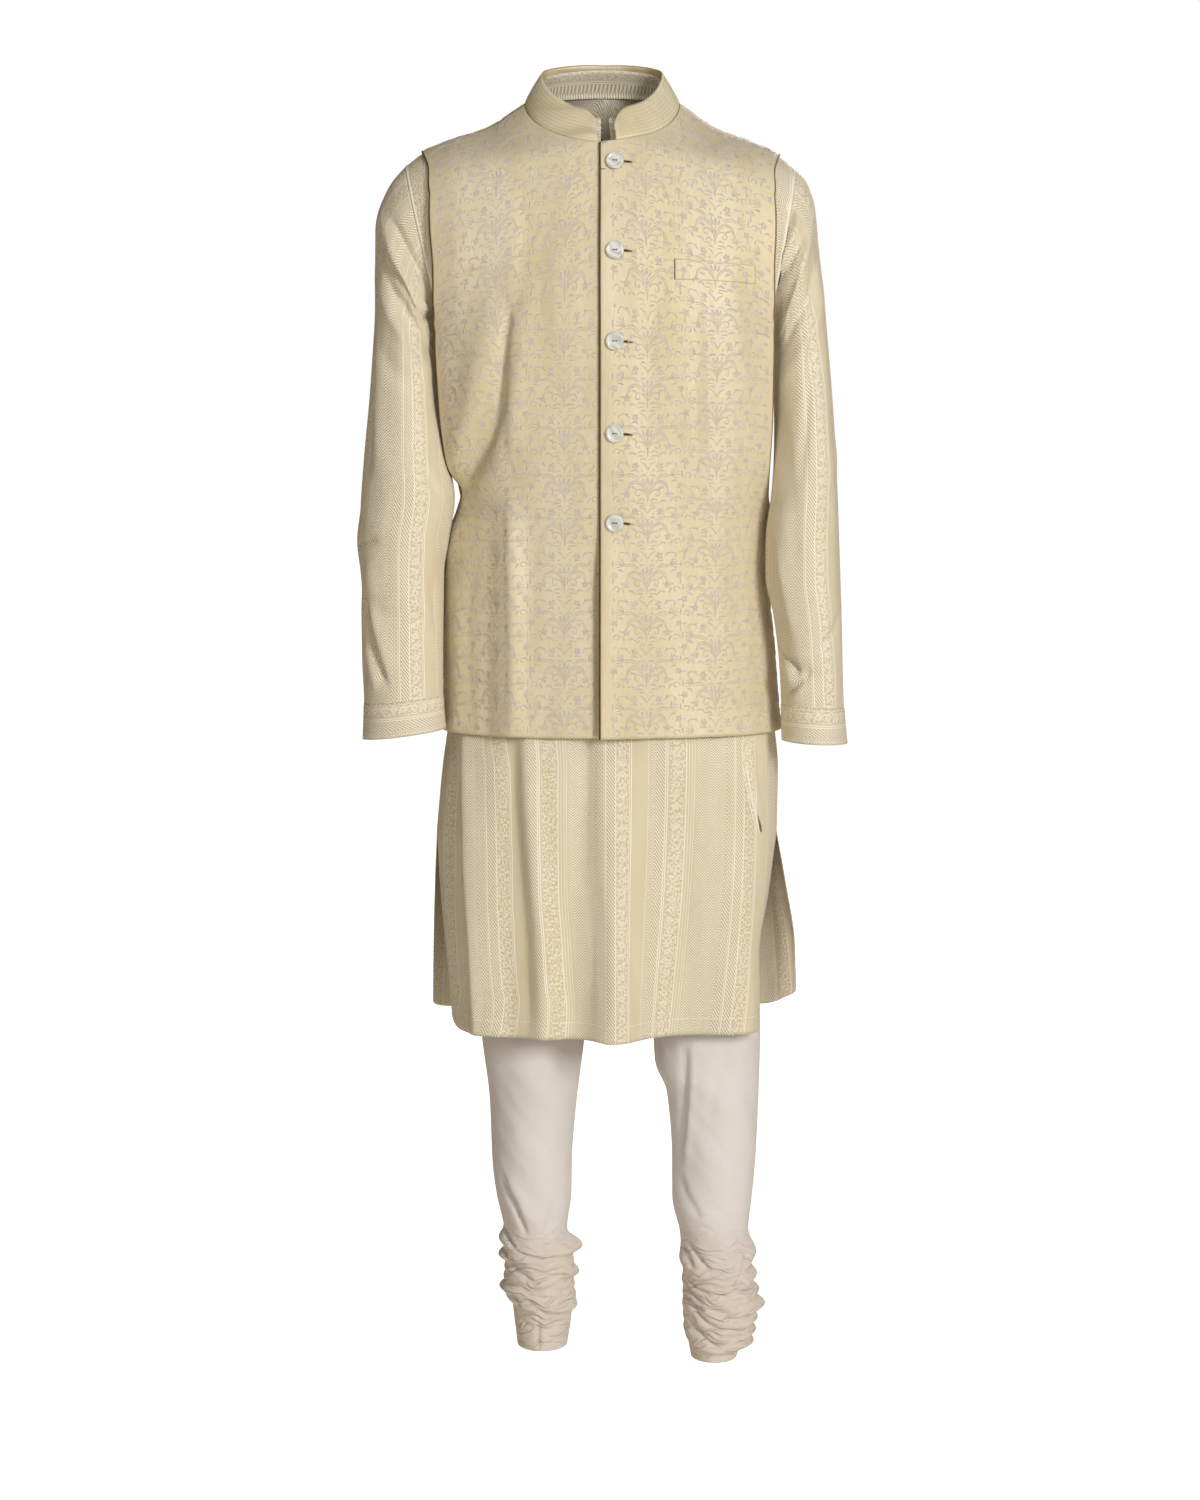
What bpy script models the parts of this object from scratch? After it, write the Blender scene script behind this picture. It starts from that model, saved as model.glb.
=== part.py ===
"""A kurta, the sleeveless band-collar jacket over it and churidar trousers, in the form they take when worn.

The origin is at the middle of the base of the neck, level with its sides. Metres, +Z up. The front
faces -Y and +X is the wearer's left, so "left" and "right" below are always the wearer's.
"""

from collections import namedtuple
import math

import bmesh
import bpy
from mathutils import Vector
import numpy as np

SET_NAME = "kurta_set"

# Cloth walls, and the gaps between pieces
JACKET_WALL = 0.0020
COLLAR_WALL = 0.0022
KURTA_WALL = 0.0012
CHURIDAR_WALL = 0.0010
SEAM_GAP = 0.0003
SIDE_TRIM = 0.0003
SHOULDER_TRIM = 0.0005
JACKET_SIDE_TRIM = 0.0004
JACKET_SHOULDER_TRIM = 0.0008
LAYER_GAP = 0.0010
TOP_FRONT_RAISE = 0.0034
GIVE_DEPTH = 1.15
GIVE_WIDTH = 1.7

# Heights on the body
HEM = -1.058
SLIT_TOP = -0.832
JACKET_HEM = -0.7155
ARMPIT = -0.262
WAIST = -0.475
CROTCH = -0.745

# Neck
NECK_HALF_WIDTH = 0.0860
NECK_MIDDLE_X = -0.0045
NECK_SIDE = -0.0135
NECK_FRONT = (-0.0735, -0.0605)
NECK_BACK = (0.0610, 0.0010)
KURTA_NECK_INSET = 0.0052
KURTA_NECK_RISE = 0.0012
KURTA_NECK_REACH = (0.11, 0.12)
FRONT_NECK_UP = 1.68
BACK_NECK_UP = 1.80

# Jacket details
TOP_FRONT_LAP = -0.0070
UNDER_FRONT_LAP = 0.0220
LAP_SCALE = 3.0
COLLAR_HEIGHT = 0.0338
COLLAR_LEAN = 0.0195
COLLAR_END_RADIUS = 0.024
COLLAR_SEAT = 0.0006
COLLAR_LIFT = 0.0005
JACKET_COLLAR_ENDS = (6.6, 5.6)
BAND_COLLAR_ENDS = (4.0, 4.0)
BUTTON_RADIUS = 0.0100
BUTTON_THICKNESS = 0.0034
BUTTON_X = 0.0090
BUTTON_HEIGHTS = (-0.0810, -0.1790, -0.2780, -0.3790, -0.4770)
WELT_INNER_X = 0.0750
WELT_OUTER_X = 0.1650
WELT_TOP = (-0.1880, -0.1950)
WELT_BOTTOM = (-0.2110, -0.2150)
WELT_WALL = 0.0012

# Kurta details
BAND_HEIGHT = 0.0280
CUFF_PROUD = 0.0006
CUFF_START = 0.942

# Trousers
WAISTBAND_TOP = -0.438

Shoulder = namedtuple("Shoulder", "top_x top_z pit_x pit_z depth")
RIGHT_ARMHOLE = Shoulder(top_x=-0.2265, top_z=-0.0812, pit_x=-0.1855, pit_z=ARMPIT, depth=0.062)
LEFT_ARMHOLE = Shoulder(top_x=0.2140, top_z=-0.0850, pit_x=0.1830, pit_z=ARMPIT, depth=0.062)

# Height of the middle of the front and back above the armpits is read from the same table as below them
Middle = namedtuple("Middle", "z front back")
MIDDLES = (
    Middle(z=HEM, front=-0.108, back=0.118),
    Middle(z=-0.96, front=-0.112, back=0.121),
    Middle(z=-0.84, front=-0.118, back=0.123),
    Middle(z=-0.72, front=-0.121, back=0.122),
    Middle(z=-0.62, front=-0.116, back=0.117),
    Middle(z=-0.50, front=-0.112, back=0.106),
    Middle(z=-0.36, front=-0.113, back=0.106),
    Middle(z=-0.26, front=-0.113, back=0.112),
    Middle(z=-0.19, front=-0.108, back=0.115),
    Middle(z=-0.12, front=-0.093, back=0.108),
    Middle(z=NECK_FRONT[1], front=NECK_FRONT[0], back=0.086),
    Middle(z=NECK_BACK[1], front=-0.040, back=NECK_BACK[0]),
)

# Where the side seams hang, and how square the body is in plan
Side = namedtuple("Side", "z right left square")
SIDES = (
    Side(z=SLIT_TOP, right=-0.1950, left=0.1965, square=2.7),
    Side(z=-0.76, right=-0.1880, left=0.1975, square=2.6),
    Side(z=-0.715, right=-0.1820, left=0.1935, square=2.5),
    Side(z=-0.687, right=-0.1800, left=0.1900, square=2.4),
    Side(z=-0.617, right=-0.1795, left=0.1838, square=2.4),
    Side(z=-0.57, right=-0.1795, left=0.1785, square=2.4),
    Side(z=-0.52, right=-0.1795, left=0.1750, square=2.4),
    Side(z=-0.495, right=-0.1745, left=0.1760, square=2.4),
    Side(z=-0.465, right=-0.1645, left=0.1775, square=2.4),
    Side(z=-0.440, right=-0.1680, left=0.1790, square=2.4),
    Side(z=-0.41, right=-0.1765, left=0.1800, square=2.4),
    Side(z=-0.36, right=-0.1812, left=0.1812, square=2.4),
    Side(z=-0.30, right=-0.1842, left=0.1822, square=2.4),
    Side(z=ARMPIT, right=-0.1855, left=0.1830, square=2.4),
)

# Below the side slits each panel has its own edges
Slit = namedtuple("Slit", "z right_x right_y left_x left_y square right_rise left_rise")
FRONT_SLITS = (
    Slit(HEM, right_x=-0.1775, right_y=-0.026, left_x=0.1755, left_y=-0.040, square=3.2,
         right_rise=0.013, left_rise=0.001),
    Slit(-0.97, right_x=-0.1845, right_y=-0.018, left_x=0.1755, left_y=-0.034, square=3.1,
         right_rise=0.004, left_rise=0.000),
    Slit(-0.905, right_x=-0.1905, right_y=-0.009, left_x=0.1860, left_y=-0.018, square=2.9,
         right_rise=0.000, left_rise=0.000),
    Slit(SLIT_TOP, right_x=-0.1950, right_y=-0.0003, left_x=0.1965, left_y=-0.0003, square=2.7,
         right_rise=0.000, left_rise=0.000),
)
BACK_SLITS = (
    Slit(HEM, right_x=-0.2035, right_y=0.046, left_x=0.2246, left_y=0.055, square=1.8,
         right_rise=0.0145, left_rise=0.026),
    Slit(-0.98, right_x=-0.2018, right_y=0.034, left_x=0.2215, left_y=0.040, square=2.0,
         right_rise=0.006, left_rise=0.010),
    Slit(-0.90, right_x=-0.1988, right_y=0.016, left_x=0.2092, left_y=0.018, square=2.4,
         right_rise=0.001, left_rise=0.002),
    Slit(SLIT_TOP, right_x=-0.1950, right_y=0.0003, left_x=0.1965, left_y=0.0003, square=2.7,
         right_rise=0.000, left_rise=0.000),
)


# Rise of the shoulder line over a straight one, from the neck to the arm
Rise = namedtuple("Rise", "along rise")
SHOULDER_LINE = (
    Rise(along=0.0, rise=0.0),
    Rise(along=0.29, rise=-0.006),
    Rise(along=0.62, rise=0.002),
    Rise(along=0.85, rise=0.005),
    Rise(along=1.0, rise=0.0),
)

# The jacket's armhole on the kurta's form: how far out the cloth reaches and how far it stands off
Edge = namedtuple("Edge", "up reach right_lift left_lift")
JACKET_ARMHOLE = (
    Edge(up=0.737, reach=1.00, right_lift=0.000, left_lift=0.002),
    Edge(up=0.765, reach=0.83, right_lift=0.001, left_lift=0.004),
    Edge(up=0.815, reach=0.775, right_lift=0.005, left_lift=0.009),
    Edge(up=0.880, reach=0.765, right_lift=0.012, left_lift=0.012),
    Edge(up=1.000, reach=0.770, right_lift=0.014, left_lift=0.012),
    Edge(up=1.150, reach=0.850, right_lift=0.013, left_lift=0.010),
    Edge(up=1.300, reach=0.920, right_lift=0.010, left_lift=0.008),
    Edge(up=1.500, reach=0.900, right_lift=0.005, left_lift=0.005),
    Edge(up=1.700, reach=0.850, right_lift=0.002, left_lift=0.002),
    Edge(up=1.850, reach=0.790, right_lift=0.000, left_lift=0.000),
    Edge(up=2.000, reach=0.805, right_lift=0.000, left_lift=0.000),
)

# Clearance of the jacket from the kurta's form
Ease = namedtuple("Ease", "up ease")
JACKET_EASE = (
    Ease(up=0.42, ease=0.0062),
    Ease(up=0.60, ease=0.0070),
    Ease(up=0.72, ease=0.0066),
    Ease(up=1.00, ease=0.0050),
    Ease(up=1.50, ease=0.0036),
    Ease(up=1.80, ease=JACKET_WALL + LAYER_GAP),
    Ease(up=2.00, ease=JACKET_WALL + LAYER_GAP),
)

# Long folds, each as the line it follows down the cloth; a negative "out" is a valley
Fold = namedtuple("Fold", "z x out width")
JACKET_FOLDS = {
    "right_drag": (
        Fold(z=-0.475, x=-0.178, out=0.000, width=0.012),
        Fold(z=-0.447, x=-0.160, out=-0.006, width=0.012),
        Fold(z=-0.405, x=-0.139, out=-0.011, width=0.013),
        Fold(z=-0.330, x=-0.118, out=-0.009, width=0.013),
        Fold(z=-0.250, x=-0.105, out=-0.004, width=0.013),
        Fold(z=-0.205, x=-0.100, out=0.000, width=0.013),
    ),
    "right_drag_ridge": (
        Fold(z=-0.440, x=-0.172, out=0.000, width=0.012),
        Fold(z=-0.380, x=-0.152, out=0.006, width=0.014),
        Fold(z=-0.320, x=-0.140, out=0.005, width=0.014),
        Fold(z=-0.250, x=-0.130, out=0.000, width=0.014),
    ),
    "right_lower_ridge": (
        Fold(z=-0.720, x=-0.106, out=0.006, width=0.016),
        Fold(z=-0.540, x=-0.104, out=0.006, width=0.015),
        Fold(z=-0.430, x=-0.104, out=0.000, width=0.014),
    ),
    "right_lower_hollow": (
        Fold(z=-0.720, x=-0.138, out=-0.003, width=0.015),
        Fold(z=-0.540, x=-0.134, out=-0.004, width=0.015),
        Fold(z=-0.450, x=-0.130, out=0.000, width=0.014),
    ),
    "left_hollow": (
        Fold(z=-0.720, x=0.106, out=-0.003, width=0.014),
        Fold(z=-0.520, x=0.102, out=-0.004, width=0.013),
        Fold(z=-0.360, x=0.096, out=0.000, width=0.012),
    ),
}
JACKET_BACK_FOLDS = {
    "right_back": (
        Fold(z=-0.720, x=-0.085, out=-0.006, width=0.020),
        Fold(z=-0.520, x=-0.070, out=-0.006, width=0.018),
        Fold(z=-0.360, x=-0.060, out=0.000, width=0.016),
    ),
    "left_back": (
        Fold(z=-0.720, x=0.070, out=-0.005, width=0.020),
        Fold(z=-0.560, x=0.060, out=-0.006, width=0.018),
        Fold(z=-0.420, x=0.055, out=0.000, width=0.016),
    ),
}
SKIRT_FRONT_FOLDS = {
    "middle_ridge": (
        Fold(z=-1.060, x=0.010, out=0.036, width=0.031),
        Fold(z=-0.960, x=0.006, out=0.024, width=0.030),
        Fold(z=-0.850, x=0.002, out=0.010, width=0.028),
        Fold(z=-0.730, x=0.000, out=0.000, width=0.028),
    ),
    "right_ridge": (
        Fold(z=-1.060, x=-0.074, out=0.006, width=0.020),
        Fold(z=-0.900, x=-0.084, out=0.006, width=0.018),
        Fold(z=-0.730, x=-0.094, out=0.002, width=0.018),
        Fold(z=-0.690, x=-0.096, out=0.000, width=0.018),
    ),
    "right_hollow": (
        Fold(z=-1.060, x=-0.108, out=-0.005, width=0.016),
        Fold(z=-0.900, x=-0.112, out=-0.006, width=0.016),
        Fold(z=-0.730, x=-0.116, out=0.000, width=0.016),
    ),
    "middle_hollow": (
        Fold(z=-1.060, x=-0.036, out=-0.004, width=0.014),
        Fold(z=-0.900, x=-0.034, out=-0.005, width=0.014),
        Fold(z=-0.760, x=-0.030, out=0.000, width=0.014),
    ),
    "left_flat": (
        Fold(z=-1.060, x=0.095, out=-0.022, width=0.052),
        Fold(z=-0.900, x=0.100, out=-0.012, width=0.050),
        Fold(z=-0.740, x=0.105, out=0.000, width=0.050),
    ),
}
SKIRT_BACK_FOLDS = {
    "back_right": (
        Fold(z=-1.060, x=-0.110, out=0.010, width=0.024),
        Fold(z=-0.880, x=-0.105, out=0.006, width=0.022),
        Fold(z=-0.740, x=-0.100, out=0.000, width=0.022),
    ),
    "back_middle": (
        Fold(z=-1.060, x=-0.020, out=-0.014, width=0.028),
        Fold(z=-0.880, x=-0.018, out=-0.008, width=0.026),
        Fold(z=-0.740, x=-0.015, out=0.000, width=0.026),
    ),
    "back_left": (
        Fold(z=-1.060, x=0.075, out=0.012, width=0.026),
        Fold(z=-0.880, x=0.072, out=0.007, width=0.024),
        Fold(z=-0.740, x=0.070, out=0.000, width=0.024),
    ),
}

# Sleeves, from the armhole down: the outermost and innermost point of each ring
Ring = namedtuple("Ring", "down outer_x outer_z inner_x inner_z middle_y depth")
RIGHT_SLEEVE = (
    Ring(0.00, -0.2265, -0.0812, -0.1855, -0.2620, 0.000, 0.0620),
    Ring(0.05, -0.2425, -0.1000, -0.1872, -0.2670, 0.000, 0.0635),
    Ring(0.10, -0.2535, -0.1230, -0.1878, -0.2740, -0.001, 0.0635),
    Ring(0.15, -0.2608, -0.1540, -0.1880, -0.2830, -0.003, 0.0625),
    Ring(0.21, -0.2604, -0.1980, -0.1882, -0.2950, -0.006, 0.0610),
    Ring(0.28, -0.2610, -0.2420, -0.1880, -0.3130, -0.010, 0.0590),
    Ring(0.35, -0.2638, -0.2900, -0.1862, -0.3380, -0.015, 0.0570),
    Ring(0.43, -0.2675, -0.3430, -0.1820, -0.3720, -0.022, 0.0560),
    Ring(0.51, -0.2722, -0.3960, -0.1770, -0.4120, -0.031, 0.0550),
    Ring(0.59, -0.2760, -0.4480, -0.1705, -0.4520, -0.040, 0.0535),
    Ring(0.67, -0.2804, -0.5000, -0.1770, -0.4980, -0.047, 0.0520),
    Ring(0.73, -0.2766, -0.5370, -0.1825, -0.5350, -0.051, 0.0505),
    Ring(0.80, -0.2758, -0.5820, -0.1832, -0.5780, -0.054, 0.0490),
    Ring(0.88, -0.2750, -0.6350, -0.1838, -0.6290, -0.058, 0.0475),
    Ring(CUFF_START, -0.2730, -0.6805, -0.1838, -0.6715, -0.062, 0.0460),
    Ring(1.00, -0.2742, -0.7215, -0.1812, -0.7095, -0.065, 0.0460),
)

LEFT_SLEEVE = (
    Ring(0.00, 0.2140, -0.0850, 0.1830, -0.2620, 0.000, 0.0620),
    Ring(0.05, 0.2250, -0.0970, 0.1850, -0.2670, 0.000, 0.0635),
    Ring(0.10, 0.2330, -0.1180, 0.1865, -0.2740, -0.002, 0.0635),
    Ring(0.15, 0.2385, -0.1540, 0.1875, -0.2830, -0.004, 0.0625),
    Ring(0.21, 0.2425, -0.1980, 0.1885, -0.2950, -0.008, 0.0610),
    Ring(0.28, 0.2470, -0.2420, 0.1890, -0.3130, -0.013, 0.0590),
    Ring(0.35, 0.2510, -0.2900, 0.1890, -0.3380, -0.020, 0.0570),
    Ring(0.43, 0.2550, -0.3430, 0.1895, -0.3720, -0.030, 0.0560),
    Ring(0.51, 0.2580, -0.3960, 0.1885, -0.4120, -0.041, 0.0550),
    Ring(0.59, 0.2600, -0.4480, 0.1850, -0.4520, -0.051, 0.0535),
    Ring(0.67, 0.2618, -0.5000, 0.1792, -0.4980, -0.058, 0.0520),
    Ring(0.73, 0.2632, -0.5400, 0.1790, -0.5380, -0.061, 0.0510),
    Ring(0.80, 0.2648, -0.5850, 0.1880, -0.5820, -0.063, 0.0495),
    Ring(0.88, 0.2662, -0.6380, 0.1945, -0.6340, -0.065, 0.0480),
    Ring(CUFF_START, 0.2680, -0.6845, 0.1972, -0.6810, -0.066, 0.0465),
    Ring(1.00, 0.2716, -0.7258, 0.1985, -0.7225, -0.067, 0.0465),
)

# Folds and gathers round a tube, by where they lie and how far they stand out at its inner, front,
# outer and back side, with the width of the upper and the lower slope
Band = namedtuple("Band", "at out upper lower")
RIGHT_SLEEVE_BANDS = (
    Band(at=(0.15, 0.135, 0.11, 0.13), out=(0.002, 0.006, 0.001, 0.002), upper=0.022, lower=0.018),
    Band(at=(0.24, 0.20, 0.15, 0.20), out=(0.001, -0.006, -0.001, -0.002), upper=0.024, lower=0.020),
    Band(at=(0.30, 0.27, 0.22, 0.27), out=(0.000, 0.005, 0.001, 0.002), upper=0.026, lower=0.024),
    Band(at=(0.40, 0.36, 0.30, 0.36), out=(0.000, -0.004, 0.000, -0.002), upper=0.030, lower=0.028),
    Band(at=(0.70, 0.66, 0.62, 0.66), out=(0.000, 0.003, -0.001, 0.003), upper=0.024, lower=0.020),
    Band(at=(0.86, 0.81, 0.75, 0.80), out=(0.000, -0.004, -0.001, -0.003), upper=0.026, lower=0.020),
)
LEFT_SLEEVE_BANDS = (
    Band(at=(0.16, 0.14, 0.11, 0.14), out=(0.001, 0.005, 0.001, 0.002), upper=0.022, lower=0.018),
    Band(at=(0.25, 0.21, 0.16, 0.21), out=(0.001, -0.005, -0.001, -0.002), upper=0.024, lower=0.022),
    Band(at=(0.34, 0.30, 0.24, 0.30), out=(0.000, 0.004, 0.001, 0.002), upper=0.028, lower=0.026),
    Band(at=(0.64, 0.58, 0.52, 0.58), out=(0.000, 0.003, 0.001, 0.003), upper=0.028, lower=0.024),
    Band(at=(0.84, 0.90, 0.95, 0.90), out=(0.000, -0.004, -0.001, -0.003), upper=0.026, lower=0.020),
)

# Trouser legs, from the ankle up: the tube below the crotch
Leg = namedtuple("Leg", "z inner outer front back")
RIGHT_LEG = (
    Leg(z=-1.4370, inner=-0.0450, outer=-0.1035, front=-0.052, back=0.022),
    Leg(z=-1.4000, inner=-0.0400, outer=-0.1080, front=-0.050, back=0.026),
    Leg(z=-1.3500, inner=-0.0405, outer=-0.1140, front=-0.048, back=0.030),
    Leg(z=-1.3030, inner=-0.0450, outer=-0.1185, front=-0.047, back=0.034),
    Leg(z=-1.2600, inner=-0.0400, outer=-0.1280, front=-0.050, back=0.044),
    Leg(z=-1.2230, inner=-0.0395, outer=-0.1325, front=-0.052, back=0.052),
    Leg(z=-1.1500, inner=-0.0336, outer=-0.1355, front=-0.054, back=0.060),
    Leg(z=-1.0700, inner=-0.0240, outer=-0.1448, front=-0.058, back=0.060),
    Leg(z=-0.9600, inner=-0.0170, outer=-0.1510, front=-0.062, back=0.062),
    Leg(z=-0.8500, inner=-0.0060, outer=-0.1600, front=-0.074, back=0.076),
    Leg(z=CROTCH, inner=-0.00020, outer=-0.1650, front=-0.088, back=0.092),
)
LEFT_LEG = (
    Leg(z=-1.4440, inner=0.0985, outer=0.1520, front=-0.074, back=-0.006),
    Leg(z=-1.4100, inner=0.0930, outer=0.1640, front=-0.074, back=0.000),
    Leg(z=-1.3600, inner=0.0910, outer=0.1680, front=-0.072, back=0.006),
    Leg(z=-1.3030, inner=0.0860, outer=0.1650, front=-0.070, back=0.014),
    Leg(z=-1.2600, inner=0.0768, outer=0.1695, front=-0.070, back=0.026),
    Leg(z=-1.2130, inner=0.0766, outer=0.1740, front=-0.068, back=0.038),
    Leg(z=-1.1400, inner=0.0706, outer=0.1775, front=-0.064, back=0.050),
    Leg(z=-1.1050, inner=0.0570, outer=0.1785, front=-0.063, back=0.052),
    Leg(z=-1.0700, inner=0.0545, outer=0.1792, front=-0.062, back=0.056),
    Leg(z=-0.9600, inner=0.0400, outer=0.1770, front=-0.062, back=0.062),
    Leg(z=-0.8500, inner=0.0140, outer=0.1730, front=-0.074, back=0.076),
    Leg(z=CROTCH, inner=0.00020, outer=0.1680, front=-0.088, back=0.092),
)

# The hips above the crotch, both legs together
Hip = namedtuple("Hip", "z half front back")
HIPS = (
    Hip(z=CROTCH, half=0.1660, front=-0.098, back=0.104),
    Hip(z=-0.68, half=0.1650, front=-0.110, back=0.1070),
    Hip(z=-0.62, half=0.1630, front=-0.1148, back=0.1040),
    Hip(z=-0.54, half=0.1570, front=-0.105, back=0.0930),
    Hip(z=WAIST, half=0.1480, front=-0.097, back=0.0880),
)

SEAT_TOP = -0.655

RIGHT_GATHERS = (
    Band(at=(-1.322, -1.322, -1.313, -1.318), out=(0.0165, 0.004, 0.008, 0.007), upper=0.009, lower=0.007),
    Band(at=(-1.338, -1.334, -1.332, -1.336), out=(0.0040, 0.004, 0.010, 0.004), upper=0.007, lower=0.005),
    Band(at=(-1.353, -1.345, -1.346, -1.350), out=(0.0095, 0.004, 0.004, 0.006), upper=0.008, lower=0.005),
    Band(at=(-1.367, -1.358, -1.357, -1.362), out=(0.0040, 0.005, 0.006, 0.004), upper=0.007, lower=0.005),
    Band(at=(-1.379, -1.372, -1.369, -1.374), out=(0.0050, 0.004, 0.012, 0.007), upper=0.007, lower=0.006),
    Band(at=(-1.392, -1.388, -1.380, -1.386), out=(0.0070, 0.006, 0.006, 0.005), upper=0.008, lower=0.005),
)
LEFT_GATHERS = (
    Band(at=(-1.332, -1.352, -1.322, -1.336), out=(0.0040, 0.003, 0.009, 0.006), upper=0.014, lower=0.008),
    Band(at=(-1.356, -1.362, -1.348, -1.356), out=(0.0030, 0.006, 0.008, 0.005), upper=0.008, lower=0.006),
    Band(at=(-1.370, -1.376, -1.366, -1.372), out=(0.0025, 0.005, 0.010, 0.006), upper=0.007, lower=0.006),
    Band(at=(-1.384, -1.390, -1.383, -1.388), out=(0.0035, 0.005, 0.018, 0.008), upper=0.009, lower=0.007),
    Band(at=(-1.397, -1.404, -1.399, -1.402), out=(0.0030, 0.005, 0.011, 0.006), upper=0.007, lower=0.006),
    Band(at=(-1.410, -1.418, -1.413, -1.416), out=(0.0030, 0.005, 0.011, 0.005), upper=0.007, lower=0.006),
    Band(at=(-1.420, -1.430, -1.427, -1.428), out=(0.0020, 0.006, 0.013, 0.005), upper=0.007, lower=0.004),
)


# How finely the pieces are cut into facets
ARMHOLE_ROWS = (0.757, 0.80, 0.86, 0.93)
CHEST_ROWS = (1.0, 1.17, 1.34, 1.51)
BACK_CHEST_ROWS = (1.0, 1.17, 1.34, 1.51, 1.66)
FRONT_NECK_TURNS = (0.0, 0.25, 0.5, 0.75, 1.0)
BACK_NECK_TURNS = (0.0, 0.25, 0.5, 0.75, 1.0)
BODY_FRONT_COLUMNS = 9
BODY_BACK_COLUMNS = 7
JACKET_FRONT_COLUMNS = 12
JACKET_BACK_COLUMNS = 8


def read(rows, column, at, key="z"):
    """One column of a table at any place on its key column, on a smooth curve that never overshoots."""
    places = np.array([getattr(row, key) for row in rows])
    values = np.array([getattr(row, column) for row in rows])
    steps = np.diff(places)
    rates = np.diff(values) / steps
    slopes = np.concatenate([rates[:1], np.zeros(len(rates) - 1), rates[-1:]])
    same_way = rates[:-1] * rates[1:] > 0
    total = np.where(same_way, rates[:-1] + rates[1:], 1.0)
    slopes[1:-1] = np.where(same_way, 2 * rates[:-1] * rates[1:] / total, 0.0)
    at = np.clip(at, places[0], places[-1])
    here = np.clip(np.searchsorted(places, at, side="right") - 1, 0, len(steps) - 1)
    step = steps[here]
    part = (at - places[here]) / step
    rest = 1.0 - part
    return (
        values[here] * (1 + 2 * part) * rest**2
        + values[here + 1] * (3 - 2 * part) * part**2
        + slopes[here] * step * part * rest**2
        - slopes[here + 1] * step * part**2 * rest
    )


def ramp(value):
    """Rises from 0 to 1 with level ends."""
    value = np.clip(value, 0.0, 1.0)
    return value * value * (3.0 - 2.0 * value)


def mix(first, second, share):
    return first + (second - first) * share


def triple(x, y, z):
    return np.stack(np.broadcast_arrays(x, y, z), axis=-1).astype(float)


def fold_depth(folds, x, z, wider=1.0):
    """How far a panel's folds push it out at each place."""
    depth = np.zeros(np.broadcast(x, z).shape)
    for line in folds.values():
        across = (x - read(line, "x", z)) / (read(line, "width", z) * wider)
        inside = (z > line[0].z - 0.001) & (z < line[-1].z + 0.001)
        depth += np.where(inside, read(line, "out", z) * np.exp(-across * across), 0.0)
    return depth


def around(values, angle):
    """A value given at the inner, front, outer and back side of a tube, at any angle round it."""
    quarters = np.mod(angle, 2 * math.pi) / (math.pi / 2)
    here = np.floor(quarters).astype(int) % 4
    table = np.array(values)
    return mix(table[here], table[(here + 1) % 4], ramp(quarters - np.floor(quarters)))


def band_depth(bands, at, angle):
    """How far the folds round a tube push it out; their lower slope is the steeper one."""
    depth = np.zeros(np.broadcast(at, angle).shape)
    for band in bands:
        off = at - around(band.at, angle)
        width = np.where(off > 0, band.upper, band.lower)
        depth += around(band.out, angle) * np.exp(-((off / width) ** 2))
    return depth


def armhole_point(shoulder, side, up):
    """The kurta's armhole seam, from the pit at up 1 to the shoulder at up 2; side is -1 in front, 1 behind."""
    angle = math.pi * (up - 1.0)
    share = (1 - np.cos(angle)) / 2
    x = mix(shoulder.pit_x, shoulder.top_x, share)
    z = mix(shoulder.pit_z, shoulder.top_z, share)
    return triple(x, side * shoulder.depth * np.sin(angle), z)


def neck_point(face, hand, turn):
    """The kurta's neckline; turn runs from 0 at the middle of the front or back to 1 at the side."""
    angle = turn * math.pi / 2
    far_y, far_z = NECK_FRONT if face < 0 else NECK_BACK
    x = hand * (NECK_HALF_WIDTH + hand * NECK_MIDDLE_X) * np.sin(angle)
    return triple(x, far_y * np.cos(angle), mix(NECK_SIDE, far_z, np.cos(angle)))


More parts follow.
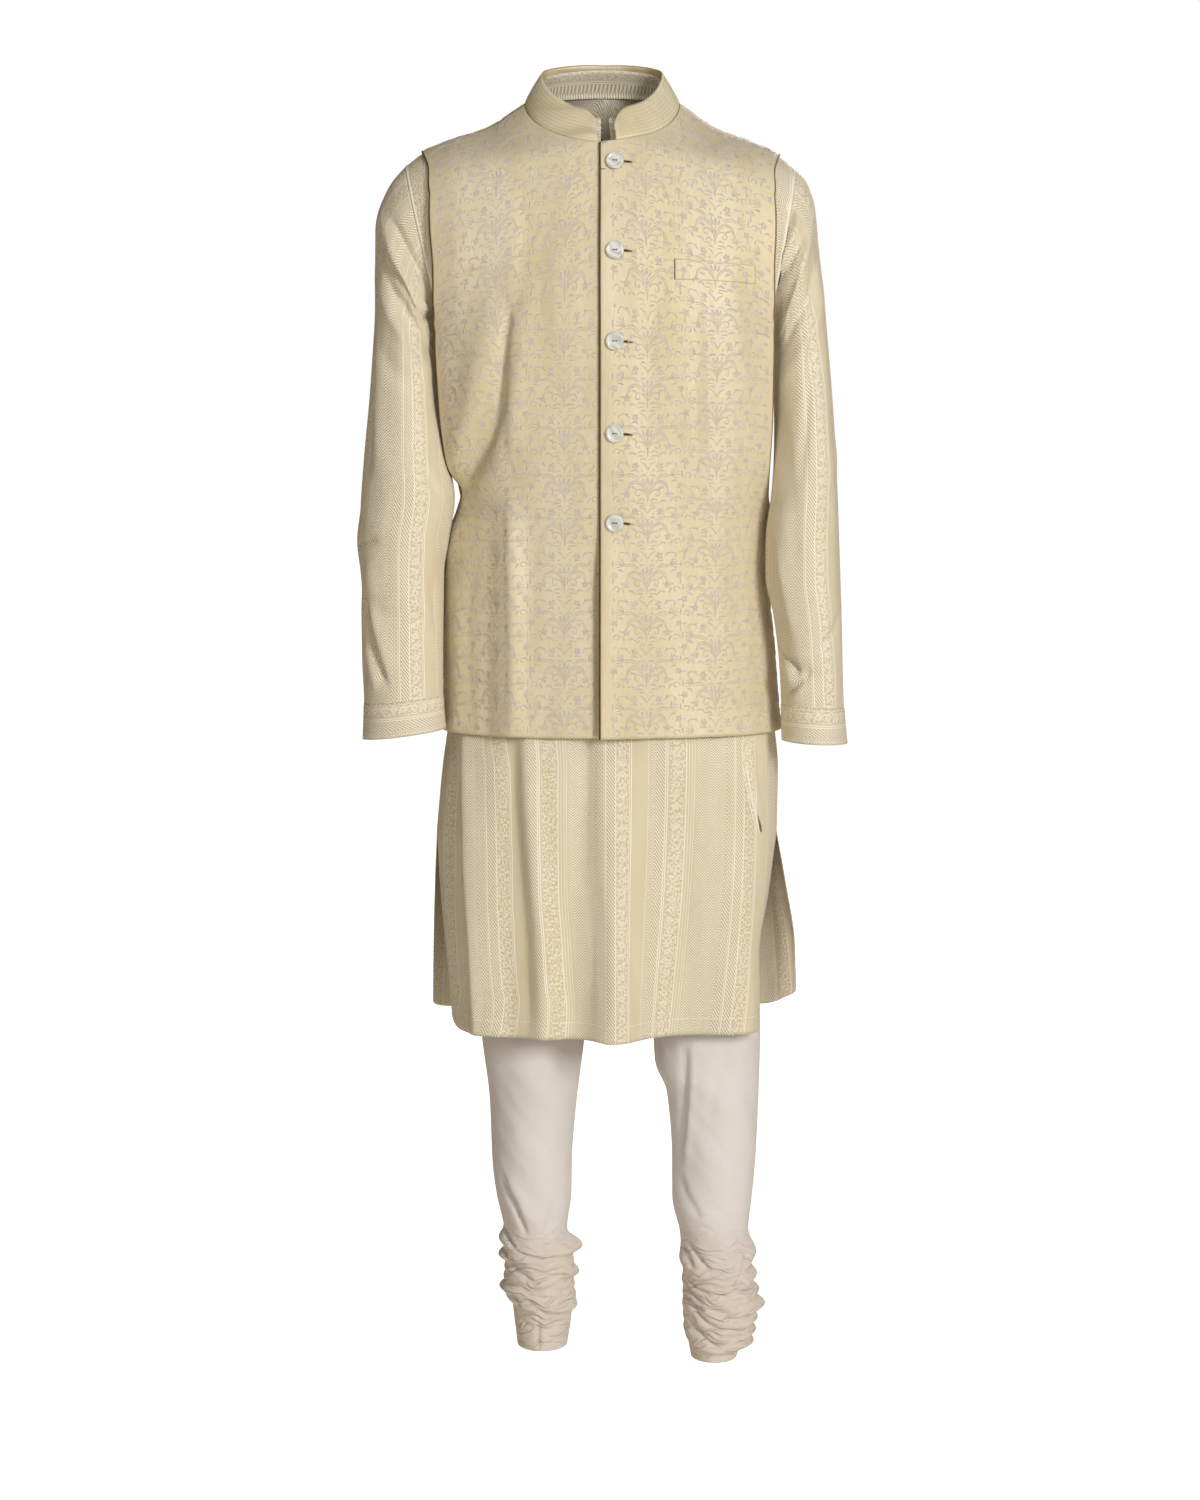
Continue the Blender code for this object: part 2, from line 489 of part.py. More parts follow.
def torso_point(face, across, up):
    """The outer face of the kurta's body.

    face is -1 for the front and 1 for the back. across runs from -1 at the wearer's right edge to 1
    at the left one. up runs from 0 at the hem through 1 at the armpits to 2 at the shoulder seam.
    """
    across, up = np.broadcast_arrays(np.asarray(across, float), np.asarray(up, float))
    neck_up = FRONT_NECK_UP if face < 0 else BACK_NECK_UP
    slits = FRONT_SLITS if face < 0 else BACK_SLITS
    column = "front" if face < 0 else "back"
    lower = up <= 1.0
    upper_part = np.clip(up - 1.0, 0.0, 1.0)

    low_z = mix(HEM, ARMPIT, np.minimum(up, 1.0))
    neck_z = NECK_FRONT[1] if face < 0 else NECK_BACK[1]
    climb = np.clip(upper_part / (neck_up - 1.0), 0.0, 1.0)
    rise_z = mix(ARMPIT, neck_z, climb)
    middle_z = np.where(lower, low_z, rise_z)
    start = triple(0.0, read(MIDDLES, column, middle_z), middle_z)
    turn = np.clip((up - neck_up) / (2.0 - neck_up), 0.0, 1.0)

    closed = low_z >= SLIT_TOP
    right_x = np.where(closed, read(SIDES, "right", low_z), read(slits, "right_x", low_z))
    left_x = np.where(closed, read(SIDES, "left", low_z), read(slits, "left_x", low_z))
    right_y = np.where(closed, 0.0, read(slits, "right_y", low_z))
    left_y = np.where(closed, 0.0, read(slits, "left_y", low_z))
    square = np.where(closed, read(SIDES, "square", low_z), read(slits, "square", low_z))
    rise_column = np.where(across < 0, read(slits, "right_rise", low_z), read(slits, "left_rise", low_z))
    hem_rise = np.where(closed, 0.0, rise_column) * np.abs(across) ** 5

    end = np.zeros(start.shape)
    for hand, shoulder, low_x, low_y in (
        (-1, RIGHT_ARMHOLE, right_x, right_y),
        (1, LEFT_ARMHOLE, left_x, left_y),
    ):
        low = triple(low_x, low_y, low_z)
        side_end = np.where(lower[..., None], low, armhole_point(shoulder, face, np.maximum(up, 1.0)))
        mine = (across < 0) if hand < 0 else (across >= 0)
        end = np.where(mine[..., None], side_end, end)
        past_neck = mine & (up > neck_up)
        start = np.where(past_neck[..., None], neck_point(face, hand, turn), start)

    share = np.abs(across)
    opened = ramp(upper_part / 0.45)
    square = mix(square, 2.0, opened)
    sweep = mix(math.pi / 2, math.radians(54.0), opened)
    power = 2.0 / square
    sine = np.sin(np.clip(sweep * share, 0.0, math.pi / 2)) ** power
    cosine = np.cos(np.clip(sweep * share, 0.0, math.pi / 2)) ** power
    wide = sine / np.sin(sweep) ** power
    deep = (1.0 - cosine) / (1.0 - np.maximum(np.cos(sweep), 0.0) ** power)

    x = mix(start[..., 0], end[..., 0], wide)
    y = mix(start[..., 1], end[..., 1], deep)
    z = mix(start[..., 2], end[..., 2], wide)
    z = z + read(SHOULDER_LINE, "rise", wide, key="along") * ramp(turn) + hem_rise
    chest = 0.008 * np.sin(math.pi * share) * ramp((upper_part - 0.15) / 0.5) * (1.0 - ramp(turn))
    y = y + face * chest
    folds = SKIRT_FRONT_FOLDS if face < 0 else SKIRT_BACK_FOLDS
    y = y + face * fold_depth(folds, x, z) * (1.0 - share**6)
    return triple(x, y, z)


def kurta_point(face, across, up):
    """The kurta's body, which gives way under the jacket's hollows."""
    place = torso_point(face, across, up)
    folds = JACKET_FOLDS if face < 0 else JACKET_BACK_FOLDS
    hollow = np.minimum(fold_depth(folds, place[..., 0], place[..., 2], wider=GIVE_WIDTH), 0.0)
    place[..., 1] += face * GIVE_DEPTH * hollow * (1.0 - np.abs(across) ** 8)
    neck_up = FRONT_NECK_UP if face < 0 else BACK_NECK_UP
    reach_across, reach_down = KURTA_NECK_REACH
    near = ramp(1.0 - np.abs(across) / reach_across) * ramp(1.0 + (up - neck_up) / reach_down)
    away_x = NECK_MIDDLE_X - place[..., 0]
    away_y = -place[..., 1]
    distance = np.maximum(np.hypot(away_x, away_y), 1e-9)
    place[..., 0] += near * KURTA_NECK_INSET * away_x / distance
    place[..., 1] += near * KURTA_NECK_INSET * away_y / distance
    place[..., 2] += near * KURTA_NECK_RISE
    return place


def torso_normal(face, across, up):
    """Unit normals of the kurta's body, measured by small steps that stay on the same half of it."""
    across, up = np.broadcast_arrays(np.asarray(across, float), np.asarray(up, float))
    step = 0.004
    neck_up = FRONT_NECK_UP if face < 0 else BACK_NECK_UP
    low = np.clip(across - step, -1, 1)
    high = np.clip(across + step, -1, 1)
    split = up >= neck_up
    low = np.where(split & (across > 0) & (low <= 0), 1e-9, low)
    high = np.where(split & (across < 0) & (high >= 0), -1e-9, high)
    along_a = torso_point(face, high, up) - torso_point(face, low, up)
    along_u = torso_point(face, across, np.clip(up + step, 0, 2)) - torso_point(
        face, across, np.clip(up - step, 0, 2)
    )
    normal = np.cross(along_a, along_u) * -face
    return normal / np.maximum(np.linalg.norm(normal, axis=-1, keepdims=True), 1e-12)


def jacket_point(face, hand, part, up):
    """The jacket's outer face, on the kurta's form and clear of it.

    part runs from 0 at the middle line or neckline to 1 at the armhole or side seam.
    """
    part, up = np.broadcast_arrays(np.asarray(part, float), np.asarray(up, float))
    neck_up = FRONT_NECK_UP if face < 0 else BACK_NECK_UP
    turn = np.clip((up - neck_up) / (2.0 - neck_up), 0.0, 1.0)
    reach = read(JACKET_ARMHOLE, "reach", up, key="up")
    lift_column = "right_lift" if hand < 0 else "left_lift"
    lift = read(JACKET_ARMHOLE, lift_column, up, key="up") * (1.0 if face < 0 else 0.45)
    across = np.maximum(reach * part, 1e-9) * hand
    base = torso_point(face, across, up)
    normal = torso_normal(face, across, up)
    ease = read(JACKET_EASE, "ease", up, key="up") + lift * np.clip(part, 0, 1) ** 3
    folds = JACKET_FOLDS if face < 0 else JACKET_BACK_FOLDS
    spread = fold_depth(folds, base[..., 0], base[..., 2])
    if face < 0 and hand > 0:
        ease = ease + TOP_FRONT_RAISE * (1.0 - ramp((np.abs(base[..., 0]) - 0.028) / 0.035)) * (1 - ramp(turn * 2.0 - 0.6))
    return base + normal * (ease + np.maximum(spread, -0.012))[..., None]


def spot(surface, guess, x, z):
    """Where a surface of (a, b) has this x and z, found by Newton's steps from the guess."""
    a = np.full(np.shape(x), guess[0], float)
    b = np.full(np.shape(x), guess[1], float)
    step = 1e-4
    for _ in range(14):
        here = surface(a, b)
        along_a = (surface(a + step, b) - here) / step
        along_b = (surface(a, b + step) - here) / step
        miss_x = x - here[..., 0]
        miss_z = z - here[..., 2]
        size = along_a[..., 0] * along_b[..., 2] - along_a[..., 2] * along_b[..., 0]
        move_a = (miss_x * along_b[..., 2] - miss_z * along_b[..., 0]) / size
        move_b = (miss_z * along_a[..., 0] - miss_x * along_a[..., 2]) / size
        a = np.clip(a + np.clip(move_a, -0.1, 0.1), 0.001, 0.999)
        b = np.clip(b + np.clip(move_b, -0.1, 0.1), 0.43, 1.95)
    return a, b


def front_cloth(x, z, proud):
    """Points of the jacket's left front at the given x and z, moved out, and the cloth's normals there."""
    def surface(part, up):
        return jacket_point(-1, 1, part, up)

    part, up = spot(surface, (0.3, 1.1), np.asarray(x, float), np.asarray(z, float))
    step = 0.01
    along_a = surface(part + step, up) - surface(part, up)
    along_b = surface(part, up + step) - surface(part, up)
    normal = np.cross(along_a, along_b)
    normal = normal / np.linalg.norm(normal, axis=-1, keepdims=True)
    return surface(part, up) + normal * np.asarray(proud)[..., None], normal


def neckline(layer, hand, front_turns, back_turns):
    """Turns in degrees from the front to the back, and the panels' neckline points there."""
    turns = np.concatenate([90.0 * front_turns, 180.0 - 90.0 * back_turns[::-1][1:]])
    points = []
    for face, shares in ((-1, front_turns), (1, back_turns[::-1][1:])):
        ups = mix(FRONT_NECK_UP if face < 0 else BACK_NECK_UP, 2.0, shares)
        if layer == "jacket":
            points.append(jacket_point(face, hand, 0.0, ups))
        else:
            points.append(kurta_point(face, hand * 1e-9, ups))
    return turns, np.concatenate(points)


def collar_point(layer, turn, rise):
    """A stand collar on the panels' neckline. turn is in degrees from the front, the left side positive."""
    turn, rise = np.broadcast_arrays(np.asarray(turn, float), np.asarray(rise, float))
    base = np.zeros(turn.shape + (3,))
    for hand in (-1, 1):
        turns, points = neckline(layer, hand, np.array(FRONT_NECK_TURNS), np.array(BACK_NECK_TURNS))
        mine = turn * hand > 0
        for axis in range(3):
            line = np.interp(np.abs(turn), turns, points[:, axis])
            base[..., axis] = np.where(mine, line, base[..., axis])
    height = COLLAR_HEIGHT if layer == "jacket" else BAND_HEIGHT
    full = height
    if layer == "jacket":
        from_end = np.abs(turn) - np.where(turn > 0, *JACKET_COLLAR_ENDS)
        along = from_end * math.radians(1.0) * NECK_HALF_WIDTH / COLLAR_END_RADIUS
        height = height * (0.30 + 0.70 * np.sqrt(1.0 - (1.0 - np.clip(along, 0.0, 1.0)) ** 2))
    lean = COLLAR_LEAN * (full / COLLAR_HEIGHT) * (height * rise / full) ** 1.2
    middle = np.array([NECK_MIDDLE_X, 0.0])
    inward = middle - base[..., :2]
    inward = inward / np.linalg.norm(inward, axis=-1, keepdims=True)
    out_x = base[..., 0] + inward[..., 0] * (COLLAR_SEAT + lean)
    out_y = base[..., 1] + inward[..., 1] * (COLLAR_SEAT + lean)
    return triple(out_x, out_y, base[..., 2] + COLLAR_LIFT + height * rise)


def sleeve_point(rings, bands, angle, down, proud=0.0):
    """A sleeve's outer face; angle runs from the inner side through the front, the outer side and the back."""
    outer_x = read(rings, "outer_x", down, key="down")
    outer_z = read(rings, "outer_z", down, key="down")
    inner_x = read(rings, "inner_x", down, key="down")
    inner_z = read(rings, "inner_z", down, key="down")
    depth = read(rings, "depth", down, key="down")
    share = (1 - np.cos(angle)) / 2
    half = np.hypot(outer_x - inner_x, outer_z - inner_z) / 2
    fold = band_depth(bands, down, angle) * ramp(down / 0.05) * ramp((CUFF_START - down) / 0.04) + proud
    along_x = -np.cos(angle) * (outer_x - inner_x) / (2 * half)
    along_z = -np.cos(angle) * (outer_z - inner_z) / (2 * half)
    x = mix(inner_x, outer_x, share) + along_x * fold
    z = mix(inner_z, outer_z, share) + along_z * fold
    y = read(rings, "middle_y", down, key="down") - (depth + fold) * np.sin(angle)
    return triple(x, y, z)


def leg_point(hand, angle, z):
    """A trouser leg's outer face; angle runs from the inseam through the front, the outer side and the back."""
    rows = RIGHT_LEG if hand < 0 else LEFT_LEG
    gathers = RIGHT_GATHERS if hand < 0 else LEFT_GATHERS
    low_z = np.minimum(z, CROTCH)
    inner = read(rows, "inner", low_z)
    outer = read(rows, "outer", low_z)
    front = read(rows, "front", low_z)
    back = read(rows, "back", low_z)
    fold = band_depth(gathers, z, angle)
    half_x = np.abs(outer - inner) / 2 + fold
    half_y = (back - front) / 2 + fold
    x = (inner + outer) / 2 - hand * half_x * np.cos(angle)
    y = (front + back) / 2 - half_y * np.sin(angle)
    hip_angle = angle / 2
    hip_half = read(HIPS, "half", z)
    hip_x = hand * (0.00020 + (hip_half - 0.00020) * np.sin(hip_angle) ** 0.9)
    hip_back = np.where(np.cos(hip_angle) > 0, read(HIPS, "front", z), read(HIPS, "back", z))
    hip_y = hip_back * np.abs(np.cos(hip_angle)) ** 0.85
    seat = ramp((z - CROTCH) / (SEAT_TOP - CROTCH)) ** 0.6
    return triple(mix(x, hip_x, seat), mix(y, hip_y, seat), z)


def waistband_point(angle, z):
    """The waistband, all round at hip level; angle 0 is the middle of the front."""
    half = read(HIPS, "half", WAIST)
    far = np.where(np.cos(angle) > 0, read(HIPS, "front", WAIST), read(HIPS, "back", WAIST))
    sine = np.sin(angle)
    x = np.sign(sine) * half * np.abs(sine) ** 0.9
    return triple(x, far * np.abs(np.cos(angle)) ** 0.85, z)


def add_grid(mesh, columns, rows, point):
    """A grid of cloth with a vertex at each column and row, placed by a function of the two."""
    columns, rows = np.asarray(columns, float), np.asarray(rows, float)
    made = bmesh.ops.create_grid(mesh, x_segments=len(columns) - 1, y_segments=len(rows) - 1, size=0.5)
    wide, high = np.meshgrid(columns, rows)
    places = point(wide, high).reshape(-1, 3)
    for vertex, place in zip(made["verts"], places):
        vertex.co = place


def material(name, colour, roughness):
    made = bpy.data.materials.new(name)
    made.use_nodes = True
    shader = made.node_tree.nodes["Principled BSDF"]
    shader.inputs["Base Color"].default_value = (*colour, 1.0)
    shader.inputs["Roughness"].default_value = roughness
    shader.inputs["Metallic"].default_value = 0.0
    made.diffuse_color = (*colour, 1.0)
    return made


def finish(name, mesh, wall, look, parts):
    """Turns the open cloth into an object whose wall lies inside its outer face."""
    bmesh.ops.remove_doubles(mesh, verts=mesh.verts, dist=1e-6)
    data = bpy.data.meshes.new(name)
    mesh.to_mesh(data)
    mesh.free()
    data.materials.append(look)
    data.shade_smooth()
    made = bpy.data.objects.new(name, data)
    parts.objects.link(made)
    if wall:
        shell = made.modifiers.new("wall", "SOLIDIFY")
        shell.thickness = wall
        shell.offset = -1.0
        shell.use_even_offset = True
        shell.use_quality_normals = True
    return made


def spread(first, last, count):
    return np.linspace(first, last, count + 1)


def add_body_panel(mesh, face, lower_rows, upper_rows, columns):
    """Both halves of the kurta's front or back, joined down the middle below the neck."""
    rows = np.concatenate([lower_rows[:-1], upper_rows])
    def half(hand):
        def point(across, up):
            place = kurta_point(face, np.where(across * hand <= 0, hand * 1e-9, across), up)
            at_seam = (np.abs(across) > 0.999) & (up <= 1.0) & (place[..., 2] >= SLIT_TOP - 0.002)
            at_shoulder = up > 1.999
            place[..., 1] += face * np.where(at_seam, SIDE_TRIM, np.where(at_shoulder, SHOULDER_TRIM, 0.0))
            return place
        return point

    near = spread(0.0, 1.0, columns)
    # The grid runs counterclockwise seen from above, so that its faces point outwards.
    add_grid(mesh, near * -face, rows, half(-face))
    add_grid(mesh, near[::-1] * face, rows, half(face))


def hem_up():
    """Where the jacket ends, on the scale that runs from the kurta's hem to its armpits."""
    return (JACKET_HEM - HEM) / (ARMPIT - HEM)


def jacket_low_rows():
    """Rows of the jacket below the armpits; the kurta shares them, so that the layers keep apart."""
    return np.concatenate([spread(hem_up(), JACKET_ARMHOLE[0].up, 6), ARMHOLE_ROWS])


def make_kurta(parts):
    look = material("kurta_jacquard", (0.66, 0.55, 0.33), 0.55)
    lower_rows = np.concatenate([spread(0.0, hem_up(), 7)[:-1], jacket_low_rows(), [1.0]])
    front_neck = mix(FRONT_NECK_UP, 2.0, np.array(FRONT_NECK_TURNS))
    back_neck = mix(BACK_NECK_UP, 2.0, np.array(BACK_NECK_TURNS))
    front_rows = np.concatenate([CHEST_ROWS, front_neck])
    back_rows = np.concatenate([BACK_CHEST_ROWS, back_neck])

    mesh = bmesh.new()
    add_body_panel(mesh, -1, lower_rows, front_rows, BODY_FRONT_COLUMNS)
    finish("kurta_front", mesh, KURTA_WALL, look, parts)

    mesh = bmesh.new()
    add_body_panel(mesh, 1, lower_rows, back_rows, BODY_BACK_COLUMNS)
    finish("kurta_back", mesh, KURTA_WALL, look, parts)

    mesh = bmesh.new()
    turns = collar_turns(BAND_COLLAR_ENDS)
    add_grid(mesh, turns, spread(0.0, 1.0, 2), lambda turn, rise: collar_point("kurta", wrap_turn(turn), rise))
    finish("kurta_collar", mesh, KURTA_WALL, look, parts)

    for name, rings, bands, hand in (
        ("right", RIGHT_SLEEVE, RIGHT_SLEEVE_BANDS, -1),
        ("left", LEFT_SLEEVE, LEFT_SLEEVE_BANDS, 1),
    ):
        front = math.pi * (front_rows - 1.0)
        back = 2 * math.pi - math.pi * (back_rows - 1.0)
        angles = np.concatenate([front[:-1], back[::-1]])
        if hand < 0:
            angles = angles[::-1]
        downs = np.concatenate([[0.0036], spread(0.05, CUFF_START - 0.0005, 18)])

        def sleeve(angle, down, rings=rings, bands=bands):
            return sleeve_point(rings, bands, angle, down)

        mesh = bmesh.new()
        add_grid(mesh, angles, downs[::-1], sleeve)
        finish(f"kurta_sleeve_{name}", mesh, KURTA_WALL, look, parts)

        def cuff(angle, down, rings=rings):
            return sleeve_point(rings, (), angle, down, CUFF_PROUD)

        mesh = bmesh.new()
        add_grid(mesh, angles, spread(CUFF_START, 1.0, 2)[::-1], cuff)
        finish(f"kurta_cuff_{name}", mesh, KURTA_WALL, look, parts)


def collar_turns(ends):
    """The collar's columns, which stand on the panels' neckline points."""
    front = 90.0 * np.array(FRONT_NECK_TURNS[1:])
    back = 180.0 - 90.0 * np.array(BACK_NECK_TURNS[::-1][1:])
    back[-1] -= 0.1
    halves = [np.concatenate([spread(end, end + 8.0, 2), front, back]) for end in ends]
    return np.concatenate([halves[0], 360.0 - halves[1][::-1][1:]])


def wrap_turn(turn):
    return np.where(turn > 180, turn - 360, turn)


def make_jacket(parts):
    look = material("jacket_silk", (0.72, 0.66, 0.38), 0.5)
    collar_look = material("jacket_collar_silk", (0.70, 0.60, 0.30), 0.5)
    neck = FRONT_NECK_UP
    front_neck = mix(neck, 2.0, np.array(FRONT_NECK_TURNS))
    back_neck = mix(BACK_NECK_UP, 2.0, np.array(BACK_NECK_TURNS))
    side_up = JACKET_ARMHOLE[0].up
    low = jacket_low_rows()
    front_rows = np.concatenate([low, [1.0, 1.10, 1.22, 1.36, 1.51], front_neck])
    columns = spread(0.0, 1.0, JACKET_FRONT_COLUMNS)

    for name, hand, lap_x in (("left", 1, TOP_FRONT_LAP), ("right", -1, UNDER_FRONT_LAP)):
        def cloth(part, up, hand=hand, lap_x=lap_x):
            place = jacket_point(-1, hand, np.clip(part, 0, 1), up)
            lap = jacket_lap_point(hand, lap_x, part, up)
            place = np.where((part < 0)[..., None], lap, place)
            at_side = (part > 0.999) & (up <= side_up + 1e-6)
            place[..., 1] -= np.where(at_side, JACKET_SIDE_TRIM, np.where(up > 1.999, JACKET_SHOULDER_TRIM, 0.0))
            return place

        mesh = bmesh.new()
        order = columns if hand > 0 else columns[::-1]
        add_grid(mesh, order, front_rows, cloth)
        lap_rows = front_rows[front_rows <= neck + 1e-9]
        laps = np.array([-1.0, -0.5, 0.0]) if abs(lap_x) > 0.01 else np.array([-1.0, 0.0])
        add_grid(mesh, laps if hand > 0 else laps[::-1], lap_rows, cloth)
        finish(f"jacket_front_{name}", mesh, JACKET_WALL, look, parts)

    back_rows = np.concatenate([low, [1.0, 1.10, 1.22, 1.36, 1.51, 1.66], back_neck])
    back_columns = spread(0.0, 1.0, JACKET_BACK_COLUMNS)

    def back_cloth(hand):
        def point(part, up):
            place = jacket_point(1, hand, np.abs(part), up)
            at_side = (np.abs(part) > 0.999) & (up <= side_up + 1e-6)
            place[..., 1] += np.where(at_side, JACKET_SIDE_TRIM, np.where(up > 1.999, JACKET_SHOULDER_TRIM, 0.0))
            return place
        return point

    mesh = bmesh.new()
    add_grid(mesh, back_columns[::-1], back_rows, back_cloth(1))
    add_grid(mesh, back_columns, back_rows, back_cloth(-1))
    finish("jacket_back", mesh, JACKET_WALL, look, parts)

    mesh = bmesh.new()
    turns = collar_turns(JACKET_COLLAR_ENDS)
    add_grid(mesh, turns, spread(0.0, 1.0, 3), lambda turn, rise: collar_point("jacket", wrap_turn(turn), rise))
    finish("jacket_collar", mesh, COLLAR_WALL, collar_look, parts)

    def welt(share, rise):
        x = mix(WELT_INNER_X, WELT_OUTER_X, share)
        z = mix(mix(WELT_BOTTOM[0], WELT_BOTTOM[1], share), mix(WELT_TOP[0], WELT_TOP[1], share), rise)
        return front_cloth(x, z, np.full(np.shape(x), WELT_WALL + SEAM_GAP * 2))[0]

    mesh = bmesh.new()
    add_grid(mesh, spread(0.0, 1.0, 8), spread(0.0, 1.0, 2), welt)
    finish("jacket_pocket_welt", mesh, WELT_WALL, look, parts)


def jacket_lap_point(hand, reach, part, up):
    """The strip of a front that reaches over the middle line, on the other half of the form."""
    beyond = abs(reach) * np.clip(-part, 0.0, 1.0)
    across = -hand * np.maximum(beyond * LAP_SCALE, 1e-9)
    base = torso_point(-1, across, up)
    base[..., 0] = -hand * beyond
    ease = read(JACKET_EASE, "ease", up, key="up") + (TOP_FRONT_RAISE if hand > 0 else 0.0)
    return base + torso_normal(-1, across, up) * ease[..., None]


def make_buttons(parts):
    look = material("mother_of_pearl", (0.86, 0.86, 0.82), 0.2)
    for number, height in enumerate(BUTTON_HEIGHTS, start=1):
        middle, normal = front_cloth(BUTTON_X, height, SEAM_GAP + BUTTON_THICKNESS / 2)
        mesh = bmesh.new()
        bmesh.ops.create_cone(
            mesh,
            cap_ends=True,
            segments=20,
            radius1=BUTTON_RADIUS,
            radius2=BUTTON_RADIUS,
            depth=BUTTON_THICKNESS,
        )
        made = finish(f"jacket_button_{number}", mesh, 0.0, look, parts)
        made.data.set_sharp_from_angle(angle=math.radians(40.0))
        edge = made.modifiers.new("rim", "BEVEL")
        edge.width = 0.0010
        edge.segments = 1
        edge.limit_method = "ANGLE"
        made.location = middle
        made.rotation_mode = "QUATERNION"
        made.rotation_quaternion = Vector(normal.tolist()).to_track_quat("Z", "Y")


def make_churidar(parts):
    look = material("churidar_cotton", (0.76, 0.72, 0.66), 0.8)
    for name, hand, gathers in (("right", -1, RIGHT_GATHERS), ("left", 1, LEFT_GATHERS)):
        rows = RIGHT_LEG if hand < 0 else LEFT_LEG
        ankle = rows[0].z
        top_fold = gathers[0].at[0] + 0.022
        zs = np.concatenate([
            spread(ankle, top_fold, 26),
            spread(top_fold, -1.07, 5)[1:],
            spread(-1.07, CROTCH, 5)[1:],
            spread(CROTCH, WAIST, 7)[1:],
        ])
        angles = spread(0.0, 2 * math.pi, 14)

        def leg(angle, z, hand=hand):
            return leg_point(hand, angle, z)

        mesh = bmesh.new()
        add_grid(mesh, angles if hand > 0 else angles[::-1], zs, leg)
        finish(f"churidar_leg_{name}", mesh, CHURIDAR_WALL, look, parts)

    mesh = bmesh.new()
    angles = spread(0.0, 2 * math.pi, 28)
    add_grid(mesh, angles, (WAIST + SEAM_GAP, WAISTBAND_TOP), waistband_point)
    finish("churidar_waistband", mesh, CHURIDAR_WALL, look, parts)


def main():
    for old in list(bpy.data.objects):
        bpy.data.objects.remove(old, do_unlink=True)
    parts = bpy.data.collections.new(SET_NAME)
    bpy.context.scene.collection.children.link(parts)
    make_kurta(parts)
    make_jacket(parts)
    make_buttons(parts)
    make_churidar(parts)


if __name__ == "__main__":
    main()
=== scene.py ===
"""A kurta, a sleeveless band-collar jacket and churidar trousers, dressed as they are worn.

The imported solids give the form. Each piece of cloth here is the same form with finer folds, its own
weave and its sewing. Metres, +Z up, the front faces -Y and +X is the wearer's left.
"""

from collections import namedtuple
import math

import bmesh
import bpy
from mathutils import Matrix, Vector
import numpy as np


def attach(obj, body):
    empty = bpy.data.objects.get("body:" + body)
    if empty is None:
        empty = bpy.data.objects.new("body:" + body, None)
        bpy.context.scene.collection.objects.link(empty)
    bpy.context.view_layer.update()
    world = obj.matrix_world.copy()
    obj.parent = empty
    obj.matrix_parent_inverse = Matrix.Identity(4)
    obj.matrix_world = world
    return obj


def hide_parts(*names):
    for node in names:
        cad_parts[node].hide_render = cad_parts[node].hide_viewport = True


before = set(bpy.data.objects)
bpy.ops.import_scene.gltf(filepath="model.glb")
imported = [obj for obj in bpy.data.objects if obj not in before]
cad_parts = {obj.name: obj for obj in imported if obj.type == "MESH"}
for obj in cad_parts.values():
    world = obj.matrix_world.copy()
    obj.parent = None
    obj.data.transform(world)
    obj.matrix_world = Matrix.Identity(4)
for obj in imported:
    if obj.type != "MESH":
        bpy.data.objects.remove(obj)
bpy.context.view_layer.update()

bl_info = {
    "name": "Kurta Set",
    "version": (1, 0, 0),
    "blender": (4, 5, 0),
    "location": "View3D > Sidebar > Kurta Set",
    "description": "Builds a kurta, a band-collar jacket and churidar trousers, embroidered and sewn",
    "category": "Add Mesh",
}

# Faces of the body and hands of the wearer, by the sign of their axis
FRONT = -1
BACK = 1
RIGHT = -1
LEFT = 1
# A share too small to see, which keeps a place off the middle line
HAIR = 1e-9
MILLIMETRES = 1000

# Cloth walls, and the gaps between pieces
JACKET_WALL = 0.0020
COLLAR_WALL = 0.0022
KURTA_WALL = 0.0012
CHURIDAR_WALL = 0.0010
SEAM_GAP = 0.0003
LAYER_GAP = 0.0010
JOIN_DISTANCE = 1e-6

# The kurta gives way under the jacket's hollows
GIVE_DEPTH = 1.15
GIVE_WIDTH = 1.7
GIVE_EDGE_POWER = 8

# Heights on the body
HEM = -1.058
SLIT_TOP = -0.832
JACKET_HEM = -0.7155
ARMPIT = -0.262
WAIST = -0.475
CROTCH = -0.745

# Neck
NECK_HALF_WIDTH = 0.0860
NECK_MIDDLE_X = -0.0045
NECK_SIDE = -0.0135
NECK_FRONT = (-0.0735, -0.0605)
NECK_BACK = (0.0610, 0.0010)
KURTA_NECK_INSET = 0.0052
KURTA_NECK_RISE = 0.0012
KURTA_NECK_REACH = (0.11, 0.12)
NECK_UP = {FRONT: 1.68, BACK: 1.80}
NECK_TURNS = np.linspace(0.0, 1.0, 31)

# Chest: how the plan turns from the sides below to the shoulders above, by parts of the way up
CHEST_TURN = 0.45
CHEST_PLAN = 2.0
CHEST_SWEEP = math.radians(54.0)
CHEST_OUT = 0.008
CHEST_FROM = 0.15
CHEST_RISE = 0.5
HEM_CORNER_POWER = 5
FOLD_EDGE_POWER = 6

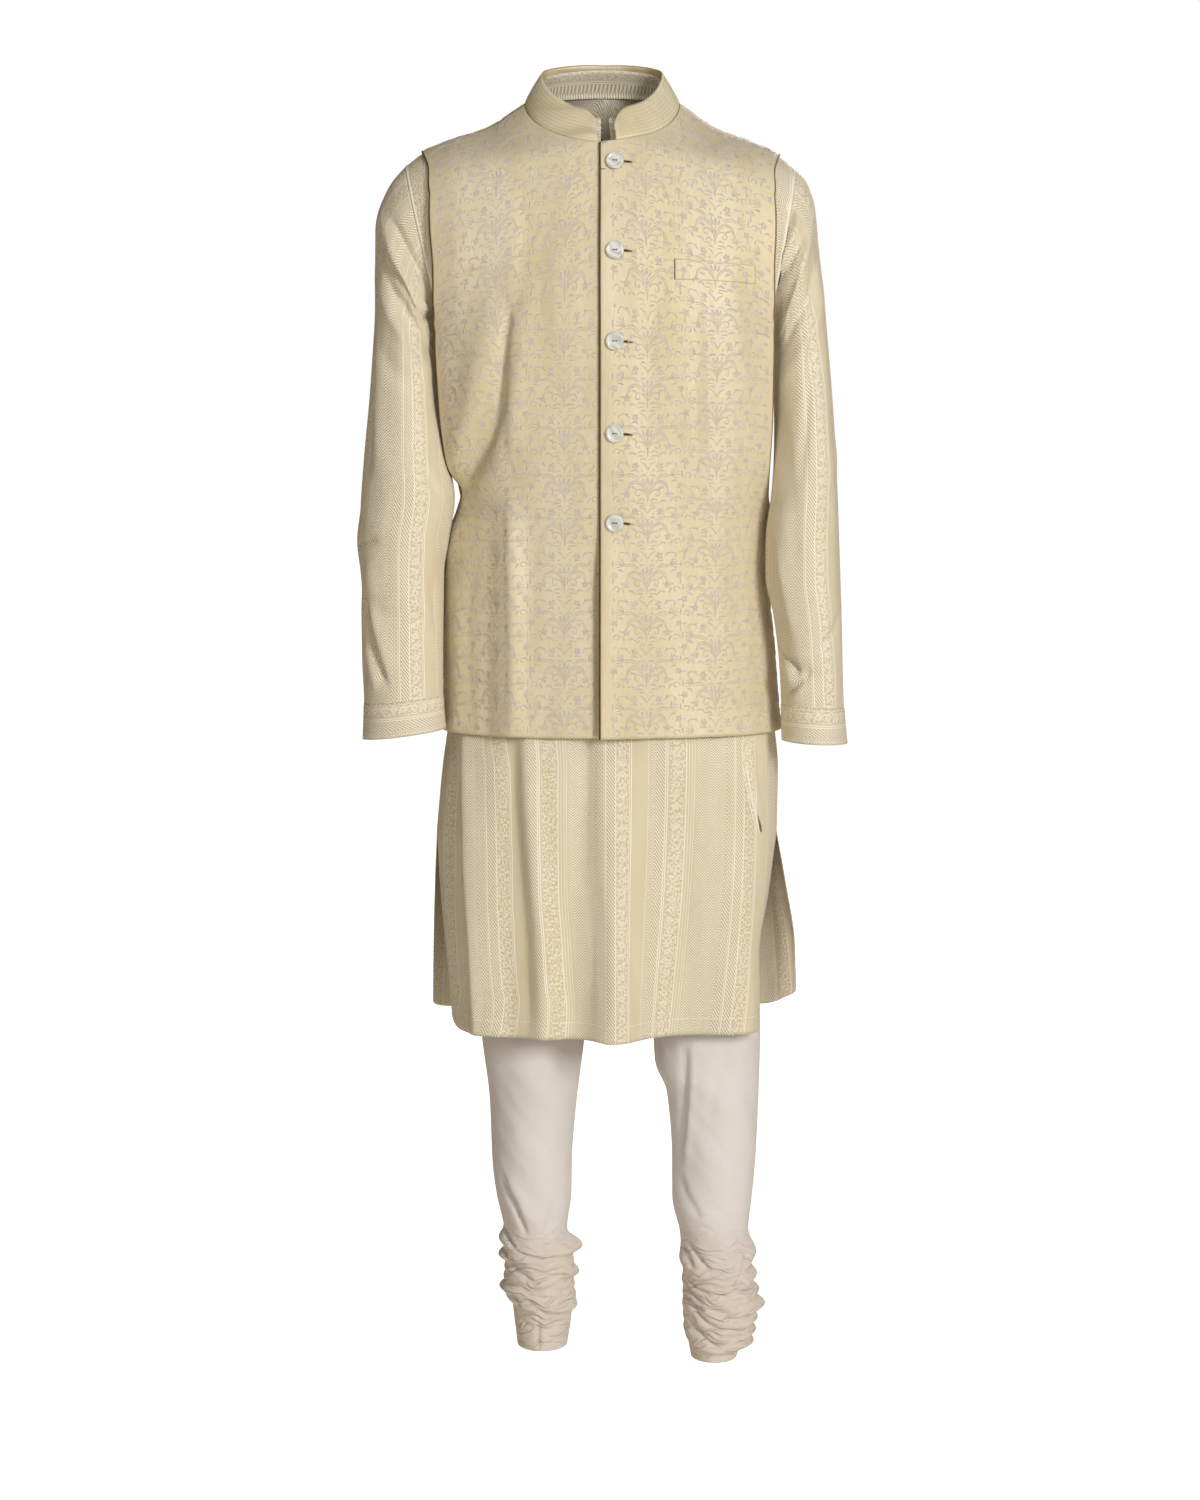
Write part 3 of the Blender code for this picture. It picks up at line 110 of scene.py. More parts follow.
# Jacket details; each front laps over the middle by its own width
LAPS = {LEFT: 0.0070, RIGHT: 0.0220}
LAP_SCALE = 3.0
TOP_FRONT_RAISE = 0.0034
RAISE_REACH = 0.028
RAISE_FADE = 0.035
RAISE_TURN = (2.0, 0.6)
LIFT_POWER = 3
BACK_LIFT = 0.45
DEEPEST_HOLLOW = -0.012
COLLAR_HEIGHT = 0.0338
COLLAR_LEAN = 0.0195
COLLAR_LEAN_POWER = 1.2
COLLAR_END_RADIUS = 0.024
COLLAR_END_HEIGHT = 0.30
COLLAR_FRONT_TURN = 20.0
COLLAR_TUCK_IN = 0.018
COLLAR_TUCK_DOWN = 0.0030
COLLAR_SEAT = 0.0006
COLLAR_LIFT = 0.0005
JACKET_COLLAR_ENDS = (6.6, 5.6)
BAND_COLLAR_ENDS = (4.0, 4.0)
BUTTON_X = 0.0090
BUTTON_HEIGHTS = (-0.0810, -0.1790, -0.2780, -0.3790, -0.4770)
WELT_INNER_X = 0.0750
WELT_OUTER_X = 0.1650
WELT_TOP = (-0.1880, -0.1950)
WELT_BOTTOM = (-0.2110, -0.2150)
FRONT_GUESS = (0.3, 1.1)

# Kurta details
BAND_HEIGHT = 0.0280
CUFF_PROUD = 0.0006
CUFF_START = 0.942
CUFF_FADE = 0.04
SLEEVE_HEAD_FADE = 0.05

# The left edge of the kurta's back turns in below the slit
SLIT_TURN = 0.012
SLIT_TURN_EDGE = 0.13
SLIT_TURN_FROM = 0.3
SLIT_TURN_RISE = 0.5
SLIT_TURN_DROP = 0.07

# Trousers
SEAT_TOP = -0.655
SEAT_POWER = 0.6
INSEAM_X = 0.0002
HIP_SIDE_POWER = 0.9
HIP_FACE_POWER = 0.85
GATHERS_TOP = -1.27
WAISTBAND_TOP = -0.438


def table(kind, rows):
    return tuple(kind(*row) for row in rows)


Shoulder = namedtuple("Shoulder", "top_x top_z pit_x pit_z depth")
RIGHT_ARMHOLE = Shoulder(top_x=-0.2265, top_z=-0.0812, pit_x=-0.1855, pit_z=ARMPIT, depth=0.062)
LEFT_ARMHOLE = Shoulder(top_x=0.2140, top_z=-0.0850, pit_x=0.1830, pit_z=ARMPIT, depth=0.062)

# How far forward and back the middle of the body stands, from the hem up to the neck
Middle = namedtuple("Middle", "z front back")
MIDDLES = table(Middle, (
    (HEM, -0.108, 0.118),
    (-0.96, -0.112, 0.121),
    (-0.84, -0.118, 0.123),
    (-0.72, -0.121, 0.122),
    (-0.62, -0.116, 0.117),
    (-0.5, -0.112, 0.106),
    (-0.36, -0.113, 0.106),
    (-0.26, -0.113, 0.112),
    (-0.19, -0.108, 0.115),
    (-0.12, -0.093, 0.108),
    (NECK_FRONT[1], NECK_FRONT[0], 0.086),
    (NECK_BACK[1], -0.04, NECK_BACK[0]),
))

# Where the side seams hang, and how square the body is in plan
Side = namedtuple("Side", "z right left square")
SIDES = table(Side, (
    (SLIT_TOP, -0.195, 0.1965, 2.7),
    (-0.76, -0.188, 0.1975, 2.6),
    (-0.715, -0.182, 0.1935, 2.5),
    (-0.687, -0.18, 0.19, 2.4),
    (-0.617, -0.1795, 0.1838, 2.4),
    (-0.57, -0.1795, 0.1785, 2.4),
    (-0.52, -0.1795, 0.175, 2.4),
    (-0.495, -0.1745, 0.176, 2.4),
    (-0.465, -0.1645, 0.1775, 2.4),
    (-0.44, -0.168, 0.179, 2.4),
    (-0.41, -0.1765, 0.18, 2.4),
    (-0.36, -0.1812, 0.1812, 2.4),
    (-0.3, -0.1842, 0.1822, 2.4),
    (ARMPIT, -0.1855, 0.183, 2.4),
))

# Below the side slits each panel has its own edges
Slit = namedtuple("Slit", "z right_x right_y left_x left_y square right_rise left_rise")
FRONT_SLITS = table(Slit, (
    (HEM, -0.1775, -0.026, 0.1755, -0.04, 3.2, 0.013, 0.001),
    (-0.97, -0.1845, -0.018, 0.1755, -0.034, 3.1, 0.004, 0),
    (-0.905, -0.1905, -0.009, 0.186, -0.018, 2.9, 0, 0),
    (SLIT_TOP, -0.195, -0.0003, 0.1965, -0.0003, 2.7, 0, 0),
))
BACK_SLITS = table(Slit, (
    (HEM, -0.2035, 0.046, 0.2246, 0.055, 1.8, 0.0145, 0.026),
    (-0.98, -0.2018, 0.034, 0.2215, 0.04, 2.0, 0.006, 0.01),
    (-0.9, -0.1988, 0.016, 0.2092, 0.018, 2.4, 0.001, 0.002),
    (SLIT_TOP, -0.195, 0.0003, 0.1965, 0.0003, 2.7, 0, 0),
))

# Rise of the shoulder line over a straight one, from the neck to the arm
Rise = namedtuple("Rise", "along rise")
SHOULDER_LINE = table(Rise, (
    (0, 0), (0.29, -0.006), (0.62, 0.002), (0.85, 0.005), (1.0, 0),
))

# The jacket's armhole on the kurta's form: how far out the cloth reaches and how far it stands off
Edge = namedtuple("Edge", "up reach right_lift left_lift")
JACKET_ARMHOLE = table(Edge, (
    (0.737, 1.00, 0, 0.002), (0.765, 0.83, 0.001, 0.004), (0.815, 0.775, 0.005, 0.009),
    (0.88, 0.765, 0.012, 0.012), (1.000, 0.77, 0.014, 0.012), (1.15, 0.85, 0.013, 0.01),
    (1.3, 0.92, 0.01, 0.008), (1.5, 0.9, 0.005, 0.005), (1.7, 0.85, 0.002, 0.002), (1.85, 0.79, 0, 0),
    (2.000, 0.805, 0, 0),
))

# Clearance of the jacket from the kurta's form
Ease = namedtuple("Ease", "up ease")
JACKET_EASE = table(Ease, (
    (0.42, 0.0062), (0.6, 0.007), (0.72, 0.0066), (1.00, 0.005), (1.5, 0.0036),
    (1.8, JACKET_WALL + LAYER_GAP), (2.00, JACKET_WALL + LAYER_GAP),
))

# Long folds, each as the line it follows down the cloth; a negative "out" is a valley
Fold = namedtuple("Fold", "z x out width")


def fold_lines(**lines):
    """Named folds, each a line of places down the cloth."""
    return {name: table(Fold, rows) for name, rows in lines.items()}


JACKET_FOLDS = fold_lines(
    right_drag=(
        (-0.475, -0.178, 0, 0.012), (-0.447, -0.16, -0.006, 0.012), (-0.405, -0.139, -0.011, 0.013),
        (-0.33, -0.118, -0.009, 0.013), (-0.25, -0.105, -0.004, 0.013), (-0.205, -0.1, 0, 0.013)),
    right_drag_ridge=(
        (-0.44, -0.172, 0, 0.012), (-0.38, -0.152, 0.006, 0.014), (-0.32, -0.14, 0.005, 0.014),
        (-0.25, -0.13, 0, 0.014)),
    right_lower_ridge=(
        (-0.72, -0.106, 0.006, 0.016), (-0.54, -0.104, 0.006, 0.015), (-0.43, -0.104, 0, 0.014)),
    right_lower_hollow=(
        (-0.72, -0.138, -0.003, 0.015), (-0.54, -0.134, -0.004, 0.015), (-0.45, -0.13, 0, 0.014)),
    left_hollow=(
        (-0.72, 0.106, -0.003, 0.014), (-0.52, 0.102, -0.004, 0.013), (-0.36, 0.096, 0, 0.012)),
)
JACKET_BACK_FOLDS = fold_lines(
    right_back=(
        (-0.72, -0.085, -0.006, 0.02), (-0.52, -0.07, -0.006, 0.018), (-0.36, -0.06, 0, 0.016)),
    left_back=(
        (-0.72, 0.07, -0.005, 0.02), (-0.56, 0.06, -0.006, 0.018), (-0.42, 0.055, 0, 0.016)),
)
SKIRT_FRONT_FOLDS = fold_lines(
    middle_ridge=(
        (-1.06, 0.01, 0.036, 0.031), (-0.96, 0.006, 0.024, 0.03), (-0.85, 0.002, 0.01, 0.028),
        (-0.73, 0, 0, 0.028)),
    right_ridge=(
        (-1.06, -0.074, 0.006, 0.02), (-0.9, -0.084, 0.006, 0.018), (-0.73, -0.094, 0.002, 0.018),
        (-0.69, -0.096, 0, 0.018)),
    right_hollow=(
        (-1.06, -0.108, -0.005, 0.016), (-0.9, -0.112, -0.006, 0.016), (-0.73, -0.116, 0, 0.016)),
    middle_hollow=(
        (-1.06, -0.036, -0.004, 0.014), (-0.9, -0.034, -0.005, 0.014), (-0.76, -0.03, 0, 0.014)),
    left_flat=(
        (-1.06, 0.095, -0.022, 0.052), (-0.9, 0.1, -0.012, 0.05), (-0.74, 0.105, 0, 0.05)),
)
SKIRT_BACK_FOLDS = fold_lines(
    back_right=(
        (-1.06, -0.11, 0.01, 0.024), (-0.88, -0.105, 0.006, 0.022), (-0.74, -0.1, 0, 0.022)),
    back_middle=(
        (-1.06, -0.02, -0.014, 0.028), (-0.88, -0.018, -0.008, 0.026), (-0.74, -0.015, 0, 0.026)),
    back_left=(
        (-1.06, 0.075, 0.012, 0.026), (-0.88, 0.072, 0.007, 0.024), (-0.74, 0.07, 0, 0.024)),
)

# Sleeves, from the armhole down: the outermost and innermost point of each ring
Ring = namedtuple("Ring", "down outer_x outer_z inner_x inner_z middle_y depth")
RIGHT_SLEEVE = table(Ring, (
    (0, -0.2265, -0.0812, -0.1855, -0.262, 0, 0.062),
    (0.05, -0.2425, -0.1, -0.1872, -0.267, 0, 0.0635),
    (0.1, -0.2535, -0.123, -0.1878, -0.274, -0.001, 0.0635),
    (0.15, -0.2608, -0.154, -0.188, -0.283, -0.003, 0.0625),
    (0.21, -0.2604, -0.198, -0.1882, -0.295, -0.006, 0.061),
    (0.28, -0.261, -0.242, -0.188, -0.313, -0.01, 0.059),
    (0.35, -0.2638, -0.29, -0.1862, -0.338, -0.015, 0.057),
    (0.43, -0.2675, -0.343, -0.182, -0.372, -0.022, 0.056),
    (0.51, -0.2722, -0.396, -0.177, -0.412, -0.031, 0.055),
    (0.59, -0.276, -0.448, -0.1705, -0.452, -0.04, 0.0535),
    (0.67, -0.2804, -0.5, -0.177, -0.498, -0.047, 0.052),
    (0.73, -0.2766, -0.537, -0.1825, -0.535, -0.051, 0.0505),
    (0.8, -0.2758, -0.582, -0.1832, -0.578, -0.054, 0.049),
    (0.88, -0.275, -0.635, -0.1838, -0.629, -0.058, 0.0475),
    (CUFF_START, -0.273, -0.6805, -0.1838, -0.6715, -0.062, 0.046),
    (1.00, -0.2742, -0.7215, -0.1812, -0.7095, -0.065, 0.046),
))

LEFT_SLEEVE = table(Ring, (
    (0, 0.214, -0.085, 0.183, -0.262, 0, 0.062),
    (0.05, 0.225, -0.097, 0.185, -0.267, 0, 0.0635),
    (0.1, 0.233, -0.118, 0.1865, -0.274, -0.002, 0.0635),
    (0.15, 0.2385, -0.154, 0.1875, -0.283, -0.004, 0.0625),
    (0.21, 0.2425, -0.198, 0.1885, -0.295, -0.008, 0.061),
    (0.28, 0.247, -0.242, 0.189, -0.313, -0.013, 0.059),
    (0.35, 0.251, -0.29, 0.189, -0.338, -0.02, 0.057),
    (0.43, 0.255, -0.343, 0.1895, -0.372, -0.03, 0.056),
    (0.51, 0.258, -0.396, 0.1885, -0.412, -0.041, 0.055),
    (0.59, 0.26, -0.448, 0.185, -0.452, -0.051, 0.0535),
    (0.67, 0.2618, -0.5, 0.1792, -0.498, -0.058, 0.052),
    (0.73, 0.2632, -0.54, 0.179, -0.538, -0.061, 0.051),
    (0.8, 0.2648, -0.585, 0.188, -0.582, -0.063, 0.0495),
    (0.88, 0.2662, -0.638, 0.1945, -0.634, -0.065, 0.048),
    (CUFF_START, 0.268, -0.6845, 0.1972, -0.681, -0.066, 0.0465),
    (1.00, 0.2716, -0.7258, 0.1985, -0.7225, -0.067, 0.0465),
))

# Folds and gathers round a tube, by where they lie and how far they stand out at its inner, front,
# outer and back side, with the width of the upper and the lower slope
Band = namedtuple("Band", "at out upper lower")
RIGHT_SLEEVE_BANDS = table(Band, (
    ((0.15, 0.135, 0.11, 0.13), (0.002, 0.006, 0.001, 0.002), 0.022, 0.018),
    ((0.24, 0.2, 0.15, 0.2), (0.001, -0.006, -0.001, -0.002), 0.024, 0.02),
    ((0.3, 0.27, 0.22, 0.27), (0, 0.005, 0.001, 0.002), 0.026, 0.024),
    ((0.4, 0.36, 0.3, 0.36), (0, -0.004, 0, -0.002), 0.03, 0.028),
    ((0.7, 0.66, 0.62, 0.66), (0, 0.003, -0.001, 0.003), 0.024, 0.02),
    ((0.86, 0.81, 0.75, 0.8), (0, -0.004, -0.001, -0.003), 0.026, 0.02),
))
LEFT_SLEEVE_BANDS = table(Band, (
    ((0.16, 0.14, 0.11, 0.14), (0.001, 0.005, 0.001, 0.002), 0.022, 0.018),
    ((0.25, 0.21, 0.16, 0.21), (0.001, -0.005, -0.001, -0.002), 0.024, 0.022),
    ((0.34, 0.3, 0.24, 0.3), (0, 0.004, 0.001, 0.002), 0.028, 0.026),
    ((0.64, 0.58, 0.52, 0.58), (0, 0.003, 0.001, 0.003), 0.028, 0.024),
    ((0.84, 0.9, 0.95, 0.9), (0, -0.004, -0.001, -0.003), 0.026, 0.02),
))

# Trouser legs, from the ankle up: the tube below the crotch
Leg = namedtuple("Leg", "z inner outer front back")
RIGHT_LEG = table(Leg, (
    (-1.437, -0.045, -0.1035, -0.052, 0.022), (-1.4, -0.04, -0.108, -0.05, 0.026),
    (-1.35, -0.0405, -0.114, -0.048, 0.03), (-1.303, -0.045, -0.1185, -0.047, 0.034),
    (-1.26, -0.04, -0.128, -0.05, 0.044), (-1.223, -0.0395, -0.1325, -0.052, 0.052),
    (-1.15, -0.0336, -0.1355, -0.054, 0.06), (-1.07, -0.024, -0.1448, -0.058, 0.06),
    (-0.96, -0.017, -0.151, -0.062, 0.062), (-0.85, -0.006, -0.16, -0.074, 0.076),
    (CROTCH, -0.0002, -0.165, -0.088, 0.092),
))
LEFT_LEG = table(Leg, (
    (-1.444, 0.0985, 0.152, -0.074, -0.006), (-1.41, 0.093, 0.164, -0.074, 0),
    (-1.36, 0.091, 0.168, -0.072, 0.006), (-1.303, 0.086, 0.165, -0.07, 0.014),
    (-1.26, 0.0768, 0.1695, -0.07, 0.026), (-1.213, 0.0766, 0.174, -0.068, 0.038),
    (-1.14, 0.0706, 0.1775, -0.064, 0.05), (-1.105, 0.057, 0.1785, -0.063, 0.052),
    (-1.07, 0.0545, 0.1792, -0.062, 0.056), (-0.96, 0.04, 0.177, -0.062, 0.062),
    (-0.85, 0.014, 0.173, -0.074, 0.076), (CROTCH, 0.0002, 0.168, -0.088, 0.092),
))

# The hips above the crotch, both legs together
Hip = namedtuple("Hip", "z half front back")
HIPS = table(Hip, (
    (CROTCH, 0.166, -0.098, 0.104), (-0.68, 0.165, -0.11, 0.107), (-0.62, 0.163, -0.1148, 0.104),
    (-0.54, 0.157, -0.105, 0.093), (WAIST, 0.148, -0.097, 0.088),
))

RIGHT_GATHERS = table(Band, (
    ((-1.322, -1.322, -1.313, -1.318), (0.0165, 0.004, 0.008, 0.007), 0.009, 0.007),
    ((-1.338, -1.334, -1.332, -1.336), (0.004, 0.004, 0.01, 0.004), 0.007, 0.005),
    ((-1.353, -1.345, -1.346, -1.35), (0.0095, 0.004, 0.004, 0.006), 0.008, 0.005),
    ((-1.367, -1.358, -1.357, -1.362), (0.004, 0.005, 0.006, 0.004), 0.007, 0.005),
    ((-1.379, -1.372, -1.369, -1.374), (0.005, 0.004, 0.012, 0.007), 0.007, 0.006),
    ((-1.392, -1.388, -1.38, -1.386), (0.007, 0.006, 0.006, 0.005), 0.008, 0.005),
))
LEFT_GATHERS = table(Band, (
    ((-1.332, -1.352, -1.322, -1.336), (0.004, 0.003, 0.009, 0.006), 0.014, 0.008),
    ((-1.356, -1.362, -1.348, -1.356), (0.003, 0.006, 0.008, 0.005), 0.008, 0.006),
    ((-1.37, -1.376, -1.366, -1.372), (0.0025, 0.005, 0.01, 0.006), 0.007, 0.006),
    ((-1.384, -1.39, -1.383, -1.388), (0.0035, 0.005, 0.018, 0.008), 0.009, 0.007),
    ((-1.397, -1.404, -1.399, -1.402), (0.003, 0.005, 0.011, 0.006), 0.007, 0.006),
    ((-1.41, -1.418, -1.413, -1.416), (0.003, 0.005, 0.011, 0.005), 0.007, 0.006),
    ((-1.42, -1.43, -1.427, -1.428), (0.002, 0.006, 0.013, 0.005), 0.007, 0.004),
))


def between(values, slopes, here, part, step):
    """Values on a smooth curve, part of a step past the ones here."""
    rest = 1.0 - part
    return (
        values[here] * (1 + 2 * part) * rest**2
        + values[here + 1] * (3 - 2 * part) * part**2
        + slopes[here] * step * part * rest**2
        - slopes[here + 1] * step * part**2 * rest
    )


def read(rows, column, at, key="z"):
    """One column of a table at any place on its key column, on a smooth curve that never overshoots."""
    places = np.array([getattr(row, key) for row in rows])
    values = np.array([getattr(row, column) for row in rows])
    steps = np.diff(places)
    rates = np.diff(values) / steps
    slopes = np.concatenate([rates[:1], np.zeros(len(rates) - 1), rates[-1:]])
    same_way = rates[:-1] * rates[1:] > 0
    total = np.where(same_way, rates[:-1] + rates[1:], 1.0)
    slopes[1:-1] = np.where(same_way, 2 * rates[:-1] * rates[1:] / total, 0.0)
    at = np.clip(at, places[0], places[-1])
    here = np.clip(np.searchsorted(places, at, side="right") - 1, 0, len(steps) - 1)
    return between(values, slopes, here, (at - places[here]) / steps[here], steps[here])


def ramp(value):
    """Rises from 0 to 1 with level ends."""
    value = np.clip(value, 0.0, 1.0)
    return value * value * (3.0 - 2.0 * value)


def mix(first, second, share):
    return first + (second - first) * share


def triple(x, y, z):
    return np.stack(np.broadcast_arrays(x, y, z), axis=-1).astype(float)


def fold_depth(folds, x, z, wider=1.0):
    """How far a panel's folds push it out at each place."""
    depth = np.zeros(np.broadcast(x, z).shape)
    for line in folds.values():
        across = (x - read(line, "x", z)) / (read(line, "width", z) * wider)
        inside = (z > line[0].z - 0.001) & (z < line[-1].z + 0.001)
        depth += np.where(inside, read(line, "out", z) * np.exp(-across * across), 0.0)
    return depth


def around(values, angle):
    """A value given at the inner, front, outer and back side of a tube, at any angle round it."""
    quarters = np.mod(angle, 2 * math.pi) / (math.pi / 2)
    here = np.floor(quarters).astype(int) % 4
    sides = np.array(values)
    return mix(sides[here], sides[(here + 1) % 4], ramp(quarters - np.floor(quarters)))


def band_depth(bands, at, angle):
    """How far the folds round a tube push it out; their lower slope is the steeper one."""
    depth = np.zeros(np.broadcast(at, angle).shape)
    for band in bands:
        off = at - around(band.at, angle)
        width = np.where(off > 0, band.upper, band.lower)
        depth += around(band.out, angle) * np.exp(-((off / width) ** 2))
    return depth


def armhole_point(shoulder, face, up):
    """The kurta's armhole seam, from the pit at up 1 to the shoulder at up 2."""
    angle = math.pi * (up - 1.0)
    share = (1 - np.cos(angle)) / 2
    x = mix(shoulder.pit_x, shoulder.top_x, share)
    z = mix(shoulder.pit_z, shoulder.top_z, share)
    return triple(x, face * shoulder.depth * np.sin(angle), z)


def neck_point(face, hand, turn):
    """The kurta's neckline; turn runs from 0 at the middle of the front or back to 1 at the side."""
    angle = turn * math.pi / 2
    far_y, far_z = NECK_FRONT if face < 0 else NECK_BACK
    x = hand * (NECK_HALF_WIDTH + hand * NECK_MIDDLE_X) * np.sin(angle)
    return triple(x, far_y * np.cos(angle), mix(NECK_SIDE, far_z, np.cos(angle)))


def torso_point(face, across, up):
    """The outer face of the kurta's body.

    face is FRONT or BACK. across runs from -1 at the wearer's right edge to 1 at the left one. up runs
    from 0 at the hem through 1 at the armpits to 2 at the shoulder seam.
    """
    across, up = np.broadcast_arrays(np.asarray(across, float), np.asarray(up, float))
    neck_up = NECK_UP[face]
    slits = FRONT_SLITS if face < 0 else BACK_SLITS
    column = "front" if face < 0 else "back"
    lower = up <= 1.0
    upper_part = np.clip(up - 1.0, 0.0, 1.0)

    low_z = mix(HEM, ARMPIT, np.minimum(up, 1.0))
    neck_z = NECK_FRONT[1] if face < 0 else NECK_BACK[1]
    climb = np.clip(upper_part / (neck_up - 1.0), 0.0, 1.0)
    middle_z = np.where(lower, low_z, mix(ARMPIT, neck_z, climb))
    start = triple(0.0, read(MIDDLES, column, middle_z), middle_z)
    turn = np.clip((up - neck_up) / (2.0 - neck_up), 0.0, 1.0)

    closed = low_z >= SLIT_TOP
    square = np.where(closed, read(SIDES, "square", low_z), read(slits, "square", low_z))
    rise_column = np.where(across < 0, read(slits, "right_rise", low_z), read(slits, "left_rise", low_z))
    hem_rise = np.where(closed, 0.0, rise_column) * np.abs(across) ** HEM_CORNER_POWER

    end = np.zeros(start.shape)
    for hand, shoulder, side in ((RIGHT, RIGHT_ARMHOLE, "right"), (LEFT, LEFT_ARMHOLE, "left")):
        low_x = np.where(closed, read(SIDES, side, low_z), read(slits, side + "_x", low_z))
        low_y = np.where(closed, 0.0, read(slits, side + "_y", low_z))
        low = triple(low_x, low_y, low_z)
        side_end = np.where(lower[..., None], low, armhole_point(shoulder, face, np.maximum(up, 1.0)))
        mine = (across < 0) if hand < 0 else (across >= 0)
        end = np.where(mine[..., None], side_end, end)
        past_neck = mine & (up > neck_up)
        start = np.where(past_neck[..., None], neck_point(face, hand, turn), start)

    share = np.abs(across)
    opened = ramp(upper_part / CHEST_TURN)
    square = mix(square, CHEST_PLAN, opened)
    sweep = mix(math.pi / 2, CHEST_SWEEP, opened)
    power = 2.0 / square
    sine = np.sin(np.clip(sweep * share, 0.0, math.pi / 2)) ** power
    cosine = np.cos(np.clip(sweep * share, 0.0, math.pi / 2)) ** power
    wide = sine / np.sin(sweep) ** power
    deep = (1.0 - cosine) / (1.0 - np.maximum(np.cos(sweep), 0.0) ** power)

    x = mix(start[..., 0], end[..., 0], wide)
    y = mix(start[..., 1], end[..., 1], deep)
    z = mix(start[..., 2], end[..., 2], wide)
    z = z + read(SHOULDER_LINE, "rise", wide, key="along") * ramp(turn) + hem_rise
    full = ramp((upper_part - CHEST_FROM) / CHEST_RISE) * (1.0 - ramp(turn))
    y = y + face * (CHEST_OUT * np.sin(math.pi * share) * full)
    folds = SKIRT_FRONT_FOLDS if face < 0 else SKIRT_BACK_FOLDS
    y = y + face * fold_depth(folds, x, z) * (1.0 - share**FOLD_EDGE_POWER)
    return triple(x, y, z)


def kurta_point(face, across, up):
    """The kurta's body, which gives way under the jacket's hollows."""
    place = torso_point(face, across, up)
    folds = JACKET_FOLDS if face < 0 else JACKET_BACK_FOLDS
    hollow = np.minimum(fold_depth(folds, place[..., 0], place[..., 2], wider=GIVE_WIDTH), 0.0)
    place[..., 1] += face * GIVE_DEPTH * hollow * (1.0 - np.abs(across) ** GIVE_EDGE_POWER)
    neck_up = NECK_UP[face]
    reach_across, reach_down = KURTA_NECK_REACH
    near = ramp(1.0 - np.abs(across) / reach_across) * ramp(1.0 + (up - neck_up) / reach_down)
    away_x = NECK_MIDDLE_X - place[..., 0]
    away_y = -place[..., 1]
    distance = np.maximum(np.hypot(away_x, away_y), HAIR)
    place[..., 0] += near * KURTA_NECK_INSET * away_x / distance
    place[..., 1] += near * KURTA_NECK_INSET * away_y / distance
    place[..., 2] += near * KURTA_NECK_RISE
    return place


def torso_normal(face, across, up):
    """Unit normals of the kurta's body, measured by small steps that stay on the same half of it."""
    across, up = np.broadcast_arrays(np.asarray(across, float), np.asarray(up, float))
    step = 0.004
    low = np.clip(across - step, -1, 1)
    high = np.clip(across + step, -1, 1)
    split = up >= NECK_UP[face]
    low = np.where(split & (across > 0) & (low <= 0), HAIR, low)
    high = np.where(split & (across < 0) & (high >= 0), -HAIR, high)
    along_a = torso_point(face, high, up) - torso_point(face, low, up)
    above = torso_point(face, across, np.clip(up + step, 0, 2))
    along_u = above - torso_point(face, across, np.clip(up - step, 0, 2))
    normal = np.cross(along_a, along_u) * -face
    return normal / np.maximum(np.linalg.norm(normal, axis=-1, keepdims=True), 1e-12)


def jacket_point(face, hand, part, up):
    """The jacket's outer face, on the kurta's form and clear of it.

    part runs from 0 at the middle line or neckline to 1 at the armhole or side seam.
    """
    part, up = np.broadcast_arrays(np.asarray(part, float), np.asarray(up, float))
    neck_up = NECK_UP[face]
    turn = np.clip((up - neck_up) / (2.0 - neck_up), 0.0, 1.0)
    reach = read(JACKET_ARMHOLE, "reach", up, key="up")
    lift_column = "right_lift" if hand < 0 else "left_lift"
    lift = read(JACKET_ARMHOLE, lift_column, up, key="up") * (1.0 if face < 0 else BACK_LIFT)
    across = np.maximum(reach * part, HAIR) * hand
    base = torso_point(face, across, up)
    normal = torso_normal(face, across, up)
    clear = read(JACKET_EASE, "ease", up, key="up") + lift * np.clip(part, 0, 1) ** LIFT_POWER
    folds = JACKET_FOLDS if face < 0 else JACKET_BACK_FOLDS
    spread = fold_depth(folds, base[..., 0], base[..., 2])
    if face < 0 and hand > 0:
        near_edge = 1.0 - ramp((np.abs(base[..., 0]) - RAISE_REACH) / RAISE_FADE)
        faster, later = RAISE_TURN
        clear = clear + TOP_FRONT_RAISE * near_edge * (1 - ramp(turn * faster - later))
    return base + normal * (clear + np.maximum(spread, DEEPEST_HOLLOW))[..., None]


SPOT_ROUNDS = 14
SPOT_STEP = 1e-4
SPOT_STRIDE = 0.1
SPOT_RANGES = ((0.001, 0.999), (0.43, 1.95))


def spot(surface, guess, x, z):
    """Where a surface of (a, b) has this x and z, found by Newton's steps from the guess."""
    a = np.full(np.shape(x), guess[0], float)
    b = np.full(np.shape(x), guess[1], float)
    for _ in range(SPOT_ROUNDS):
        here = surface(a, b)
        along_a = (surface(a + SPOT_STEP, b) - here) / SPOT_STEP
        along_b = (surface(a, b + SPOT_STEP) - here) / SPOT_STEP
        miss_x = x - here[..., 0]
        miss_z = z - here[..., 2]
        size = along_a[..., 0] * along_b[..., 2] - along_a[..., 2] * along_b[..., 0]
        move_a = (miss_x * along_b[..., 2] - miss_z * along_b[..., 0]) / size
        move_b = (miss_z * along_a[..., 0] - miss_x * along_a[..., 2]) / size
        a = np.clip(a + np.clip(move_a, -SPOT_STRIDE, SPOT_STRIDE), *SPOT_RANGES[0])
        b = np.clip(b + np.clip(move_b, -SPOT_STRIDE, SPOT_STRIDE), *SPOT_RANGES[1])
    return a, b


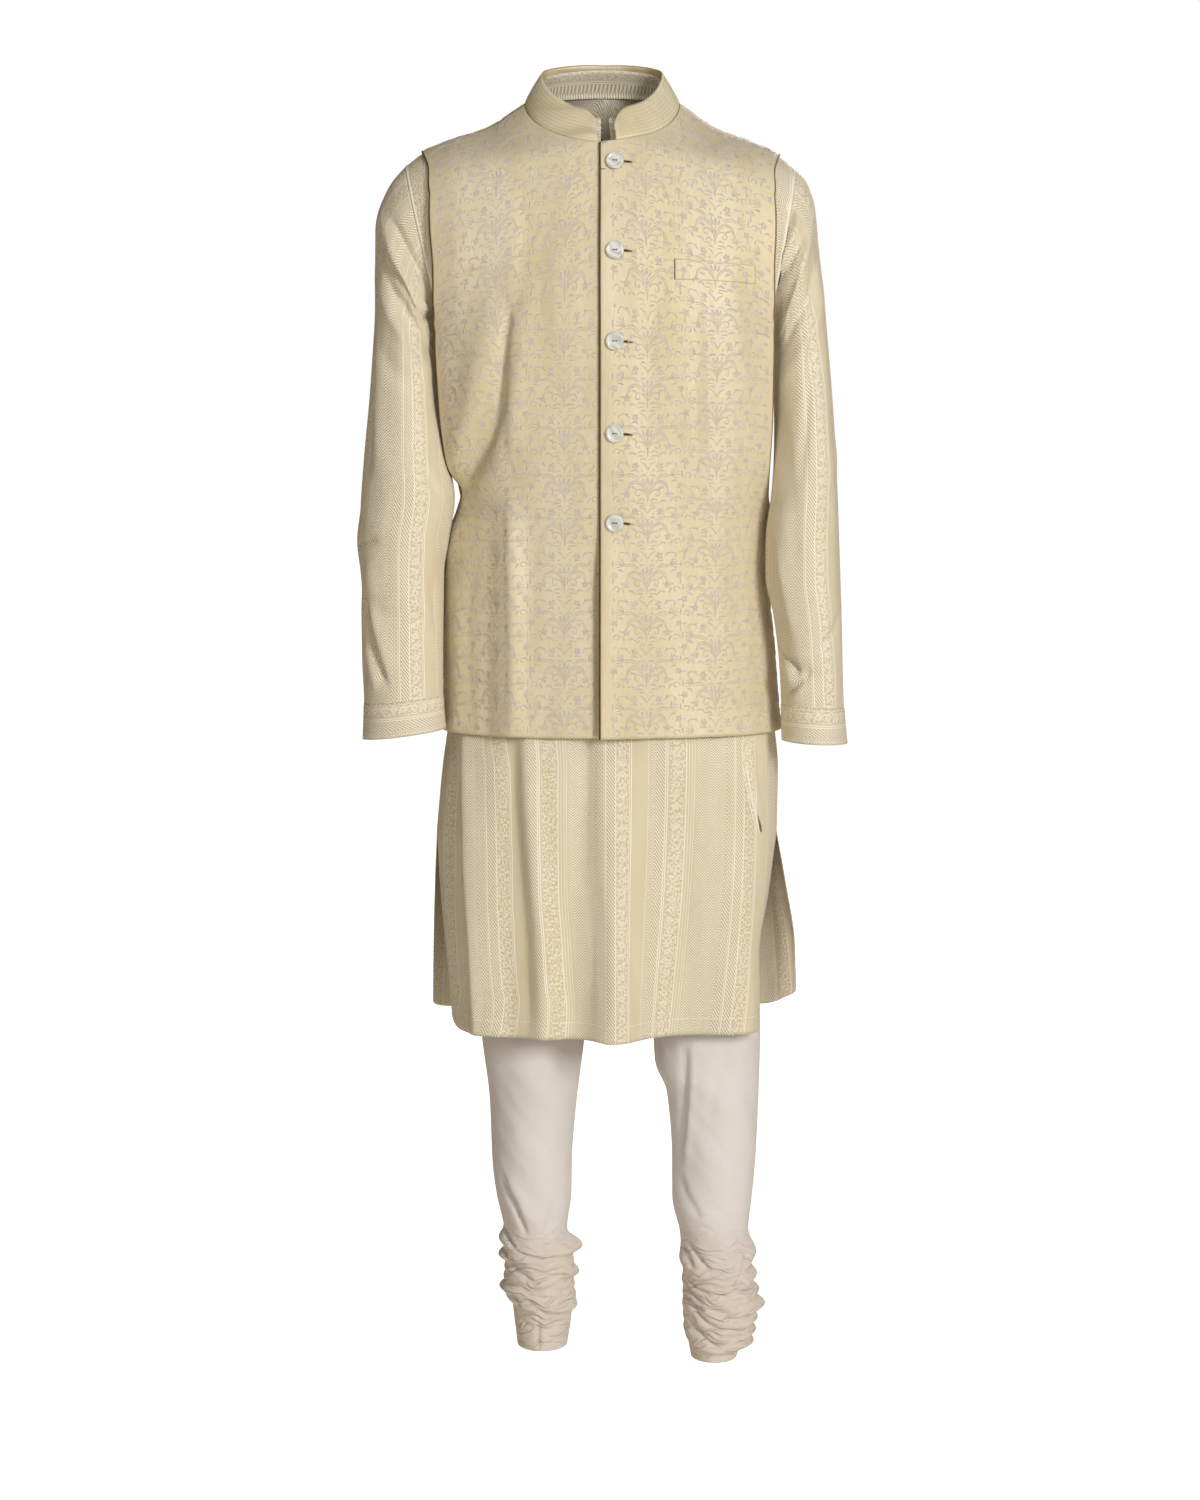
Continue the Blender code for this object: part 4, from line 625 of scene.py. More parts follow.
def front_cloth(x, z, proud):
    """Points of the jacket's left front at the given x and z, moved out, and the cloth's normals there."""
    def surface(part, up):
        return jacket_point(FRONT, LEFT, part, up)

    part, up = spot(surface, FRONT_GUESS, np.asarray(x, float), np.asarray(z, float))
    step = 0.01
    along_a = surface(part + step, up) - surface(part, up)
    along_b = surface(part, up + step) - surface(part, up)
    normal = np.cross(along_a, along_b)
    normal = normal / np.linalg.norm(normal, axis=-1, keepdims=True)
    return surface(part, up) + normal * np.asarray(proud)[..., None], normal


def neckline(layer, hand):
    """Turns in degrees from the front to the back, and the panels' neckline points there."""
    back_turns = NECK_TURNS[::-1][1:]
    turns = np.concatenate([90.0 * NECK_TURNS, 180.0 - 90.0 * back_turns])
    points = []
    for face, shares in ((FRONT, NECK_TURNS), (BACK, back_turns)):
        ups = mix(NECK_UP[face], 2.0, shares)
        if layer == "jacket":
            points.append(jacket_point(face, hand, 0.0, ups))
        else:
            points.append(kurta_point(face, hand * HAIR, ups))
    return turns, np.concatenate(points)


def collar_point(layer, turn, rise):
    """A stand collar on the panels' neckline; turn is in degrees from the front, the left side positive."""
    turn, rise = np.broadcast_arrays(np.asarray(turn, float), np.asarray(rise, float))
    base = np.zeros(turn.shape + (3,))
    for hand in (RIGHT, LEFT):
        turns, points = neckline(layer, hand)
        mine = turn * hand > 0
        for axis in range(3):
            line = np.interp(np.abs(turn), turns, points[:, axis])
            base[..., axis] = np.where(mine, line, base[..., axis])
    height = COLLAR_HEIGHT if layer == "jacket" else BAND_HEIGHT
    full = height
    if layer == "jacket":
        from_end = np.abs(turn) - np.where(turn > 0, *JACKET_COLLAR_ENDS)
        along = from_end * math.radians(1.0) * NECK_HALF_WIDTH / COLLAR_END_RADIUS
        rounded = np.sqrt(1.0 - (1.0 - np.clip(along, 0.0, 1.0)) ** 2)
        height = height * mix(COLLAR_END_HEIGHT, 1.0, rounded)
    lean = COLLAR_LEAN * (full / COLLAR_HEIGHT) * (height * rise / full) ** COLLAR_LEAN_POWER
    middle = np.array([NECK_MIDDLE_X, 0.0])
    inward = middle - base[..., :2]
    inward = inward / np.linalg.norm(inward, axis=-1, keepdims=True)
    base[..., :2] += inward * (COLLAR_SEAT + lean)[..., None]
    base[..., 2] += COLLAR_LIFT + height * rise
    return base


def sleeve_point(rings, bands, angle, down, proud=0.0):
    """A sleeve's outer face; angle runs from the inner side through the front, the outer side, the back."""
    outer_x, outer_z, inner_x, inner_z, middle_y, depth = [
        read(rings, column, down, key="down") for column in Ring._fields[1:]]
    share = (1 - np.cos(angle)) / 2
    half = np.hypot(outer_x - inner_x, outer_z - inner_z) / 2
    fade = ramp(down / SLEEVE_HEAD_FADE), ramp((CUFF_START - down) / CUFF_FADE)
    fold = band_depth(bands, down, angle) * fade[0] * fade[1] + proud
    along_x = -np.cos(angle) * (outer_x - inner_x) / (2 * half)
    along_z = -np.cos(angle) * (outer_z - inner_z) / (2 * half)
    x = mix(inner_x, outer_x, share) + along_x * fold
    z = mix(inner_z, outer_z, share) + along_z * fold
    y = middle_y - (depth + fold) * np.sin(angle)
    return triple(x, y, z)


def leg_point(hand, angle, z):
    """A leg's outer face; angle runs from the inseam through the front, the outer side and the back."""
    rows = RIGHT_LEG if hand < 0 else LEFT_LEG
    gathers = RIGHT_GATHERS if hand < 0 else LEFT_GATHERS
    low_z = np.minimum(z, CROTCH)
    inner, outer, front, back = [read(rows, column, low_z) for column in Leg._fields[1:]]
    fold = band_depth(gathers, z, angle)
    half_x = np.abs(outer - inner) / 2 + fold
    half_y = (back - front) / 2 + fold
    x = (inner + outer) / 2 - hand * half_x * np.cos(angle)
    y = (front + back) / 2 - half_y * np.sin(angle)
    hip_angle = angle / 2
    hip_half = read(HIPS, "half", z)
    hip_x = hand * mix(INSEAM_X, hip_half, np.sin(hip_angle) ** HIP_SIDE_POWER)
    hip_back = np.where(np.cos(hip_angle) > 0, read(HIPS, "front", z), read(HIPS, "back", z))
    hip_y = hip_back * np.abs(np.cos(hip_angle)) ** HIP_FACE_POWER
    seat = ramp((z - CROTCH) / (SEAT_TOP - CROTCH)) ** SEAT_POWER
    return triple(mix(x, hip_x, seat), mix(y, hip_y, seat), z)


def waistband_point(angle, z):
    """The waistband, all round at hip level; angle 0 is the middle of the front."""
    half = read(HIPS, "half", WAIST)
    far = np.where(np.cos(angle) > 0, read(HIPS, "front", WAIST), read(HIPS, "back", WAIST))
    sine = np.sin(angle)
    x = np.sign(sine) * half * np.abs(sine) ** HIP_SIDE_POWER
    return triple(x, far * np.abs(np.cos(angle)) ** HIP_FACE_POWER, z)


def jacket_lap_point(hand, share, up):
    """The strip of a front that reaches over the middle line, on the other half of the form."""
    beyond = LAPS[hand] * share
    across = -hand * np.maximum(beyond * LAP_SCALE, HAIR)
    base = torso_point(FRONT, across, up)
    base[..., 0] = -hand * beyond
    clear = read(JACKET_EASE, "ease", up, key="up") + (TOP_FRONT_RAISE if hand > 0 else 0.0)
    return base + torso_normal(FRONT, across, up) * clear[..., None]


WEAVE_MAP = "cloth"
THREAD_GAP = 0.00004


def lengths_along(places):
    """How far along a line each of its places lies."""
    steps = np.linalg.norm(np.diff(places, axis=0), axis=1)
    return np.concatenate([[0.0], np.cumsum(steps)])


def unit(vectors):
    return vectors / np.maximum(np.linalg.norm(vectors, axis=-1, keepdims=True), 1e-12)


class Cloth:
    """Rows and columns of points on a piece of cloth, with its flat lengths across and up it."""

    def __init__(self, points, start=None, hand=1.0, flip=False):
        steps = np.linalg.norm(np.diff(points, axis=1), axis=2)
        across = np.concatenate([np.zeros((len(points), 1)), np.cumsum(steps, axis=1)], axis=1)
        if start is not None:
            across = across + start[:, None]
        across = across * hand
        rises = np.median(np.linalg.norm(np.diff(points, axis=0), axis=2), axis=1)
        self.up = np.concatenate([[0.0], np.cumsum(rises)])
        if flip:
            points, across = points[:, ::-1], across[:, ::-1]
        self.points = points
        self.across = across

    def area(self):
        below, above = self.points[:-1], self.points[1:]
        wide = (above[:, 1:] + below[:, 1:] - above[:, :-1] - below[:, :-1]) / 2
        high = (above[:, 1:] + above[:, :-1] - below[:, 1:] - below[:, :-1]) / 2
        return float(np.linalg.norm(np.cross(wide, high), axis=2).sum())

    def normals(self, closed=False):
        """Unit normals at every point; a closed tube's first and last column are the same line."""
        points = self.points
        if closed:
            ring = points[:, :-1]
            wide = np.roll(ring, -1, axis=1) - np.roll(ring, 1, axis=1)
            wide = np.concatenate([wide, wide[:, :1]], axis=1)
        else:
            wide = np.gradient(points, axis=1)
        return unit(np.cross(wide, np.gradient(points, axis=0)))

    def lay(self, across, up, proud=THREAD_GAP, margin=0.0):
        """Places on the cloth at flat lengths across and up it, moved out, the normals there, and which
        of them are inside its margin."""
        rows = np.clip(np.interp(up, self.up, np.arange(len(self.up))), 0, len(self.up) - 1.001)
        low = np.floor(rows).astype(int)
        part = (rows - low)[..., None]
        ascending = self.across[0, -1] > self.across[0, 0]
        flat = self.across if ascending else self.across[:, ::-1]
        points = self.points if ascending else self.points[:, ::-1]
        normals = self.normals() if ascending else self.normals()[:, ::-1]
        span = 10.0
        keys = (flat + np.arange(len(flat))[:, None] * span).ravel()
        count = flat.shape[1]

        def along(row):
            before = np.searchsorted(keys, across + row * span) - 1
            column = np.clip(before - row * count, 0, count - 2)
            first, second = flat[row, column], flat[row, column + 1]
            share = np.clip((across - first) / np.maximum(second - first, 1e-9), 0.0, 1.0)[..., None]
            return (
                mix(points[row, column], points[row, column + 1], share),
                mix(normals[row, column], normals[row, column + 1], share),
            )

        low_place, low_normal = along(low)
        high_place, high_normal = along(low + 1)
        place = mix(low_place, high_place, part)
        normal = unit(mix(low_normal, high_normal, part))
        inside = (up > self.up[0] + margin) & (up < self.up[-1] - margin)
        for row in (low, low + 1):
            inside &= (across > flat[row, 0] + margin) & (across < flat[row, -1] - margin)
        return place + normal * proud, normal, inside


def flat_spot(cloth, x, z):
    """The flat lengths across and up a cloth at the place seen at x and z from the front."""
    off = np.hypot(cloth.points[..., 0] - x, cloth.points[..., 2] - z)
    row, column = np.unravel_index(off.argmin(), off.shape)
    place = cloth.points[row, column]
    return cloth.across[row, column] + x - place[0], cloth.up[row] + z - place[2]


Crease = namedtuple("Crease", "line out near far")
CREASE_ENDS = 0.22


def crease_depth(creases, x, z):
    """How far creases, drawn as lines seen from the front, push the cloth out.

    Creases are in millimetres. near and far are their widths, which for a line drawn downwards lie to
    its right and left.
    """
    depth = np.zeros(np.shape(x))
    for crease in creases:
        line = np.array(crease.line) / MILLIMETRES
        lengths = np.linalg.norm(np.diff(line, axis=0), axis=1)
        total = lengths.sum()
        best = np.full(np.shape(x), 1e9)
        where = np.zeros(np.shape(x))
        side = np.zeros(np.shape(x))
        gone = 0.0
        for first, second, length in zip(line[:-1], line[1:], lengths):
            way = (second - first) / length
            from_x, from_z = x - first[0], z - first[1]
            along = np.clip(from_x * way[0] + from_z * way[1], 0.0, length)
            off_x, off_z = from_x - along * way[0], from_z - along * way[1]
            off = np.hypot(off_x, off_z)
            closer = off < best
            best = np.where(closer, off, best)
            where = np.where(closer, (gone + along) / total, where)
            side = np.where(closer, way[0] * off_z - way[1] * off_x, side)
            gone += length
        width = np.where(side > 0, crease.near, crease.far) / MILLIMETRES
        ends = ramp(where / CREASE_ENDS) * ramp((1.0 - where) / CREASE_ENDS)
        depth += crease.out / MILLIMETRES * ends * np.exp(-((best / width) ** 2))
    return depth


def grid(mesh, points):
    """A grid of faces through rows and columns of points."""
    rows, columns = points.shape[:2]
    made = bmesh.ops.create_grid(mesh, x_segments=columns - 1, y_segments=rows - 1, size=0.5)
    for vertex, place in zip(made["verts"], points.reshape(-1, 3)):
        vertex.co = place


def add_object(name, data):
    made = bpy.data.objects.new(name, data)
    bpy.context.scene.collection.objects.link(made)
    return made


def add_piece(name, mesh, looks, spots=None, joined=False):
    """The object of a mesh; spots are the flat places of its points, which its weave follows."""
    data = bpy.data.meshes.new(name)
    mesh.to_mesh(data)
    if spots is not None:
        corners = np.zeros(len(data.loops), int)
        data.loops.foreach_get("vertex_index", corners)
        weave = data.uv_layers.new(name=WEAVE_MAP)
        weave.data.foreach_set("uv", spots[corners].astype(np.float32).ravel())
    if joined:
        mesh.clear()
        mesh.from_mesh(data)
        bmesh.ops.remove_doubles(mesh, verts=mesh.verts, dist=JOIN_DISTANCE)
        mesh.to_mesh(data)
    mesh.free()
    data.shade_smooth()
    for look in looks:
        data.materials.append(look)
    made = add_object(name, data)
    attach(made, "root")
    return made


LEAST_AREA_SHARE = 0.3


def dress(name, cloths, wall, looks, node, measured=None):
    """One piece of cloth in place of its solid; it works out the flat size the piece is cut to but keeps it
    nowhere.

    Its cloths join where their edges meet, and its wall stands inside its outer face. measured is for
    a piece whose flat size leaves some of its cloths out.
    """
    mesh = bmesh.new()
    spots = []
    for cloth in cloths:
        grid(mesh, cloth.points)
        up = np.broadcast_to(cloth.up[:, None], cloth.across.shape)
        spots.append(np.stack([cloth.across, up], axis=-1).reshape(-1, 2))
    made = add_piece(name, mesh, looks, np.concatenate(spots), joined=True)
    shell = made.modifiers.new("wall", "SOLIDIFY")
    shell.thickness = wall
    shell.offset = -1.0
    shell.use_quality_normals = True
    # The last look colours the rims of the wall; on the jacket it is the edge look, painted edge shade.
    shell.material_offset_rim = len(looks) - 1
    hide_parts(node)
    parts = measured or cloths
    width = max(part.across.max() for part in parts) - min(part.across.min() for part in parts)
    length = max(part.up[-1] - part.up[0] for part in parts)
    area = sum(part.area() for part in parts)
    area = min(max(area, LEAST_AREA_SHARE * width * length), width * length)


EVEN_ROUNDS = 30
EDGE_KEEP_POWER = 10
MIDDLE_KEEP = 4
NECK_EVENING = 0.2


def even_out(points, rows, keep, at=1.0, below=0.05, above=0.16):
    """Evens out the turn of a panel near one of its rows, less where keep nears 1."""
    off = np.where(rows < at, (at - rows) / below, (rows - at) / above)
    weight = ramp(1.0 - off)[:, None, None] * (1.0 - keep)[None, :, None]
    for _ in range(EVEN_ROUNDS):
        even = points.copy()
        even[1:-1] = (points[:-2] + 2 * points[1:-1] + points[2:]) / 4
        points = mix(points, even, weight)
    return points


def panel_half(surface, face, hand, across, rows, keep=0.0, creases=()):
    """Half of a front or back, from the middle line or neckline to the armhole or side."""
    wide, high = np.meshgrid(across, rows)
    edge = across**EDGE_KEEP_POWER
    points = even_out(surface(wide, high), rows, keep * edge)
    kept = np.maximum(ramp(1.0 - across * MIDDLE_KEEP), edge)
    points = even_out(points, rows, kept, NECK_UP[FRONT], NECK_EVENING, NECK_EVENING)
    start = np.abs(points[:, 0, 0])
    if len(creases):
        normal = Cloth(points).normals() * -face * hand
        push = crease_depth(creases, points[..., 0], points[..., 2]) * (1.0 - wide**EDGE_KEEP_POWER)
        points = points + normal * push[..., None]
    return Cloth(points, start, float(hand), flip=face * hand > 0)


def stretches(stops, counts):
    """Places between stops, evenly spaced in each stretch, with so many in it."""
    parts = [np.linspace(*stops[i:i + 2], count)[min(i, 1):] for i, count in enumerate(counts)]
    return np.concatenate(parts)


def body_rows(face, hem, counts):
    """The rows of a body panel from its hem over the armpits and the neck to the shoulder."""
    return stretches((hem, 1.0, NECK_UP[face], 2.0), counts)


# Rows of a body panel below the armpits, up to the neck and up to the shoulder, and columns of its half
KURTA_ROWS = (158, 38, 30)
KURTA_COLUMNS = {FRONT: 60, BACK: 44}
JACKET_ROWS = (120, 44, 34)


def outer_column(hand):
    """The column of a front's half at its side; on a back's half it is the one at the middle."""
    return 0 if hand == RIGHT else -1


def inner_column(hand):
    """The column of a front's half at the middle; on a back's half it is the one at the side."""
    return -1 if hand == RIGHT else 0


def kurta_panel(face, creases):
    """Both halves of the kurta's front or back."""
    rows = body_rows(face, 0.0, KURTA_ROWS)
    halves = []
    columns = np.linspace(0.0, 1.0, KURTA_COLUMNS[face])
    for hand in (RIGHT, LEFT):
        def surface(share, up, hand=hand):
            points = kurta_point(face, np.maximum(share, HAIR) * hand, up)
            if face == BACK and hand == LEFT:
                turned = ramp((1.0 - share) / SLIT_TURN_EDGE)
                turned = turned * ramp((share - SLIT_TURN_FROM) / SLIT_TURN_RISE)
                points[..., 0] -= SLIT_TURN * turned * ramp((SLIT_TOP - points[..., 2]) / SLIT_TURN_DROP)
            return points

        halves.append(panel_half(surface, face, hand, columns, rows, keep=1.0, creases=creases))
    whole = rows <= NECK_UP[face] + HAIR
    at_middle = inner_column if face == FRONT else outer_column
    right, left = at_middle(RIGHT), at_middle(LEFT)
    middle = (halves[0].points[whole, right] + halves[1].points[whole, left]) / 2
    halves[0].points[whole, right] = middle
    halves[1].points[whole, left] = middle
    return halves


CREASE_FACING = 2.2


def tube(surface, angles, heights, hand, creases=()):
    """A sleeve or leg with creases on its front and back; lengths across run from its middle front.

    creases are seen from the front, those of the back mirrored by hand.
    """
    turn, height = np.meshgrid(angles, heights)
    cloth = Cloth(surface(turn, height), flip=hand == RIGHT)
    normal = cloth.normals(closed=True)
    points = cloth.points
    push = np.zeros(points.shape[:2])
    for face, lines in creases:
        facing = ramp(normal[..., 1] * face * CREASE_FACING)
        push += crease_depth(lines, points[..., 0], points[..., 2]) * facing
    cloth = Cloth(points + normal * push[..., None])
    quarter = len(angles) // 4
    front = len(angles) - 1 - quarter if hand == RIGHT else quarter
    cloth.across = cloth.across - cloth.across[:, front:front + 1]
    return cloth


def hem_up():
    """Where the jacket ends, on the scale that runs from the kurta's hem to its armpits."""
    return (JACKET_HEM - HEM) / (ARMPIT - HEM)


def wrap_turn(turn):
    return np.where(turn > 180, turn - 360, turn)


COLLAR_COLUMNS = (14, 130, 14)


def collar_cloth(layer, ends, rows):
    """A stand collar, with one more row below that is tucked inside the neckline it is sewn to."""
    turns = (ends[0], COLLAR_FRONT_TURN, 360.0 - COLLAR_FRONT_TURN, 360.0 - ends[1])
    wide, high = np.meshgrid(stretches(turns, COLLAR_COLUMNS), np.linspace(0.0, 1.0, rows))
    points = collar_point(layer, wrap_turn(wide), high)
    under = mix(points[0], np.array([NECK_MIDDLE_X, 0.0, 0.0]), COLLAR_TUCK_IN)
    under[:, 2] = points[0, :, 2] - COLLAR_TUCK_DOWN
    return Cloth(np.concatenate([under[None], points]))


STITCH_RISE = 0.0003
STITCH_SHAPE = np.array([0.2, 1.0, 0.2])
THREAD_STEP = 0.0014


class Threads:
    """Domed strips of thread laid along lines, gathered into one object."""

    def __init__(self):
        self.strips = []

    def add(self, places, normals, widths, rise):
        """One strip along places; widths and rise are its width and height at each of them."""
        count = len(places)
        side = unit(np.cross(normals, np.gradient(places, axis=0)))
        half = (np.broadcast_to(widths, count) / 2)[:, None]
        high = np.broadcast_to(rise, count)[:, None]
        length = lengths_along(places)
        self.strips.append((places - side * half, places + normals * high, places + side * half, length))

    def make(self, name, look):
        *sides, length = [np.concatenate(part) for part in zip(*self.strips)]
        count = len(length)
        mesh = bmesh.new()
        grid(mesh, np.stack(sides))
        mesh.verts.index_update()
        breaks = np.zeros(count, bool)
        breaks[np.cumsum([len(strip[3]) for strip in self.strips])[:-1] - 1] = True
        bridges = [face for face in mesh.faces if breaks[min(v.index % count for v in face.verts)]]
        bmesh.ops.delete(mesh, geom=bridges, context="FACES_ONLY")
        spots = np.stack([np.repeat([0.0, 0.5, 1.0], count), np.tile(length, 3)], axis=1)
        return add_piece(name, mesh, [look], spots)

    def lay(self, cloth, lines, margin):
        """Lines of thread on a cloth, each its flat places, widths and rise, but none that would leave it."""
        spots = np.concatenate([line[0] for line in lines])
        places, normals, inside = cloth.lay(*spots.T, margin=margin)
        last = 0
        for flat, widths, rise in lines:
            here = slice(last, last + len(flat))
            last += len(flat)
            if inside[here].all():
                self.add(places[here], normals[here], widths, rise)

    def run(self, places, normals, long, gap, width):
        """Running stitches along a line of places."""
        lengths = lengths_along(places)
        for first in np.arange(0.0, lengths[-1] - long, long + gap):
            at = np.linspace(first, first + long, len(STITCH_SHAPE))
            spots, ways = [np.stack([np.interp(at, lengths, line) for line in lines.T], axis=1)
                           for lines in (places, normals)]
            self.add(spots, ways, width, STITCH_SHAPE * STITCH_RISE)


def curve(points, step=THREAD_STEP):
    """A smooth line through points, with a place every step."""
    points = np.array(points, float)
    lengths = lengths_along(points)
    count = max(3, int(round(lengths[-1] / step)) + 1)
    at = np.linspace(0.0, lengths[-1], count)
    slopes = np.gradient(points, lengths, axis=0)
    here = np.clip(np.searchsorted(lengths, at, side="right") - 1, 0, len(points) - 2)
    span = (lengths[here + 1] - lengths[here])[:, None]
    return between(points, slopes, here, (at[:, None] - lengths[here][:, None]) / span, span)


# One half of an embroidered motif, in millimetres from the middle of its foot; the other half mirrors it
Stroke = namedtuple("Stroke", "width line")
MOTIF = table(Stroke, (
    (1.2, ((0, 2), (0.4, 9), (-0.3, 16), (0, 22))),
    (2.4, ((0, 24), (0, 27.5), (0, 31))),
    (2.0, ((1.6, 23), (4.4, 26), (5, 30))),
    (1.1, ((0.6, 9), (5, 15.5), (10, 17.5), (13.4, 14.5), (12.2, 10.5), (8.8, 11), (9.6, 13.4))),
    (1.1, ((0.6, 14), (6, 23.5), (14, 27), (20.5, 23.8), (22.8, 16.5))),
    (1.1, ((9, 29.5), (17, 34.5), (26, 33.5))),
    (0.9, ((26, 33.5), (27.4, 38), (29, 41.5))),
    (0.9, ((26, 33.5), (29, 37.4), (32.6, 40.6))),
    (0.9, ((26, 33.5), (30.5, 35.8), (35, 38))),
    (0.9, ((26, 33.5), (31.4, 33.8), (36.4, 34.4))),
    (0.9, ((26, 33.5), (30.4, 31.4), (34.8, 30.4))),
    (1.8, ((3, 5), (7.4, 6.8), (11, 4.6))),
    (1.6, ((13, 2.4), (17, 5.2), (21, 3.8))),
    (1.0, ((38.4, 5), (35.4, 9.4), (31.4, 8.2), (31.6, 4.4), (34.6, 4.6))),
    (1.6, ((6.2, 37), (6.8, 39.6))),
    (1.6, ((22, 46), (23.4, 48))),
    (1.5, ((36, 47), (37.2, 49))),
    (1.5, ((28, 12), (29.8, 13.4))),
    (1.0, ((0, 39.5), (3.6, 45.4), (9, 48.6))),
    (0.9, ((19.6, 42.4), (25, 46.8), (31, 46.6), (33, 43.4), (30.4, 42.6))),
    (0.8, ((2.2, 13.6), (7.2, 21.4), (14, 24.8), (19.4, 21.8), (21.0, 16.9))),
    (0.8, ((10.4, 27.6), (17.4, 32.2), (25, 31.6))),
    (2.3, ((12.6, 17.6), (15.2, 20.0), (18.2, 20.2))),
    (1.7, ((2.2, 32.4), (5.4, 33.6), (8.4, 32.2))),
    (1.6, ((10.6, 37.2), (14.4, 38.6), (18.4, 37.8))),
    (1.6, ((27.2, 25.8), (29.6, 28.2), (33.2, 27.6))),
    (1.7, ((37.8, 12.4), (38.6, 15.0), (38.2, 17.2))),
    (1.6, ((25.4, 3.0), (27.2, 6.6), (29.0, 8.0))),
    (1.3, ((4.2, 1.2), (8.4, 1.9), (12.2, 0.9))),
    (1.4, ((2.6, 50.4), (5.6, 51.4), (8.2, 50.8))),
    (1.5, ((38.0, 31.6), (39.0, 35.0), (38.4, 38.6))),
))
# Middles of the motif's flowers, and the line and width of one petal from its flower's middle
FLOWERS = ((23.2, 12.0), (13.8, 43.4), (37.0, 22.0))
FLOWER_TURN = 24
PETALS = 5
PETAL_LINE = (0.9, 2.5, 4.1)
PETAL_WIDTH = 2.2
THREAD_FULLNESS = 1.4
THREAD_ENDS = (0.14, 0.86)
THREAD_TAPER = 0.7

MOTIF_WIDTH = 0.080
MOTIF_HEIGHT = 0.053
EMBROIDERY_START = 0.0460
EMBROIDERY_RISE = 0.00055
EMBROIDERY_MARGIN = 0.0035
EMBROIDERY_SEED = 7
STROKE_SHIFT = 0.00012
STROKE_WIDTHS = (0.86, 1.12)


def motif_strokes():
    """All strokes of a motif in metres, from the middle of its foot."""
    strokes = [Stroke(stroke.width, np.array(stroke.line, float)) for stroke in MOTIF]
    for number, middle in enumerate(FLOWERS):
        for petal in range(PETALS):
            angle = math.radians(360 / PETALS * petal + 90 + FLOWER_TURN * number)
            way = np.array([math.cos(angle), math.sin(angle)])
            strokes.append(Stroke(PETAL_WIDTH, np.array(middle) + np.outer(PETAL_LINE, way)))
    for stroke in strokes:
        line = curve(stroke.line / MILLIMETRES)
        narrow = np.sin(math.pi * np.linspace(*THREAD_ENDS, len(line))) ** THREAD_TAPER
        yield line, stroke.width / MILLIMETRES * THREAD_FULLNESS * narrow


def motif_feet(cloth, chosen):
    """The feet of the motifs on a piece of cloth, every other column of them half a repeat higher."""
    hand = LEFT if cloth.across.max() > 0 else RIGHT
    reach = np.abs(cloth.across).max()
    for column in range(int(reach / chosen.motif_width) + 2):
        middle = hand * (EMBROIDERY_START + column * chosen.motif_width)
        first = (column % 2) * -0.5 * chosen.motif_height
        for foot in np.arange(first, cloth.up[-1], chosen.motif_height):
            yield middle, foot


def embroider(name, cloths, chosen, look, margin=EMBROIDERY_MARGIN):
    """Mirrored motifs in upright columns over pieces of cloth."""
    rng = np.random.default_rng(EMBROIDERY_SEED)
    threads = Threads()
    strokes = list(motif_strokes())
    wide, high = chosen.motif_width / MOTIF_WIDTH, chosen.motif_height / MOTIF_HEIGHT
    for cloth in cloths:
        lines = []
        for middle, foot in motif_feet(cloth, chosen):
            for line, widths in strokes:
                for side in (-1.0, 1.0):
                    across = middle + line[:, 0] * side * wide
                    flat = np.stack([across, foot + line[:, 1] * high], axis=1)
                    flat = flat + rng.normal(0.0, STROKE_SHIFT, 2)
                    lines.append((flat, widths * rng.uniform(*STROKE_WIDTHS), EMBROIDERY_RISE))
        threads.lay(cloth, lines, margin)
    return threads.make(name, look)


def cord(name, look, places, normals, width, rise):
    """A raised line of thread, a piped edge or a cord of painted shade along places."""
    threads = Threads()
    threads.add(places, unit(normals), width, rise)
    return threads.make(name, look)


# The kurta's stripes across one repeat, in metres from the middle of the front
STRIPE_REPEAT = 0.150
ROPE_BANDS = ((0.0002, 0.0094), (0.0560, 0.0655), (0.1380, 0.1455))
LINE_BANDS = (
    (0.0098, 0.0107), (0.0254, 0.0263), (0.0275, 0.0286), (0.0464, 0.0470), (0.0662, 0.0670),
    (0.0684, 0.0692), (0.0895, 0.0903), (0.0930, 0.0937), (0.0962, 0.0970), (0.0992, 0.0999),
    (0.1467, 0.1476), (0.1488, 0.1498),
)
CHAIN_BANDS = ((0.0112, 0.0250), (0.0712, 0.0888))
HERRINGBONE_BANDS = ((0.0470, 0.0555), (0.1015, 0.1375))


